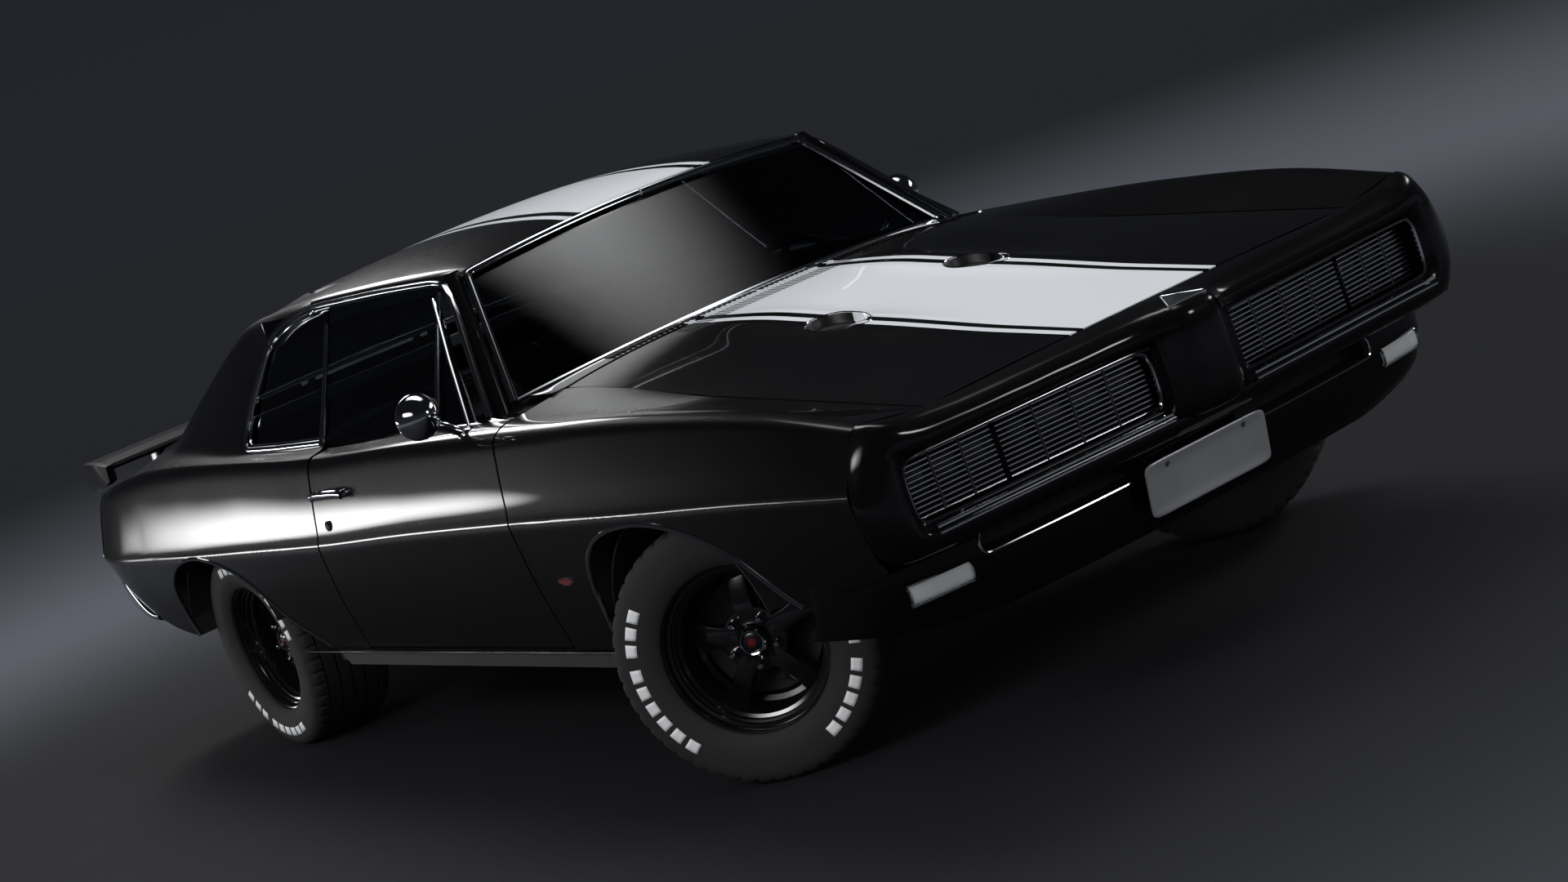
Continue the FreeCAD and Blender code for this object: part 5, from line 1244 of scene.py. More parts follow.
    def cowl(self) -> None:
        """The louvred panel between the hood and the windscreen."""
        lines = self.lines
        ys = np.linspace(-690, 690, 81)
        rear = -716 - 96 * (np.abs(ys) / 722) ** 2
        rows = []
        for share in np.linspace(0, 1, 12):
            xs = -660 + (rear + 660) * share
            zs = lines.lid(np.full_like(ys, -655), ys) + 3 + share * 3
            rows.append(np.stack([xs, ys, zs], 1))
        panel = pressed("cowl_panel", lines.world(rows), STRIPED, UP, 0.004)
        placed(smoothed(panel), "body", slot="body_paint")
        slots = []
        for y in [sign * (12 + 17 * k) for k in range(28) for sign in (1, -1)]:
            z = float(lines.lid(np.array([-655.0]), np.array([float(y)]))[0]) + 5
            swing = (y / 600) ** 2
            low = lines.layout.at(-704 - 50 * swing, y - 3, z - 1)
            high = lines.layout.at(-668 - 20 * swing, y + 3, z + 2.5)
            slots.append(block("louvre", low, high, GRILLE_BLACK_AND_PAINTED_SHADE, 0.0012, 1))
        placed(joined("cowl_louvres", slots), "body", slot="grille_black")

    def deck(self) -> None:
        """The boot lid."""
        lid = self.lid("boot_lid_skin", self.deck_front, self.deck_rear, False)
        placed(lid, "decklid", "decklid", slot="body_paint")

    def build(self) -> None:
        """Both lids and the cowl between them."""
        for step in (self.hood, self.cowl, self.deck):
            step()


# ---------------------------------------------------------------- nose
@dataclass
class Nose:
    """The body-coloured bumper: a ring round each grille and the beak between them."""

    lines: BodyLines
    # Rings of the left half, from the hood seam in through the opening. Columns: behind, y, z.
    RINGS = [
        [(173, 60, 818), (90, 60, 812), (45, 62, 806),
         (13, 62, 786), (11, 62, 752), (37, 62, 738)],
        [(173, 118, 819), (120, 118, 813), (86, 118, 806),
         (57, 118, 784), (57, 118, 752), (81, 118, 738)],
        [(173, 330, 817), (130, 330, 812), (102, 330, 806),
         (72, 330, 784), (72, 330, 752), (96, 330, 738)],
        [(173, 600, 812), (146, 600, 811), (122, 600, 806),
         (91.5, 600, 785), (91.5, 600, 752), (115, 600, 738)],
        [(173, 735, 822), (152, 738, 821), (130, 738, 812),
         (104, 740, 788), (102, 740, 754), (126, 738, 738)],
        [(173, 800, 836), (150, 797, 834), (115, 790, 820),
         (105, 790, 800), (104, 786, 756), (128, 780, 736)],
        [(173, 846, 844), (150, 842, 838), (122, 828, 815),
         (110, 815, 790), (112, 800, 760), (129, 782, 730)],
        [(173, 893, 770), (158, 889, 768), (140, 876, 765),
         (118, 848, 758), (110, 815, 750), (129, 792, 715)],
        [(173, 912, 690), (160, 911, 685), (144, 902, 675),
         (120, 868, 668), (109, 825, 665), (129, 794, 665)],
        [(173, 905, 610), (160, 903, 606), (144, 892, 600),
         (120, 860, 598), (109, 820, 600), (129, 792, 612)],
        [(173, 880, 532), (160, 872, 528), (140, 850, 530),
         (122, 825, 545), (112, 800, 565), (129, 780, 594)],
        [(152, 745, 522), (128, 742, 526), (106, 740, 540),
         (101, 740, 560), (104, 740, 580), (122, 740, 593)],
        [(142, 600, 522), (116, 600, 526), (96, 600, 540),
         (91, 600, 560), (94, 600, 580), (112, 600, 592)],
        [(123, 330, 522), (97, 330, 526), (77, 330, 540),
         (72, 330, 560), (75, 330, 580), (93, 330, 592)],
        [(107, 118, 522), (81, 118, 527), (61, 118, 540),
         (57, 118, 560), (60, 118, 580), (78, 118, 592)],
        [(107, 60, 522), (81, 60, 527), (61, 60, 540),
         (57, 60, 560), (60, 60, 580), (78, 60, 592)],
    ]
    # Sections of the beak by their distance from the middle. Columns: behind, z.
    BEAK = [
        (0, [(173, 819), (110, 817), (34, 807), (3, 790), (0, 680), (6, 566), (60, 548)]),
        (60, [(173, 819), (110, 816), (46, 805), (14, 786), (12, 680), (18, 568), (66, 550)]),
        (96, [(173, 818), (120, 812), (84, 800), (46, 776), (44, 680), (48, 572), (80, 552)]),
        (112, [(173, 818), (130, 810), (100, 798), (64, 764), (60, 680), (64, 576), (90, 554)]),
        (117, [(173, 816), (140, 800), (120, 780), (100, 740), (98, 680), (100, 590), (110, 560)]),
    ]
    recess: float = 62
    beak_half: float = 117

    def world(self, points: np.ndarray) -> np.ndarray:
        """Points (behind, y, z) in millimetres as places in metres."""
        points = np.array(points, float)
        layout = self.lines.layout
        return np.stack([layout.nose - points[..., 0] / 1000, points[..., 1] / 1000,
                         points[..., 2] / 1000], -1)

    def ring(self) -> bpy.types.Object:
        """The left ring with the walls of its recess."""
        table = np.array(self.RINGS, float)
        wall = table[:, -1:, :] + [self.recess, 0, 0]
        lips = np.concatenate([table, wall], 1)
        places = np.stack([curve(list(lips[:, column]), 120, 0.42)
                           for column in range(lips.shape[1])], 1)
        rows = [curve(list(row[:-1]), 26, 0.4, 4) for row in places]
        rows = [np.vstack([row, [row[-1] + [self.recess, 0, 0]]]) for row in rows]
        return facing(sheet("nose_ring", self.world(rows), ENAMEL), AHEAD)

    def build(self) -> None:
        """The ring of each side and the beak, as one bumper."""
        pair = both(self.ring(), "nose_rings")
        table = [(side * y, *np.array(points, float).ravel()) for y, points in self.BEAK
                 for side in (1, -1) if y or side > 0]
        rows, ys = [], np.linspace(-self.beak_half, self.beak_half, 91)
        for y, section in zip(ys, smooth_columns(table, ys)):
            line = curve(list(section.reshape(-1, 2)), 60, 0.35)
            rows.append([(behind, y, z) for behind, z in line])
        beak = facing(sheet("beak", self.world(rows), ENAMEL, angle=60), AHEAD)
        chin = []
        for y in np.linspace(-118, 118, 21):
            chin.append([(107 + 20 * (abs(y) / 118) ** 2 - 20, y, 522), (80, y, 527), (62, y, 540),
                         (60, y, 556)])
        under = facing(sheet("beak_chin", self.world(chin), ENAMEL), Vector((1, 0, -0.4)))
        bumper = joined("nose_bumper", [pair, beak, under])
        placed(bumper, "body", "front_bumper", slot="body_paint")
        self.emblem()
        self.frames()

    def emblem(self) -> None:
        """A plain bright wedge on top of the beak."""
        corners = [np.array(p, float) for p in ((36, -58, 804), (36, 58, 804), (124, 0, 816))]
        middle = np.array([62.0, 0, 810])
        rings = []
        for share, lift in ((1.0, -3), (1.0, 4), (0.93, 6.5), (0.86, 5.5), (0.8, 5.5), (0.04, 12)):
            loop = []
            for k in range(3):
                here, there = corners[k], corners[(k + 1) % 3]
                loop += [middle + (here + (there - here) * t - middle) * share + [0, 0, lift]
                         for t in np.linspace(0, 1, 8, endpoint=False)]
            rings.append(loop)
        wedge = solid("nose_wedge", self.world(rings), ALUMINIUM, angle=12)
        placed(wedge, "body", slot="chrome_trim")

    def frames(self) -> None:
        """The bright frames at the mouth of each recess and the mouldings below each grille."""
        face = [(38, 66, 738)] + [tuple(row[-1]) for row in self.RINGS[1:-1]] + [(78, 66, 592)]
        line = curve(face, 150, 0.4, 6)
        places = self.world(line + [6, 0, 0])
        frame = swept("grille_frames", places,
                      [(-0.004, -0.002), (0.004, -0.002), (0.005, 0.004), (0, 0.007),
                       (-0.005, 0.004)], CHROME, up=AHEAD)
        inner = swept("inner_end",
                      self.world(curve([(96, 150, 734), (86, 126, 728), (84, 118, 700),
                                        (84, 117, 665), (84, 118, 630), (86, 126, 602),
                                        (96, 150, 597)], 40, 0.45)), flat_section(0.010, 0.008),
                      CHROME, up=AHEAD)
        lower = []
        for z, out, width in ((585, 8, 0.010), (571, 11, 0.007)):
            path = self.world([(behind - out, y, z) for behind, y in
                               ((62, 128), (76, 330), (95, 600), (104, 740), (108, 775))])
            lower.append(swept("lower_moulding", spread(path, 60), flat_section(width, 0.005),
                               CHROME, up=AHEAD))
        placed_pair(joined("grille_frames", [frame, inner] + lower), slot="chrome_trim")


@dataclass
class Grilles:
    """Thin bright-edged bars across each grille, part of them on the headlamp doors."""

    lines: BodyLines
    bars: int = 12
    low: float = 602
    high: float = 728
    bar_height: float = 4.0
    bar_depth: float = 13
    tilt: float = math.radians(5.56)

    def face(self, y: float) -> float:
        """How far behind the nose the grille's face is at a distance from the middle."""
        return 145 - 4 + (y - 534) * math.tan(self.tilt)

    def bar_set(self, name: str, start: float, end: float, spans: int) -> list:
        """Bars between two distances from the middle, which dividers part into even spans."""
        layout, pieces, edges = self.lines.layout, [], []
        h, d = self.bar_height / 2000, self.bar_depth / 1000
        for z in np.linspace(self.low, self.high, self.bars):
            path = [layout.behind_nose(self.face(y), y, z) for y in np.linspace(start, end, 9)]
            pieces.append(swept(f"{name}_bar", path, [(-h, -d), (h, -d), (h, -0.001), (-h, -0.001)],
                                GRILLE_BLACK_AND_PAINTED_SHADE, up=AHEAD))
            edges.append(swept(f"{name}_edge", path, [(-h, -0.001), (h, -0.001), (h * 0.8, 0.001),
                                                       (-h * 0.8, 0.001)], ALUMINIUM, up=AHEAD))
        for y in np.linspace(start, end, spans + 1)[1:-1]:
            low = layout.behind_nose(self.face(y) + self.bar_depth, y - 4, self.low - 3)
            high = layout.behind_nose(self.face(y) - 1.2, y + 4, self.high + 3)
            pieces.append(block(f"{name}_divider", low, high, GRILLE_BLACK_AND_PAINTED_SHADE, 0.0008, 1))
        return joined(name, pieces + edges)

    def backing(self, name: str, start: float, end: float, behind: float) -> bpy.types.Object:
        """A dark panel behind the bars."""
        layout = self.lines.layout
        rows = [[layout.behind_nose(self.face(y) + behind, y, z) for z in (594, 665, 736)]
                for y in np.linspace(start, end, 9)]
        return pressed(name, rows, GRILLE_BLACK_AND_PAINTED_SHADE, AHEAD, 0.003)

    def build(self) -> None:
        """The fixed inner grilles and the bars on the headlamp doors."""
        inner = self.bar_set("inner_grille", 128, 525, 4)
        fixed = joined("grille_bars", [inner, self.backing("inner_back", 120, 526, 18)])
        placed_pair(fixed, "grille_inserts", slot="grille_black")
        door = self.bar_set("lamp_door_grille", 540, 780, 3)
        cover = joined("headlamp_cover_left", [door, self.backing("door_back", 537, 782, 15)])
        other = across(cover, "headlamp_cover_right")
        for side, piece in zip(Side, (cover, other)):
            body = f"headlamp_door_{side.label}"
            placed(piece, body, body, slot="grille_black")


@dataclass
class LowerFront:
    """The valance below the bumper, its lamps and the plate."""

    lines: BodyLines
    # The valance's line across the car. Columns: behind, distance from the middle.
    LINE = [(173, 0), (183, 350), (211, 620), (243, 800), (299, 878), (435, 906), (463, 908)]
    # How far its face is tucked in. Columns: height, tuck.
    LEVELS = [(322, 56), (345, 34), (385, 16), (430, 4), (462, 0), (505, 0), (516, 8)]
    # The slot under the grilles: its heights and its ends' distances from the middle.
    slot_z: tuple[float, float] = (464, 506)
    slot_y: tuple[float, float] = (140, 604)
    slot_deep: float = 55

    def path(self) -> np.ndarray:
        """The left half of the valance's line, evenly stepped."""
        return curve(self.LINE, 110, 0.4, 6)

    def build(self) -> None:
        """The valance with its slots, the lamps and the plate."""
        layout = self.lines.layout
        line = self.path()
        full = np.vstack([line[::-1] * [1, -1], line[1:]])
        (slot_low, slot_high), (slot_from, slot_to) = self.slot_z, self.slot_y
        foot, top = self.LEVELS[0][0], self.LEVELS[-1][0]
        heights = np.linspace(foot, top, 28)
        tucks = np.interp(heights, *np.transpose(self.LEVELS))
        rows = []
        for behind, y in full:
            column = []
            slot = max(0.0, min(1.0, (min(abs(y) - slot_from, slot_to - abs(y))) / 14))
            rise = 48 * max(0.0, (abs(y) - 560) / 300) ** 1.5
            for z, tuck in zip(heights, tucks):
                deep = self.slot_deep * slot if slot_low - 5 < z < slot_high + 4 else 0.0
                column.append((layout.nose * 1000 - behind - tuck - deep, y,
                               z + rise * (top - z) / (top - foot)))
            rows.append(column)
        skin = sheet("valance_skin", np.array(rows) / 1000, ENAMEL, angle=30)
        facing(skin, AHEAD)
        skin.data.materials.append(GRILLE_BLACK_AND_PAINTED_SHADE.material())
        for face in skin.data.polygons:
            y, z = abs(face.center.y) * 1000, face.center.z * 1000
            if slot_from < y < slot_to and slot_low - 4 < z < slot_high + 3:
                face.material_index = 1
        modified(skin, "SOLIDIFY", thickness=0.004, offset=-1.0)
        placed(smoothed(skin, 30), "body", "front_valance", slot="body_paint")
        half = line[(line[:, 1] > slot_from) & (line[:, 1] < slot_to)]
        places = [Vector((layout.nose - (b - 1) / 1000, y / 1000, (slot_low - 6) / 1000))
                  for b, y in half]
        end = places[-1]
        places += [end + Vector((-0.002, 0.012, 0.008)), end + Vector((-0.002, 0.014, 0.03)),
                   end + Vector((-0.001, 0.004, 0.05))]
        lip = swept("slot_lips", curve(places, 60, 0.4, 4), tube_section(0.0035, 8), CHROME,
                    up=AHEAD)
        placed_pair(lip, slot="chrome_trim")
        self.turn_lamps()
        self.plate()

    def turn_lamps(self) -> None:
        """The clear lamps that wrap round the valance's corners."""
        layout = self.lines.layout
        line = self.path()
        part = spread(line[(line[:, 1] > 648) & (line[:, 1] < 808)], 24)
        rows = []
        for behind, y in part:
            column = []
            for z in np.linspace(410, 456, 9):
                bulge = 11 * (1 - ((z - 433) / 24) ** 4)
                column.append((layout.nose - (behind + 6 - bulge) / 1000, y / 1000, (z + 6) / 1000))
            rows.append(column)
        lens = pressed("turn_lamp_lenses", rows, CLEAR_LENS, AHEAD, 0.006, 50)
        placed_pair(lens, "turn_lamps", slot="clear_lens")
        loop = spread([np.array(p) + [0.001, 0.001, 0] for p in border(rows)], 90)[:-1]
        rim = swept("turn_lamp_rims", loop, tube_section(0.0025, 6), CHROME, closed=True,
                    up=Vector((1, 0.3, 0)))
        placed_pair(rim, slot="chrome_trim")

    def plate(self) -> None:
        """A blank plate with a raised rim."""
        low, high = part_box("licence_plate")
        lean = math.radians(-12)
        centre = (low + high) / 2
        half_y, half_z = 0.188, 0.064
        outline = []
        for turn in turns(72):
            c, s = math.cos(turn), math.sin(turn)
            power = 2 / 12
            outline.append((half_y * math.copysign(abs(c) ** power, c),
                            half_z * math.copysign(abs(s) ** power, s)))
        rows = []
        for scale, lift in ((1.0, -0.0028), (1.0, 0.0), (0.985, 0.0014), (0.95, 0.0014),
                            (0.93, 0.0), (0.5, 0.0), (0.02, 0.0)):
            ring = []
            for y, z in outline:
                shrink = (half_z - (1 - scale) * half_y) / half_z if scale > 0.6 else scale
                yy, zz = y * scale, z * max(shrink, 0.02)
                ring.append((centre.x + lift * math.cos(lean) - zz * math.sin(lean), centre.y + yy,
                             centre.z + zz * math.cos(lean) + lift * math.sin(lean)))
            rows.append(ring)
        plate = solid("blank_plate", rows, PLATE_METAL, angle=25)
        placed(plate, "body", "licence_plate", slot="plate_metal")
        bolts = []
        for y in (-0.12, 0.12):
            place = Vector((centre.x - (half_z - 0.016) * math.sin(lean), y,
                            centre.z + half_z - 0.016))
            bolts.append(turned("bolt", [(0.0, 0.0075), (0.003, 0.005), (0.0035, 0.0), (0, 0)],
                                CHROME, place, Vector((1, 0, 0.2)), 16))
        placed(joined("plate_bolts", bolts), "body", slot="chrome_trim")


# ---------------------------------------------------------------- rear
@dataclass
class Rear:
    """Rear bumper, tail panel, lamps and spoiler."""

    lines: BodyLines
    # The bumper's outer line. Columns: ahead of the tail, how far in.
    LINE = [(520, 62), (380, 70), (240, 88), (122, 120), (64, 178), (34, 268), (14, 520), (3, 946)]

    def bumper(self) -> None:
        """The chrome bumper, wrapped round the corners."""
        lines = self.lines
        tail, half = lines.layout.tail, lines.half
        line = curve(self.LINE, 80, 0.42, 6)
        line = np.vstack([line[:-1], [[a, 2 * half - b] for a, b in line[::-1]]])
        section = [(0.036, 1.0), (0.012, 0.96), (0.001, 0.78), (0, 0.5), (0.008, 0.22),
                   (0.03, 0.03), (0.040, 0.01), (0.042, 0.1), (0.040, 0.9)]
        rows, count = [], len(line)
        for i, (ahead, inward) in enumerate(line):
            before, after = line[max(i - 1, 0)], line[min(i + 1, count - 1)]
            along = np.array([after[0] - before[0], after[1] - before[1]])
            along = along / np.linalg.norm(along)
            inside = np.array([along[1], -along[0]])
            grown = eased(min(max((500 - ahead) / 370, 0.0), 1.0))
            foot, top = 448 + 22 * grown, 478 + 164 * grown
            ring = []
            for depth, share in soft_line(section + [section[0]], 0.35, 3)[:-1]:
                z = (foot + (top - foot) * share) / 1000
                shift = inside * depth * 1000 * (0.45 + 0.55 * grown)
                x = tail + (ahead + shift[0]) / 1000
                ring.append((x, (half - (inward + shift[1])) / 1000, z))
            rows.append(ring)
        piece = solid("rear_bumper_bar", rows, CHROME, angle=50)
        placed(piece, "body", "rear_bumper", slot="chrome_trim")

    def spoiler(self) -> None:
        """The boot-lid spoiler: a plank on two feet with an end plate each side."""
        tail = self.lines.layout.tail * 1000
        plank = [(358, 976), (352, 986), (260, 996), (160, 1004), (149, 1000), (148, 988),
                 (160, 982), (260, 972), (345, 963), (356, 966)]
        rows = []
        for y in np.linspace(-790, 790, 61):
            rows.append([(tail + a, y, z) for a, z in plank])
        bar = solid("spoiler_plank", np.array(rows) / 1000, ENAMEL, angle=40)
        ends = []
        for side in Side:
            plate = [(362, 984), (352, 930), (300, 916), (152, 897), (144, 930), (146, 1000),
                     (158, 1006), (262, 998)]
            loop = soft_line(plate + [plate[0]], 0.22, 4)[:-1]
            rows = []
            for out, scale in ((776, 0.97), (779, 1.0), (800, 1.0), (805, 0.96)):
                rows.append([(tail + 252 + (a - 252) * scale, side * out, 950 + (z - 950) * scale)
                             for a, z in loop])
            ends.append(solid("end_plate", np.array(rows) / 1000, ENAMEL, angle=50))
        feet = []
        lid = self.lines
        for side in Side:
            rows = []
            for share in np.linspace(0, 1, 6):
                loop = []
                for turn in turns(24):
                    x = -3797 + (76 - 12 * share) * math.cos(turn)
                    y = side * (583 + (23 - 6 * share) * math.sin(turn))
                    base = float(lid.lid(np.array([x]), np.array([y]))[0]) - 4
                    loop.append((lid.layout.front_axle * 1000 + x, y, base + (978 - base) * share))
                rows.append(loop)
            feet.append(solid("foot", np.array(rows) / 1000, ENAMEL))
        placed(joined("rear_spoiler_bar", [bar] + ends + feet), "decklid", "rear_spoiler",
               slot="body_paint")

    def tail_panel(self) -> None:
        """The body-coloured panel between the lamps with its bright mouldings and lamp lenses."""
        lines = self.lines
        tail = lines.layout.tail * 1000
        rows = []
        corner = [(z, lines.skin(-3932, lines.share_at_height(-3932, z)).ravel()[1] - 3)
                  for z in np.linspace(632, 872, 25)]
        for share in np.linspace(-1, 1, 81):
            out = abs(share)
            heights = np.linspace(632, 896 - 24 * out ** 6, 16)
            ends = np.interp(heights, [z for z, _ in corner], [y for _, y in corner])
            rows.append([(tail + 96 + 14 * out ** 4 + 24 * abs((z - 760) / 140) ** 3, share * end,
                          z) for z, end in zip(heights, ends)])
        panel = pressed("tail_panel_skin", np.array(rows) / 1000, ENAMEL, -AHEAD, 0.004)
        placed(smoothed(panel), "body", "tail_panel", slot="body_paint")
        lenses = []
        rims = []
        for side in Side:
            rows = []
            for y in np.linspace(262, 678, 33):
                ring = []
                for z in np.linspace(692, 758, 9):
                    bulge = 14 * (1 - ((z - 725) / 34) ** 4) * (1 - ((y - 470) / 212) ** 8)
                    ring.append((tail + 94 + 8 * (y / 780) ** 4 - bulge, side * y, z))
                rows.append(ring)
            lenses.append(pressed("tail_lens", np.array(rows) / 1000, RED_LENS, -AHEAD, 0.005, 50))
            loop = spread(np.array(border(rows)) / 1000, 120)[:-1]
            rims.append(swept("rim", loop + [-0.002, 0, 0], tube_section(0.005, 8), CHROME,
                              closed=True, up=AHEAD))
        placed(joined("tail_lamp_lenses", lenses), "body", "tail_lamps", slot="red_lens")
        placed(joined("tail_lamp_rims", rims), "body", slot="chrome_trim")

    def build(self) -> None:
        """Everything at the back."""
        self.bumper()
        self.spoiler()
        self.tail_panel()


# ---------------------------------------------------------------- bright trim
@dataclass
class Trim:
    """Mouldings, handles, mirrors and the badge."""

    lines: BodyLines

    def strip(self, name: str, points: list, width: float, height: float, count: int = 60,
              up: Vector = GLASS_OUT) -> bpy.types.Object:
        """A bright moulding along (ahead, y, z) points in millimetres."""
        return swept(name, spread(self.lines.world(points), count),
                     flat_section(width, height), CHROME, up=up)

    def on_door(self, piece: bpy.types.Object, side: Side) -> None:
        """Let a piece that was made for the left ride on one side's door."""
        if side is Side.RIGHT:
            piece.data.transform(MIRROR)
            piece.data.flip_normals()
        placed(piece, f"door_{side.label}", slot="chrome_trim")

    def windows(self) -> None:
        """Mouldings round the windscreen, the rear window and the side glass."""
        glass = []
        top = [(-1096 - 26 * (y / 566) ** 2, y, 1332 - 32 * (y / 566) ** 2)
               for y in np.linspace(0, 560, 16)]
        side = [(-1122 + 310 * s, 566 + 156 * s, 1300 - 332 * s) for s in np.linspace(0.02, 1, 18)]
        line = [(x + 8, y + 3, z + 5) for x, y, z in top + side]
        glass.append(self.strip("windscreen_surround", line, 0.022, 0.009, 90,
                                Vector((0.75, 0.1, 0.65))))
        low = [(-812 + 96 * (1 - (y / 722) ** 2), y, 970 + 36 * (1 - (y / 722) ** 2))
               for y in np.linspace(0, 716, 30)]
        glass.append(self.strip("windscreen_foot", [(x + 3, y, z + 3) for x, y, z in low], 0.014,
                                0.007, 60, Vector((0.6, 0.1, 0.8))))
        placed_pair(joined("windscreen_surround", glass), slot="chrome_trim")
        top = [(-2540 + 30 * (y / 560) ** 2, y, 1310 - 26 * (y / 560) ** 2)
               for y in np.linspace(0, 552, 14)]
        side = [(-2510 - 610 * s, 560 + 80 * s, 1284 - 248 * s) for s in np.linspace(0.03, 1, 20)]
        low = [(-3120 - 48 * s, 640 * (1 - s), 1036 + 14 * s) for s in np.linspace(0.05, 1, 14)]
        line = [(x, y, z + 6) for x, y, z in top + side + low]
        rear = self.strip("rear_window_surround", line, 0.02, 0.008, 120, Vector((-0.35, 0.1, 0.9)))
        placed_pair(rear, slot="chrome_trim")
        # Columns: name, points, width, height.
        frames = (
            ("vent_front", [(-872, 836, 954), (-1040, 742, 1116), (-1196, 648, 1268)], 0.01, 0.008),
            ("glass_rear", [(-1857, 822, 954), (-1886, 745, 1080), (-1930, 638, 1264)], 0.01, 0.01),
            ("vent", [(-1084, 822, 954), (-1130, 742, 1090), (-1180, 632, 1278)], 0.012, 0.01))
        for side in Side:
            pieces = [self.belt()] + [self.strip(*frame, 30) for frame in frames]
            self.on_door(joined(f"door_mouldings_{side.label}", pieces), side)

    def belt(self) -> bpy.types.Object:
        """The bright moulding below a door's glass, wider towards the front."""
        rows = []
        for ahead in np.linspace(-700, -1832, 40):
            wide = 13 + 19 * min(max((-700 - ahead) / -1132 + 1, 0), 1)
            inner, z = self.lines.half - 152, 954
            rows.append([(ahead, inner, z - 3), (ahead, inner + 2, z + 4),
                         (ahead, inner + wide * 0.5, z + 4.5), (ahead, inner + wide * 0.9, z + 1),
                         (ahead, inner + wide, z - 5)])
        return solid("belt", self.lines.world(rows), CHROME, angle=40)

    def side_lines(self) -> None:
        """The thin bright line above each sill."""
        line = [(a, self.lines.half - 52, 349) for a in np.linspace(-400, -2345, 12)]
        strip = self.strip("sill_mouldings", line, 0.010, 0.006, 50, Vector((0, 1, 0.2)))
        placed_pair(strip, slot="chrome_trim")

    def handles(self) -> None:
        """Door handles, push buttons and locks."""
        lines = self.lines
        foot = [(-0.004, 0), (-0.004, 0.014), (0.008, 0.011), (0.016, 0.006), (0.018, 0)]
        button = [(0.0, 0), (0.0, 0.011), (0.022, 0.0105), (0.025, 0.007), (0.026, 0)]
        lock = [(0.0, 0), (0.0, 0.015), (0.005, 0.0145), (0.007, 0.011), (0.0055, 0.009),
                (0.0055, 0)]
        # Columns: name, ahead, height, profile, axis, steps.
        fittings = (("foot", -1614, 836, foot, OUT, 20), ("foot", -1806, 836, foot, OUT, 20),
                    ("button", -1806, 838, button, OUT, 20),
                    ("lock", -1764, 749, lock, Vector((0, 1, 0.1)), 24))
        grip = [(-1600, 18, 836), (-1625, 20, 840), (-1700, 26, 842), (-1780, 22, 840),
                (-1822, 14, 834)]
        for side in Side:
            points = [lines.spot(a, z, out) for a, out, z in soft_line(grip, 0.4, 5)]
            pieces = [swept("grip", points, [(x, y * 0.55) for x, y in tube_section(0.0125, 12)],
                            CHROME, up=OUT)]
            for name, a, z, profile, axis, steps in fittings:
                pieces.append(turned(name, profile, CHROME, lines.spot(a, z), axis, steps))
            self.on_door(joined(f"door_handle_{side.label}", pieces), side)

    def badges(self) -> None:
        """A plain bar badge with a dark red insert behind each front wheel."""
        centre = self.lines.world(self.lines.skin(-462, self.lines.share_at_height(-462, 557)))
        pieces = []
        for scale, lift, finish in ((1.0, 0.0, CHROME), (0.8, 0.0028, RED_ENAMEL)):
            loop = [(-0.045, 0.008), (0.030, 0.008), (0.045, 0.0), (0.018, -0.012),
                    (-0.010, -0.012), (-0.045, -0.004)]
            rows = []
            for k, out in ((1.0, -0.004), (1.0, 0.002), (0.9, 0.0035), (0.2, 0.0035)):
                rows.append([(centre[0] + x * scale * k, centre[1] + out + lift,
                              centre[2] + z * scale * k) for x, z in loop])
            pieces.append(solid("badge", rows, finish, angle=30))
        placed_pair(joined("side_badges", pieces), slot="chrome_trim")

    def mirrors(self) -> None:
        """Bullet mirrors, each a turned shell with its glass, on a slender stalk."""
        layout = self.lines.layout
        for side, ahead in ((Side.RIGHT, -858), (Side.LEFT, -1280)):
            centre = layout.at(ahead - 26, side * 962, 1030)
            shell = [(0.0, 0.0), (0.001, 0.052), (0.0, 0.058), (0.003, 0.0615), (0.010, 0.0618),
                     (0.022, 0.0595), (0.036, 0.054), (0.050, 0.043), (0.061, 0.030),
                     (0.069, 0.015), (0.072, 0.0)]
            bullet = turned("bullet", shell, CHROME, centre, AHEAD, 64, 60)
            foot = layout.at(ahead - 4, side * 858, 944)
            path = soft_line([foot, foot + Vector((0, side * 0.03, 0.022)),
                              centre + Vector((0.03, side * -0.05, -0.045)),
                              centre + Vector((0.032, side * -0.02, -0.03))], 0.4, 5)
            stalk = swept("stalk", spread(path, 26),
                          [(a * 1.25, b * 0.75) for a, b in tube_section(0.010, 14)], CHROME,
                          up=AHEAD)
            base = turned("base",
                          [(-0.004, 0.0), (-0.004, 0.024), (0.003, 0.0235), (0.009, 0.017),
                           (0.013, 0.010), (0.014, 0.0)], CHROME, foot,
                          Vector((0, side * 0.35, 0.94)), 28, 50)
            placed(joined(f"bullet_mirror_{side.label}", [bullet, stalk, base]),
                   f"door_{side.label}", f"mirror_{side.label}", slot="chrome_trim")

    def build(self) -> None:
        """All of the trim."""
        for step in (self.windows, self.side_lines, self.handles, self.badges, self.mirrors):
            step()


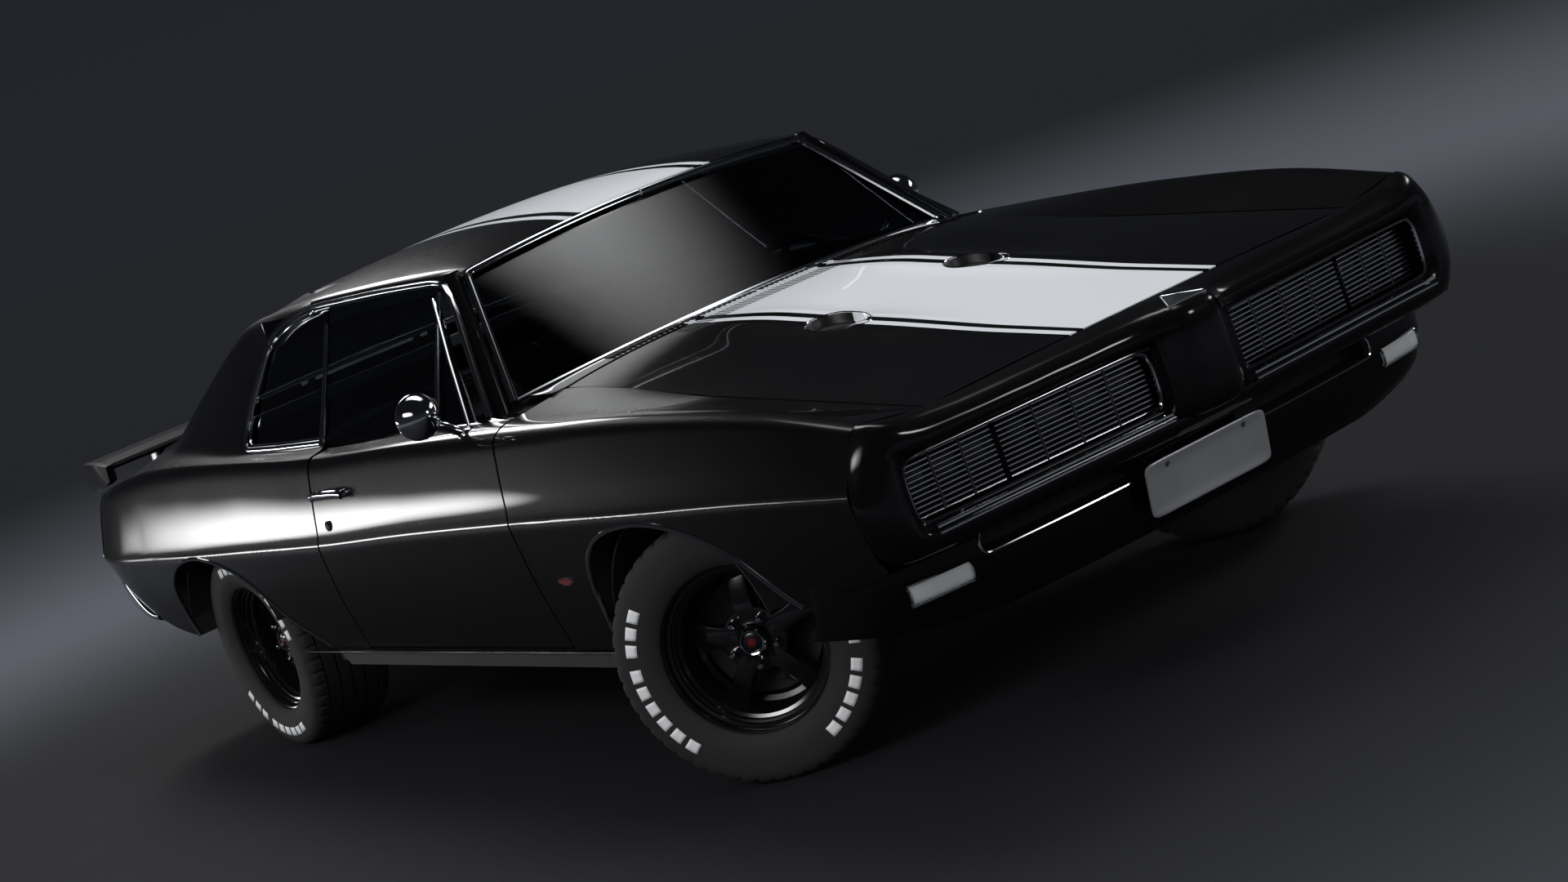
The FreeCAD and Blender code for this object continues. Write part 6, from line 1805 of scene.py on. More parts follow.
# ---------------------------------------------------------------- wheels
@dataclass
class Wheel:
    """One wheel: a grooved tyre with plain raised white blocks, and a deep five-spoke wheel.

    It is made about its own z, which runs out along the axle. `half` is half its width,
    `face_share` says how far out its face is as a share of that, and `dish` how deep the spokes
    lie behind it.
    """

    side: Side
    end: End
    lines: BodyLines
    radius: float = 0.330
    bead: float = 0.208
    spokes: int = 5
    spoke_angle: float = 18.0
    steer_angle: float = 38.0
    kingpin: float = 0.734
    face_share: float = 0.66
    dish: float = 0.052

    def __post_init__(self) -> None:
        """Find the wheel's centre, axis and width from the frame."""
        layout, front = self.lines.layout, self.end is End.FRONT
        self.half, track = (0.1145, 0.762) if front else (0.141, 0.712)
        steered = Matrix.Rotation(math.radians(self.steer_angle) if front else 0.0, 4, "Z")
        out = steered @ Vector((0, self.side, 0))
        pivot = Vector((layout.front_axle if front else layout.rear_axle,
                        self.side * (self.kingpin if front else track), self.radius))
        centre = pivot + out * (track - self.kingpin if front else 0)
        self.place = Matrix.Translation(centre) @ out.to_track_quat("Z", "Y").to_matrix().to_4x4()

    def called(self, what: str) -> str:
        """The name of this wheel's body or of one of its nodes."""
        return f"{self.end.value}_{what}_{self.side.label}"

    def spun(self, name: str, profile: list, finish: Finish, steps: int = 96, angle: float = 35,
             base: float = 0.0) -> bpy.types.Object:
        """A ring spun about the wheel's own axis from (out from the base, radius) points."""
        rows = np.array([[(r * math.cos(a), r * math.sin(a), base + z) for z, r in profile]
                         for a in turns(steps)])
        closed = bool(np.allclose(profile[0], profile[-1]))
        loop = rows[:, :-1] if closed else rows
        return sheet(name, loop, finish, round_rows=True, round_columns=closed, angle=angle)

    def tyre(self) -> bpy.types.Object:
        """The tyre, with grooves round its tread and blocks at its shoulders."""
        h, r, b = self.half, self.radius, self.bead
        tread, edge, w = [], 0.80, 0.030
        for g in (-0.62, -0.31, 0.0, 0.31, 0.62):
            tread += [((g - w) * h, r - 0.0008), ((g - w) * h, r - 0.0075),
                      ((g + w) * h, r - 0.0075), ((g + w) * h, r - 0.0008)]
        outer = [(0.86 * h, r - 0.003), (0.93 * h, r - 0.011), (0.975 * h, r - 0.024),
                 (0.992 * h, r - 0.040), (1.0 * h, r - 0.060), (0.996 * h, r - 0.076),
                 (0.975 * h, r - 0.094), (0.93 * h, b + 0.016), (0.90 * h, b + 0.006),
                 (0.86 * h, b + 0.001), (0.80 * h, b)]
        inner = [(-z, radius) for z, radius in outer[::-1]]
        liner = [(0.62 * h, b + 0.012), (-0.62 * h, b + 0.012)]
        profile = inner + [(-edge * h, r - 0.001)] + tread + [(edge * h, r - 0.001)] + outer + liner
        rows = []
        for k, a in enumerate(turns(240)):
            row = []
            for z, radius in profile:
                shoulder = 0.64 * h < abs(z) < 0.95 * h and radius > r - 0.02
                cut = radius - 0.005 if k % 5 == 0 and shoulder else radius
                row.append((cut * math.cos(a), cut * math.sin(a), z))
            rows.append(row)
        return sheet("tyre", rows, RUBBER, round_rows=True, round_columns=True, angle=30)

    def white_blocks(self, start: float, count: int) -> list:
        """Plain raised white blocks along an arc of the sidewall, from an angle in degrees."""
        pieces, step, low, high = [], 9.0, 0.262, 0.290
        for k in range(count):
            middle = math.radians(start + k * step)
            half_angle = math.radians(step * 0.36)
            rows = []
            for a in np.linspace(middle - half_angle, middle + half_angle, 5):
                line = []
                for radius in np.linspace(low, high, 4):
                    z = self.sidewall(radius) + 0.0012
                    line.append((radius * math.cos(a), radius * math.sin(a), z))
                rows.append(line)
            pieces.append(pressed("block", rows, WHITE_RUBBER, UP, 0.003))
        return pieces

    def sidewall(self, radius: float) -> float:
        """How far out the sidewall is at a radius."""
        h, r, b = self.half, self.radius, self.bead
        points = [(b + 0.016, 0.93 * h), (r - 0.094, 0.975 * h), (r - 0.076, 0.996 * h),
                  (r - 0.060, 1.0 * h), (r - 0.040, 0.992 * h), (r - 0.024, 0.975 * h)]
        return float(np.interp(radius, [p[0] for p in points], [p[1] for p in points]))

    def rim(self) -> bpy.types.Object:
        """The rim: a rolled lip and steps down to a deep barrel."""
        h = self.half
        face = self.face_share * h
        profile = [(0.78 * h, 0.205), (0.80 * h, 0.212), (face + 0.022, 0.2165),
                   (face + 0.018, 0.2115), (face + 0.012, 0.2035), (face + 0.008, 0.2015),
                   (face - 0.002, 0.200), (face - 0.003, 0.1925), (face - 0.012, 0.191),
                   (face - 0.014, 0.1855), (face - 0.026, 0.184), (face - 0.030, 0.176),
                   (face - 0.060, 0.173), (-0.3 * h, 0.170), (-0.36 * h, 0.158), (-0.52 * h, 0.158),
                   (-0.56 * h, 0.190), (-0.84 * h, 0.200), (-0.86 * h, 0.209), (-0.80 * h, 0.211),
                   (-0.56 * h, 0.204), (0.0, 0.190), (0.5 * h, 0.201), (0.78 * h, 0.205)]
        return self.spun("rim", profile, WHEEL_BLACK, 120, 25)

    def spoke(self) -> bpy.types.Object:
        """One tapering spoke from the hub to the barrel, dished and rounded."""
        rows, deep = [], self.face_share * self.half - self.dish
        for share in np.linspace(0, 1, 12):
            radius = 0.044 + share * 0.132
            width = 0.019 + 0.012 * (1 - share) ** 2 + 0.017 * share ** 2.2
            top = deep - 0.004 + 0.004 * math.sin(share * math.pi) - 0.022 * share ** 2
            back = top - 0.022
            loop = [(-width, back), (-width, top - 0.010), (-width * 0.86, top - 0.003),
                    (-width * 0.5, top), (0, top - 0.0025), (width * 0.5, top),
                    (width * 0.86, top - 0.003), (width, top - 0.010), (width, back)]
            rows.append([(radius, y, z) for y, z in loop])
        return solid("spoke", rows, WHEEL_BLACK, angle=40)

    def centre_parts(self) -> list:
        """Hub, nuts and cap, and the drum behind them."""
        h = self.half
        deep = self.face_share * h - self.dish
        hub = self.spun("hub", [(-0.03, 0.001), (-0.03, 0.082), (-0.010, 0.082), (-0.006, 0.078),
                                (-0.004, 0.050), (-0.001, 0.042), (0.012, 0.037), (0.014, 0.034),
                                (0.013, 0.001)], WHEEL_BLACK, 80, base=deep)
        ring = self.spun("cap_ring",
                         [(0.010, 0.036), (0.018, 0.0335), (0.021, 0.030), (0.0195, 0.0265),
                          (0.014, 0.0255), (0.010, 0.036)], CHROME, 64, base=deep)
        cap = self.spun("cap", [(0.013, 0.0262), (0.0165, 0.022), (0.018, 0.012), (0.0185, 0.0006)],
                        WHEEL_PLASTIC, 48, base=deep)
        dot = self.spun("cap_dot", [(0.0175, 0.0115), (0.0195, 0.010), (0.0200, 0.0006)],
                        RED_ENAMEL, 32, base=deep)
        nuts, circle = [], 0.061
        for k in range(self.spokes):
            a = 2 * math.pi * (k + 0.5) / self.spokes
            nut = self.spun("nut",
                            [(-0.008, 0.0115), (0.004, 0.0105), (0.010, 0.0095), (0.019, 0.0085),
                             (0.0225, 0.006), (0.0235, 0.0006)], CHROME, 18, 40, base=deep)
            nut.data.transform(Matrix.Translation((circle * math.cos(a), circle * math.sin(a), 0)))
            nuts.append(nut)
        drum = self.spun("drum",
                         [(-0.42 * h, 0.001), (-0.42 * h, 0.06), (-0.40 * h, 0.148),
                          (-0.62 * h, 0.150)], CAST_IRON, 64)
        return [hub, ring, cap, dot] + nuts + [drum]

    def build(self) -> None:
        """Make the wheel at the origin, then move its points into place."""
        tyre, first = [self.tyre()], 147 if self.end is End.FRONT else 215
        # Runs of white blocks. Columns: degrees after the first run's start, blocks.
        for after, count in ((0, 3), (31, 6), (156, 5), (206, 6)):
            tyre += self.white_blocks(first + after, count)
        tyre = joined(self.called("tyre") + "_rubber", tyre)
        spoke = self.spoke()
        spokes = [moved_copy(spoke, f"spoke_{k}",
                             Matrix.Rotation(2 * math.pi * k / self.spokes, 4, "Z"))
                  for k in range(1, self.spokes)]
        wheel = joined(self.called("wheel") + "_metal", [self.rim(), spoke] + spokes
                       + self.centre_parts())
        turn = Matrix.Rotation(math.radians(self.spoke_angle), 4, "Z")
        for piece, node, slot, place in ((tyre, "tyre", "tyre_rubber", self.place),
                                         (wheel, "rim", "rim_paint", self.place @ turn)):
            piece.data.transform(place)
            placed(piece, self.called("wheel"), self.called(node), slot=slot)


# ---------------------------------------------------------------- carried-over nodes
@dataclass(frozen=True)
class NodeFinishes:
    """What the frame's own nodes are made of, by material slot and by node."""

    by_slot: dict
    by_node: dict

    def apply(self, frame: dict) -> None:
        """Give every node of the frame its material."""
        for part in frame["record"]["subparts"]:
            name = part["node"]
            finish = self.by_node.get(name) or self.by_slot.get(part["material_slot"])
            piece = bpy.data.objects.get(name)
            if piece is None or finish is None:
                LOG.info("no finish for %s", name)
                continue
            if not piece.material_slots:
                piece.data.materials.append(finish.material())
            for slot in piece.material_slots:
                slot.material = finish.material()


# ---------------------------------------------------------------- engine bay
@dataclass
class EngineBay:
    """The eight-cylinder engine with its gearbox, and what stands round it under the hood."""

    lines: BodyLines
    lean: float = math.radians(45)
    tall: float = 470

    def __post_init__(self) -> None:
        """Read the room that the engine has."""
        self.low, self.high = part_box("engine")
        self.foot = self.high.z * 1000 - self.tall

    def at(self, ahead: float, y: float, up: float) -> Vector:
        """The point that far ahead, out and up from the sump's foot, in metres from millimetres."""
        return self.lines.layout.at(ahead, y, self.foot + up)

    def tilt(self, side: Side) -> Matrix:
        """How one side's cylinder bank leans."""
        return Matrix.Rotation(-self.lean * side, 4, "X")

    def castings(self) -> None:
        """Crankcase, sump, cylinder banks and gearbox."""
        at = self.at
        pieces = [
            block("crankcase", at(-470, -125, 60), at(170, 125, 300), ENGINE_ENAMEL, 0.015, 3),
            block("sump", at(-430, -120, 0), at(60, 120, 75), ENGINE_ENAMEL, 0.025, 4)]
        for side in Side:
            pieces.append(block("cylinder_bank", at(-450, side * 150 - 85, 195),
                                at(140, side * 150 + 85, 385), ENGINE_ENAMEL, 0.012, 3,
                                self.tilt(side)))
            pieces.append(block("engine_mount", at(-70, side * 160 - 40, 20),
                                at(70, side * 160 + 40, 150), CAST_IRON, 0.012, 3))
        start = at(-466, 0, 180)
        reach = start.x - self.low.x
        profile = [(0, 0), (0, 0.185), (0.02, 0.188), (0.2, 0.125), (0.24, 0.11), (0.66, 0.098),
                   (0.7, 0.07), (0.96, 0.05), (1.0, 0.046), (1.0, 0)]
        pieces.append(turned("gearbox", [(a * reach, r) for a, r in profile], CAST_IRON, start,
                             -AHEAD))
        placed(joined("engine_castings", pieces), "body", "engine", slot="engine_iron")

    def covers(self) -> None:
        """Bright ribbed valve covers with their filler caps, and the exhaust manifolds."""
        at, covers, pipes = self.at, [], []
        for side in Side:
            y, up, tilt = side * 237, 377, self.tilt(side)
            covers.append(block("valve_cover", at(-435, y - 58, up - 30), at(125, y + 58, up + 30),
                                CHROME, 0.018, 4, tilt))
            for k in range(9):
                ahead = -411 + 64 * k
                covers.append(block("rib", at(ahead - 4, y - 44, up - 33),
                                    at(ahead + 4, y + 44, up + 33), CHROME, 0.002, 1, tilt))
            cap = turned("filler_cap",
                         [(0, 0), (0, 0.022), (0.012, 0.026), (0.02, 0.024), (0.024, 0.014),
                          (0.024, 0)], GRILLE_BLACK_AND_PAINTED_SHADE, at(60, y + side * 20, up + 22),
                         Vector((0, side * 0.707, 0.707)), 24)
            covers.append(cap)
            log = [at(120, side * 262, 236), at(-100, side * 266, 232), at(-360, side * 262, 226),
                   at(-440, side * 240, 160), at(-470, side * 215, 60)]
            pipes.append(swept("manifold", curve([tuple(p) for p in log], 40),
                               tube_section(0.025, 14), CAST_IRON))
            for k in range(4):
                ahead = 90 - 140 * k
                port = [at(ahead, side * 200, 290), at(ahead, side * 235, 268),
                        at(ahead, side * 262, 236)]
                pipes.append(swept("port", port, tube_section(0.02, 12), CAST_IRON))
        placed(joined("valve_covers", covers), "body", slot="chrome_trim")
        placed(joined("exhaust_manifolds", pipes), "body", slot="cast_steel")

    def intake(self) -> None:
        """Intake manifold, carburettor, air cleaner and distributor with its leads."""
        at = self.at
        pieces = [block("intake", at(-360, -95, 345), at(70, 95, 425), CAST_IRON, 0.02, 3),
                  block("carburettor", at(-235, -62, 420), at(-85, 62, 470), TIN_PLATE, 0.008, 3)]
        for k in range(4):
            for side in Side:
                ahead = 30 - 120 * k
                runner = [at(ahead - 40, side * 40, 400), at(ahead - 10, side * 95, 392),
                          at(ahead, side * 150, 360)]
                pieces.append(swept("runner", runner, tube_section(0.024, 12), CAST_IRON))
        drum = [(0, 0), (0, 0.06), (0.008, 0.15), (0.012, 0.16), (0.05, 0.16), (0.054, 0.176),
                (0.062, 0.18), (0.068, 0.172), (0.074, 0.06), (0.078, 0.03), (0.078, 0)]
        pieces.append(turned("air_cleaner", drum, CHROME, at(-160, 0, 466), UP, 72, 30))
        pieces.append(turned("wing_nut_base", [(0, 0), (0, 0.011), (0.012, 0.009), (0.016, 0)],
                             CHROME, at(-160, 0, 544), UP, 16))
        pieces.append(block("wing_nut", at(-162, -18, 548), at(-158, 18, 562), CHROME, 0.002, 2))
        cap = [(0, 0), (0, 0.03), (0.05, 0.034), (0.055, 0.046), (0.085, 0.048), (0.098, 0.036),
               (0.098, 0)]
        centre = at(-415, 0, 400)
        pieces.append(turned("distributor", cap, GRILLE_BLACK_AND_PAINTED_SHADE, centre, UP, 32))
        for side in Side:
            for k in range(4):
                ahead = 90 - 140 * k
                turn = math.radians(45 + 30 * k)
                start = at(-415 + 30 * math.cos(turn), side * 30 * math.sin(turn), 496)
                lead = [tuple(start), tuple(start + Vector((0, 0, 0.03))),
                        tuple(at((ahead - 415) / 2, side * 120, 470)),
                        tuple(at(ahead, side * 178, 440)), tuple(at(ahead, side * 300, 320)),
                        tuple(at(ahead, side * 262, 296))]
                pieces.append(swept("lead", curve(lead, 30), tube_section(0.0035, 6), RUBBER))
        placed(joined("intake_and_ignition", pieces), "body", slot="cast_steel")

    def front_drive(self) -> None:
        """Pulleys, belt, alternator and fan at the engine's front."""
        at, pieces = self.at, []
        pulleys = {"crank": (0, 110, 0.088), "pump": (0, 290, 0.07),
                   "alternator": (-185, 300, 0.04)}
        for name, (y, up, radius) in pulleys.items():
            profile = [(0, 0), (0, radius), (0.006, radius), (0.012, radius - 0.009),
                       (0.018, radius), (0.024, radius), (0.024, radius - 0.02),
                       (0.012, radius - 0.024), (0.012, 0)]
            pieces.append(turned(name + "_pulley", profile, GRILLE_BLACK_AND_PAINTED_SHADE, at(172, y, up), AHEAD,
                                 40))
        belt = []
        for turn in turns(90):
            c, s = math.cos(turn), math.sin(turn)
            y, up, radius = max(pulleys.values(), key=lambda p: p[0] * c + p[1] * s + p[2] * 1000)
            belt.append(at(184, y + radius * 990 * c, up + radius * 990 * s))
        pieces.append(swept("belt", belt, flat_section(0.010, 0.006, 0.1), RUBBER, closed=True,
                            up=AHEAD))
        body = [(0, 0), (0, 0.04), (0.02, 0.062), (0.12, 0.062), (0.14, 0.045), (0.14, 0)]
        pieces.append(turned("alternator", body, TIN_PLATE, at(165, -185, 300), -AHEAD, 32))
        hub = at(215, 0, 290)
        pieces.append(turned("fan_hub",
                             [(-0.03, 0), (-0.03, 0.03), (0, 0.05), (0.008, 0.05), (0.014, 0.02),
                              (0.014, 0)], GRILLE_BLACK_AND_PAINTED_SHADE, hub, AHEAD, 32))
        for k in range(6):
            blade = block("fan_blade", (-0.0015, -0.038, 0.045), (0.0015, 0.038, 0.2), TIN_PLATE,
                          0.0012, 1)
            blade.data.transform(Matrix.Translation(hub) @ Matrix.Rotation(k * math.pi / 3, 4, "X")
                                 @ Matrix.Rotation(math.radians(28), 4, "Z"))
            pieces.append(blade)
        placed(joined("fan_and_belt", pieces), "body", slot="chassis_black")

    def radiator(self) -> None:
        """The finned radiator with its tanks, cap and hoses."""
        at = self.at
        pieces = [block("radiator_core", at(462, -300, 70), at(500, 300, 400), GRILLE_BLACK_AND_PAINTED_SHADE, 0.002,
                        1),
                  block("top_tank", at(452, -310, 396), at(512, 310, 452), GRILLE_BLACK_AND_PAINTED_SHADE, 0.012, 4),
                  block("bottom_tank", at(452, -310, 30), at(512, 310, 74), GRILLE_BLACK_AND_PAINTED_SHADE, 0.012, 4)]
        for k in range(60):
            y = -295 + 10 * k
            pieces.append(block("fin", at(457, y - 0.8, 74), at(505, y + 0.8, 396), TIN_PLATE, 0))
        pieces.append(turned("radiator_cap",
                             [(0, 0), (0, 0.02), (0.008, 0.032), (0.016, 0.032), (0.02, 0.02),
                              (0.02, 0)], CHROME, at(482, 0, 450), UP, 24))
        for path in ([(460, 200, 425), (400, 205, 428), (250, 130, 430), (110, 40, 415),
                      (60, 20, 400)],
                     [(460, -220, 60), (390, -222, 70), (280, -150, 180), (190, -70, 250),
                      (165, -40, 270)]):
            points = [tuple(at(*p)) for p in path]
            pieces.append(swept("hose", curve(points, 40, 0.4, 6), tube_section(0.022, 16), RUBBER))
        placed(joined("radiator", pieces), "body", slot="chassis_black")

    def fittings(self) -> None:
        """Battery and brake servo."""
        at = self.at
        pieces = [block("battery", at(490, -560, 190), at(660, -400, 370), GRILLE_BLACK_AND_PAINTED_SHADE, 0.006, 3),
                  block("battery_tray", at(480, -570, 178), at(670, -390, 192), CAST_IRON, 0.004,
                        2)]
        for k in range(6):
            pieces.append(turned("cell_cap", [(0, 0), (0, 0.012), (0.007, 0.011), (0.008, 0)],
                                 RED_ENAMEL, at(510 + 26 * k, -480, 369), UP, 14))
        for ahead in (515, 635):
            pieces.append(turned("terminal", [(0, 0), (0, 0.010), (0.018, 0.008), (0.018, 0)],
                                 TIN_PLATE, at(ahead, -430, 369), UP, 14))
        servo = [(0, 0), (0, 0.09), (0.01, 0.112), (0.035, 0.118), (0.04, 0.122), (0.046, 0.118),
                 (0.075, 0.108), (0.1, 0.06), (0.104, 0.03), (0.104, 0)]
        pieces.append(turned("brake_servo", servo, TIN_PLATE, at(-560, 370, 400), AHEAD, 48))
        pieces.append(block("master_cylinder", at(-460, 340, 385), at(-330, 400, 440), CAST_IRON,
                            0.008, 3))
        pieces.append(block("fluid_lid", at(-450, 336, 438), at(-340, 404, 450), CHROME, 0.004, 3))
        placed(joined("bay_fittings", pieces), "body", slot="chassis_black")

    def build(self) -> None:
        """Everything under the hood."""
        for step in (self.castings, self.covers, self.intake, self.front_drive, self.radiator,
                     self.fittings):
            step()


# ---------------------------------------------------------------- cabin
@dataclass
class Cabin:
    """Padded seats, steering wheel, dashboard and door fittings."""

    lines: BodyLines
    frame: dict
    voxel: float = 0.006
    swell: float = 0.014

    def pad(self, name: str, low: Vector, high: Vector, crown: float, lean: float,
            pivot: Vector) -> bpy.types.Object:
        """A closed crowned cushion, a little smaller than its space, leant about its foot."""
        steps = 26
        size, middle = high - low, (high + low) / 2
        rows = []
        for i in np.linspace(-1, 1, steps):
            ring = []
            for turn in turns(48):
                c, s = math.cos(turn), math.sin(turn)
                y = math.copysign(abs(c) ** 0.35, c)
                z = math.copysign(abs(s) ** 0.5, s)
                end = (1 - abs(i) ** 7) ** 0.5 if abs(i) < 1 else 0.0
                pull = 1 - 0.04 * (1 - i * i) * (1 - y * y)
                ring.append((middle.x + i * size.x / 2 * pull,
                             middle.y + y * size.y / 2 * (0.94 + 0.06 * end),
                             middle.z + z * size.z / 2 * max(end, 0.12) + crown * (1 - i * i)
                             * (1 - y * y) * (z > 0)))
            rows.append(ring)
        piece = solid(name, rows, SEAT_VINYL, angle=60)
        piece.data.transform(Matrix.Translation(pivot) @ Matrix.Rotation(lean, 4, "Y")
                             @ Matrix.Translation(-pivot))
        return piece

    def read(self, piece: bpy.types.Object, what: str) -> np.ndarray:
        """Every vertex's place or normal, one row each."""
        values = np.empty(len(piece.data.vertices) * 3)
        piece.data.vertices.foreach_get(what, values)
        return values.reshape(-1, 3)

    def write(self, piece: bpy.types.Object, places: np.ndarray) -> None:
        """Move every vertex to a new place."""
        piece.data.vertices.foreach_set("co", places.ravel())
        piece.data.update()

    def stuffed(self, piece: bpy.types.Object) -> bpy.types.Object:
        """Swell a cushion under pressure, as its foam does its cover."""
        pick(piece)
        piece.data.remesh_voxel_size = self.voxel
        bpy.ops.object.voxel_remesh()
        rest = self.read(piece, "co")
        cloth = piece.modifiers.new("cloth", "CLOTH")
        cloth.settings.use_pressure = True
        cloth.settings.uniform_pressure_force = 4.0
        cloth.settings.effector_weights.gravity = 0.0
        cloth.settings.quality = 2
        cloth.point_cache.frame_start, cloth.point_cache.frame_end = 1, 20
        for at in range(1, 21):
            bpy.context.scene.frame_set(at)
        swollen = piece.evaluated_get(bpy.context.evaluated_depsgraph_get())
        moved = self.read(swollen, "co") - rest
        piece.modifiers.remove(cloth)
        bpy.context.scene.frame_set(1)
        reach = np.linalg.norm(moved, axis=1, keepdims=True)
        moved *= np.minimum(1, self.swell / np.maximum(reach, 1e-9))
        self.write(piece, rest + moved)
        modified(piece, "SUBSURF", levels=1)
        return piece

    def channels(self, piece: bpy.types.Object, along: Vector, pitch: float, depth: float,
                 low: float, high: float) -> bpy.types.Object:
        """Press sewn channels into a cushion's middle, a pitch apart."""
        along = np.array(Vector(along).normalized())
        places, normals = self.read(piece, "co"), self.read(piece, "normal")
        phase = (places @ along % pitch) / pitch
        edge = np.clip(np.minimum(places[:, 1] - low, high - places[:, 1]) / 0.02, 0, 1)
        level = np.linalg.norm(np.cross(normals, along), axis=1) > 0.8
        groove = np.exp(-(np.minimum(phase, 1 - phase) * pitch / 0.004) ** 2)
        places -= normals * (depth * groove * edge * level)[:, None]
        self.write(piece, places)
        return smoothed(piece, 80)

    def seats(self) -> None:
        """The front bucket seats and the rear bench."""
        layout = self.lines.layout
        at = layout.at
        foot = at(-1700, 450, 500)
        cushion = self.stuffed(self.pad("front_cushion_left", at(-1690, 185, 455),
                                        at(-1262, 715, 560), 0.012, 0.0, foot))
        cushion = self.channels(cushion, AHEAD, 0.055, 0.006, 0.27, 0.63)
        back = self.stuffed(self.pad("front_backrest_left", at(-1735, 190, 520),
                                     at(-1652, 710, 985), 0.0, math.radians(-16),
                                     at(-1690, 450, 560)))
        back = self.channels(back, Vector((0.28, 0, 0.96)), 0.055, 0.005, 0.27, 0.63)
        base_low, base_high = at(-1690, 200, 412), at(-1280, 700, 470)
        base = block("front_seat_shells", base_low, base_high, VINYL, 0.02, 4)
        rails = [block("rail", at(-1660, y - 14, 395), at(-1290, y + 14, 418), CAST_IRON, 0.004, 2)
                 for y in (290, 610)]
        shells = joined("front_seat_shells", [base] + rails)
        for piece in (cushion, back):
            other = across(piece, piece.name.replace("left", "right"))
            for pad in (piece, other):
                placed(pad, "body", "front_seats", slot="seat_vinyl")
        placed_pair(shells, slot="seat_vinyl")
        rear_x = layout.rear_axle * 1000 - layout.front_axle * 1000
        bench = self.stuffed(self.pad("rear_cushion", at(rear_x + 378, -515, 455),
                                      at(rear_x + 712, 515, 588), 0.010, 0.0, foot))
        bench = self.channels(bench, AHEAD, 0.06, 0.006, -0.45, 0.45)
        rest = self.stuffed(self.pad("rear_backrest", at(rear_x + 235, -515, 560),
                                     at(rear_x + 322, 515, 950), 0.0, math.radians(-14),
                                     at(rear_x + 300, 0, 580)))
        rest = self.channels(rest, Vector((0.24, 0, 0.97)), 0.06, 0.005, -0.45, 0.45)
        for pad in (bench, rest):
            placed(pad, "body", "rear_seat", slot="seat_vinyl")

    def door_fittings(self) -> None:
        """Armrest, pull handle and window winder on each door."""
        at, inner = self.lines.layout.at, Panels(self.lines).door_inner_y
        rest = block("armrest", at(-1580, inner - 36, 640), at(-1150, inner + 4, 688), VINYL, 0.016,
                     4)
        pull = block("pull_base", at(-1130, inner - 8, 742), at(-1040, inner + 4, 772), CHROME,
                     0.005, 3)
        grip = [at(-1058, inner - 6, 757), at(-1066, inner - 24, 757), at(-1090, inner - 28, 757),
                at(-1122, inner - 28, 757)]
        handle = swept("handle", curve([tuple(p) for p in grip], 24), flat_section(0.014, 0.007),
                       CHROME)
        hub = at(-1290, inner + 2, 600)
        boss = turned("winder_boss",
                      [(0, 0), (0, 0.026), (0.006, 0.024), (0.02, 0.012), (0.024, 0)], CHROME, hub,
                      -OUT, 32)
        arm = swept("winder_arm",
                    [at(-1290, inner - 18, 600), at(-1258, inner - 22, 575),
                     at(-1222, inner - 22, 548)], flat_section(0.014, 0.006), CHROME)
        knob = turned("winder_knob",
                      [(0, 0), (0, 0.011), (0.018, 0.014), (0.03, 0.010), (0.033, 0)], GRILLE_BLACK_AND_PAINTED_SHADE,
                      at(-1222, inner - 20, 548), -OUT, 24)
        left = joined("door_left_fittings", [rest, pull, handle, boss, arm, knob])
        right = across(left, "door_right_fittings")
        placed(left, "door_left", slot="dash_vinyl")
        placed(right, "door_right", slot="dash_vinyl")

    def wheel(self) -> None:
        """The steering wheel: a gripped rim, three spokes and a padded hub."""
        joint = next(j for j in self.frame["joints"] if j["name"] == "steering_wheel_turn")
        axis = Vector(joint["axis"]).normalized()
        low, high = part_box("steering_wheel")
        centre = Vector([(a + b) / 2 for a, b in zip(low, high)])
        if axis.x > 0:
            axis = -axis
        radius = (high.y - low.y) / 2 - 0.013
        across_wheel = OUT
        upward = axis.cross(across_wheel).normalized()
        rows = []
        for k, a in enumerate(turns(96)):
            spot = centre + across_wheel * radius * math.cos(a) + upward * radius * math.sin(a)
            outward = (spot - centre).normalized()
            ring = []
            for b in turns(14):
                grip = 0.0118 - 0.0012 * (k % 4 == 0)
                ring.append(spot + outward * grip * math.cos(b) + axis * grip * math.sin(b))
            rows.append(ring)
        rim = sheet("rim", rows, WHEEL_PLASTIC, round_rows=True, round_columns=True, angle=50)
        pieces = [rim]
        for a in (math.pi / 2 * 3, math.pi * 0.06, math.pi * 0.94):
            direction = across_wheel * math.cos(a) + upward * math.sin(a)
            side = direction.cross(axis).normalized()
            rows = []
            for share in np.linspace(0, 1, 10):
                reach, rise = 0.024 + share * (radius - 0.030), (1 - share) ** 2
                spot = centre + direction * reach + axis * 0.010 * rise
                width = 0.017 - 0.005 * math.sin(share * math.pi)
                rows.append([spot + side * u * width + axis * v * 0.003
                             for u, v in ((-1, 0), (-0.9, 0.8), (0, 1), (0.9, 0.8), (1, 0),
                                          (0.9, -0.8), (0, -1), (-0.9, -0.8))])
            pieces.append(solid("spoke", rows, ALUMINIUM, angle=50))
        hub = turned("hub",
                     [(-0.014, 0), (-0.014, 0.026), (0.004, 0.031), (0.012, 0.028), (0.0145, 0.018),
                      (0.0145, 0.0)], WHEEL_PLASTIC, centre, axis, 40, 50)
        placed(joined("steering_wheel_rim", pieces + [hub]), "steering_wheel", "steering_wheel",
               slot="wheel_plastic")

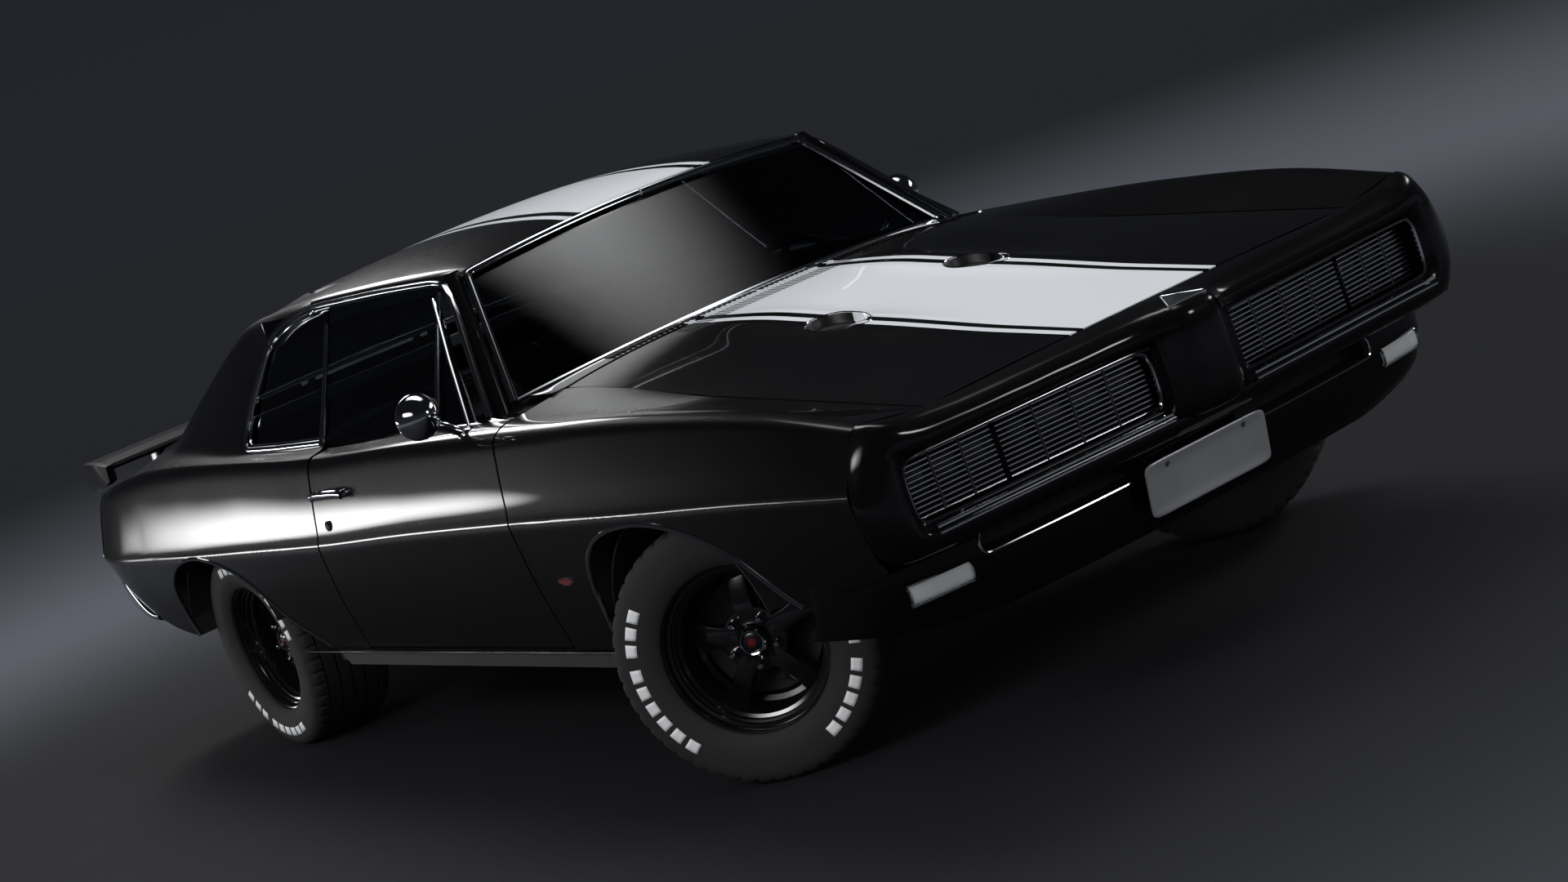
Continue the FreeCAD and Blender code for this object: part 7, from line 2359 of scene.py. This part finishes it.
    def dash(self) -> None:
        """The padded dashboard with its hooded dials and glovebox line."""
        layout = self.lines.layout
        outline = [(-832, 962), (-900, 960), (-950, 946), (-968, 922), (-962, 896), (-972, 868),
                   (-984, 812), (-974, 776), (-936, 720), (-902, 650), (-836, 646)]
        loop = soft_line(outline + [outline[0]], 0.35, 5)[:-1]
        rows = []
        for y in np.linspace(-674, 674, 81):
            hood = math.exp(-(abs(y - 360) / 190) ** 4)
            row = []
            for a, z in loop:
                bulge = -14 * hood if 880 < z < 958 and a < -900 else 0.0
                row.append(layout.at(a + bulge, y, z))
            rows.append(row)
        body = solid("dash_pad", rows, VINYL, angle=50)
        dials, axis, up = [], Vector((-0.98, 0, 0.2)), Vector((0.2, 0, 0.98))
        tick, face = Vector((0.0005, 0.0012, 0.003)), axis.normalized()
        for y, radius in ((455, 44), (360, 38), (268, 44)):
            spot, r = layout.at(-979, y, 842), radius / 1000
            dials.append(turned("bezel",
                                [(-0.012, r - 0.004), (0.006, r - 0.003), (0.010, r),
                                 (0.006, r + 0.004), (-0.012, r + 0.004)], CHROME, spot, axis, 40))
            dials.append(turned("dial", [(0.002, 0.0), (0.002, r - 0.002)], WHEEL_PLASTIC, spot,
                                axis, 40))
            for k in range(11):
                a, reach = math.radians(-130 + 26 * k), r * 0.82
                mark = spot + face * 0.003 + OUT * math.sin(a) * reach + up * math.cos(a) * reach
                dials.append(block("mark", mark - tick, mark + tick, DIAL_WHITE, 0, 1,
                                   Matrix.Rotation(-a, 4, "X")))
            needle = spot + face * 0.004 + Vector((0, 0.28 * r, 0.28 * r))
            half = Vector((0.0006, 0.0012, 0.38 * r))
            dials.append(block("needle", needle - half, needle + half, DIAL_WHITE, 0, 1,
                               Matrix.Rotation(math.radians(-45), 4, "X")))
        strip = block("trim_strip", layout.at(-990, -600, 800), layout.at(-980, 200, 806),
                      ALUMINIUM, 0.001, 1)
        placed(joined("dash_fittings", [body] + dials + [strip]), "body", "dashboard",
               slot="dash_vinyl")

    def build(self) -> None:
        """Everything inside the cabin."""
        for step in (self.seats, self.wheel, self.dash, self.door_fittings):
            step()


NODE_FINISHES = NodeFinishes(
    by_slot={"body_paint": ENAMEL, "chassis_black": SATIN_BLACK, "cast_steel": CAST_IRON,
             "engine_iron": ENGINE_ENAMEL, "tank_steel": TIN_PLATE, "exhaust_steel": EXHAUST_STEEL,
             "tinted_glass": GLASS, "clear_lens": CLEAR_LENS, "red_lens": RED_LENS,
             "plate_metal": PLATE_METAL, "grille_black": GRILLE_BLACK_AND_PAINTED_SHADE, "chrome_trim": CHROME,
             "dash_vinyl": VINYL, "wheel_plastic": WHEEL_PLASTIC, "seat_vinyl": SEAT_VINYL,
             "tyre_rubber": RUBBER, "rim_paint": WHEEL_BLACK},
    by_node={"wheelhouses": UNDERSEAL, "head_lamps": HEADLAMP_GLASS, "floor_pan": CARPET,
             "parcel_shelf": HEADLINER})


# ---------------------------------------------------------------- studio
@dataclass(frozen=True)
class StudioPaper(Finish):
    """Dark matt paper with a painted glow: paler in a wide ring round the car, as if light pooled
    there.
    """

    # The paper's colour in the ring: a painted glow, standing in for light on the floor.
    pale: str = "#54575F"
    far: str = "#2B2D33"
    reach_m: float = 20.0

    def colour_source(self, tree: bpy.types.NodeTree, where: bpy.types.NodeSocket,
                      patches: bpy.types.NodeSocket) -> bpy.types.NodeSocket:
        """The colour by distance from the middle, with the painted glow in its ring."""
        reach = add_node(tree, "ShaderNodeVectorMath", {0: where}, operation="LENGTH")
        share = add_node(tree, "ShaderNodeMapRange", {"Value": reach.outputs["Value"]})
        share.inputs["From Max"].default_value = self.reach_m
        ramp = add_node(tree, "ShaderNodeValToRGB", {"Fac": share.outputs["Result"]})
        ramp.color_ramp.interpolation = "EASE"
        # The paler steps of the ramp are painted light, a glow in the floor's colour.
        for spot, colour in ((0.15, self.colour), (0.33, self.pale), (0.75, self.far)):
            step = ramp.color_ramp.elements.new(spot)
            step.color = linear(colour)
        ramp.color_ramp.elements[0].color = linear(self.colour)
        ramp.color_ramp.elements[-1].color = linear(self.far)
        return ramp.outputs["Color"]


@dataclass
class Studio:
    """A dark floor with a painted glow round the car, soft light and the camera."""

    lit_colour: str = "#DCDDE0"
    lens_mm: float = 69.05
    place: Point = (7.6104, -4.1632, 1.7867)
    right: Point = (0.52806, 0.77897, -0.33816)
    up: Point = (0.05766181, 0.36439785, 0.92945647)
    forward: Point = (-0.8472464, 0.51030884, -0.14750737)
    # What a lamp's middle gains, so that its fading edges don't cost it light.
    fade_gain: float = 3.5
    # Columns: name, place, size, watts.
    lamps: list = field(default_factory=lambda: [("key_light", (2.5, -8.0, 5.0), (7.0, 2.6), 210),
                                                 ("fill_light", (2.0, 8.5, 4.6), (6.0, 2.4), 120),
                                                 ("top_light", (-1.0, 1.2, 6.5), (6.0, 3.4), 130),
                                                 ("front_light", (8.5, 3.5, 3.4), (2.4, 2.4), 90),
                                                 ("rear_light", (-7.0, 1.0, 4.6), (3.4, 2.0), 110),
                                                 ("low_light", (-9.3, -6.2, 0.9), (9.0, 0.9), 130)])

    def light(self, name: str, place: Point, size: tuple[float, float], power: float) -> None:
        """Add one lamp that faces the car and whose face fades to nothing at its edges."""
        data = bpy.data.lights.new(name, "AREA")
        data.shape = "RECTANGLE"
        data.size, data.size_y = size
        data.energy = power
        data.use_nodes = True
        tree = data.node_tree
        face = add_node(tree, "ShaderNodeNewGeometry").outputs["Parametric"]
        split = add_node(tree, "ShaderNodeSeparateXYZ", {"Vector": face})
        fades = []
        for axis in ("X", "Y"):
            middle = add_node(tree, "ShaderNodeMath", {0: split.outputs[axis]},
                              operation="SUBTRACT")
            middle.inputs[1].default_value = 0.5
            square = add_node(tree, "ShaderNodeMath", {0: middle.outputs[0], 1: middle.outputs[0]},
                              operation="MULTIPLY")
            fade = add_node(tree, "ShaderNodeMath", {0: square.outputs[0]},
                            operation="MULTIPLY_ADD")
            fade.inputs[1].default_value, fade.inputs[2].default_value = -4.0, 1.0
            even = add_node(tree, "ShaderNodeMath", {0: fade.outputs[0], 1: fade.outputs[0]},
                            operation="MULTIPLY")
            fades.append(even.outputs[0])
        soft = add_node(tree, "ShaderNodeMath", {0: fades[0], 1: fades[1]}, operation="MULTIPLY")
        softer = add_node(tree, "ShaderNodeMath", {0: soft.outputs[0]}, operation="MULTIPLY")
        softer.inputs[1].default_value = self.fade_gain
        tree.links.new(softer.outputs[0], tree.nodes["Emission"].inputs["Strength"])
        lamp = bpy.data.objects.new(name, data)
        bpy.context.scene.collection.objects.link(lamp)
        lamp.location = place
        aim = Vector((0, 0, 0.6)) - Vector(place)
        lamp.rotation_euler = aim.to_track_quat("-Z", "Y").to_euler()

    def floor(self) -> None:
        """Add the floor, dark and matt, with a painted ring of glow round the car."""
        deselect()
        bpy.ops.mesh.primitive_plane_add(size=160, location=(0, 0, -0.0005))
        floor = bpy.context.object
        floor.name = "studio_floor"
        floor.data.materials.append(StudioPaper("studio_paper", "#1C1D21", 0.8, grain_mm=60,
                                                specular=0.2, grain_height_mm=0.0,
                                                wear=0.02).material())
        floor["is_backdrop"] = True

    def backdrop(self) -> None:
        """Light the world evenly, and show a dark one to the camera and in metal and glass."""
        scene = bpy.context.scene
        world = scene.world or bpy.data.worlds.new("studio")
        scene.world = world
        world.use_nodes = True
        tree = world.node_tree
        for node in list(tree.nodes):
            tree.nodes.remove(node)
        where = add_node(tree, "ShaderNodeTexCoord")
        split = add_node(tree, "ShaderNodeSeparateXYZ", {"Vector": where.outputs["Generated"]})
        ramp = add_node(tree, "ShaderNodeValToRGB", {"Fac": split.outputs["Z"]})
        ramp.color_ramp.elements[0].color = linear("#24262B")
        ramp.color_ramp.elements[1].color = linear("#101114")
        ramp.color_ramp.elements[0].position = 0.02
        ramp.color_ramp.elements[1].position = 0.5
        path = add_node(tree, "ShaderNodeLightPath")
        seen = add_node(tree, "ShaderNodeMath",
                        {0: path.outputs["Is Camera Ray"], 1: path.outputs["Is Glossy Ray"]},
                        operation="MAXIMUM")
        seen = add_node(tree, "ShaderNodeMath",
                        {0: seen.outputs[0], 1: path.outputs["Is Transmission Ray"]},
                        operation="MAXIMUM")
        mix = add_node(tree, "ShaderNodeMix",
                       {"Factor": seen.outputs[0], MIX_B: ramp.outputs["Color"]}, data_type="RGBA")
        mix.inputs[MIX_A].default_value = linear(self.lit_colour)
        shown = add_node(tree, "ShaderNodeBackground", {"Color": mix.outputs[MIX_RESULT]},
                         Strength=1.0)
        add_node(tree, "ShaderNodeOutputWorld", {"Surface": shown.outputs[0]})

    def build(self) -> None:
        """Set up floor, world, lamps and camera."""
        self.floor()
        self.backdrop()
        for lamp in self.lamps:
            self.light(*lamp)
        data = bpy.data.cameras.new("camera")
        data.lens = self.lens_mm
        camera = bpy.data.objects.new("camera", data)
        bpy.context.scene.collection.objects.link(camera)
        axes = [Vector(self.right), Vector(self.up), -Vector(self.forward)]
        camera.matrix_world = Matrix.Translation(self.place) @ Matrix(axes).transposed().to_4x4()
        bpy.context.scene.camera = camera
        bpy.context.scene.view_settings.view_transform = "Standard"


def main() -> None:
    """Build every sub-assembly in order."""
    logging.basicConfig(level=logging.INFO, format="%(message)s")
    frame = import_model()
    layout = Layout.read(frame)
    lines = BodyLines(layout)
    for part in (Panels, Lids, Nose, Grilles, LowerFront, Rear, Trim):
        part(lines).build()
    for end in End:
        for side in Side:
            Wheel(side, end, lines).build()
    EngineBay(lines).build()
    Cabin(lines, frame).build()
    NODE_FINISHES.apply(frame)
    Studio().build()


if __name__ == "__main__":
    main()
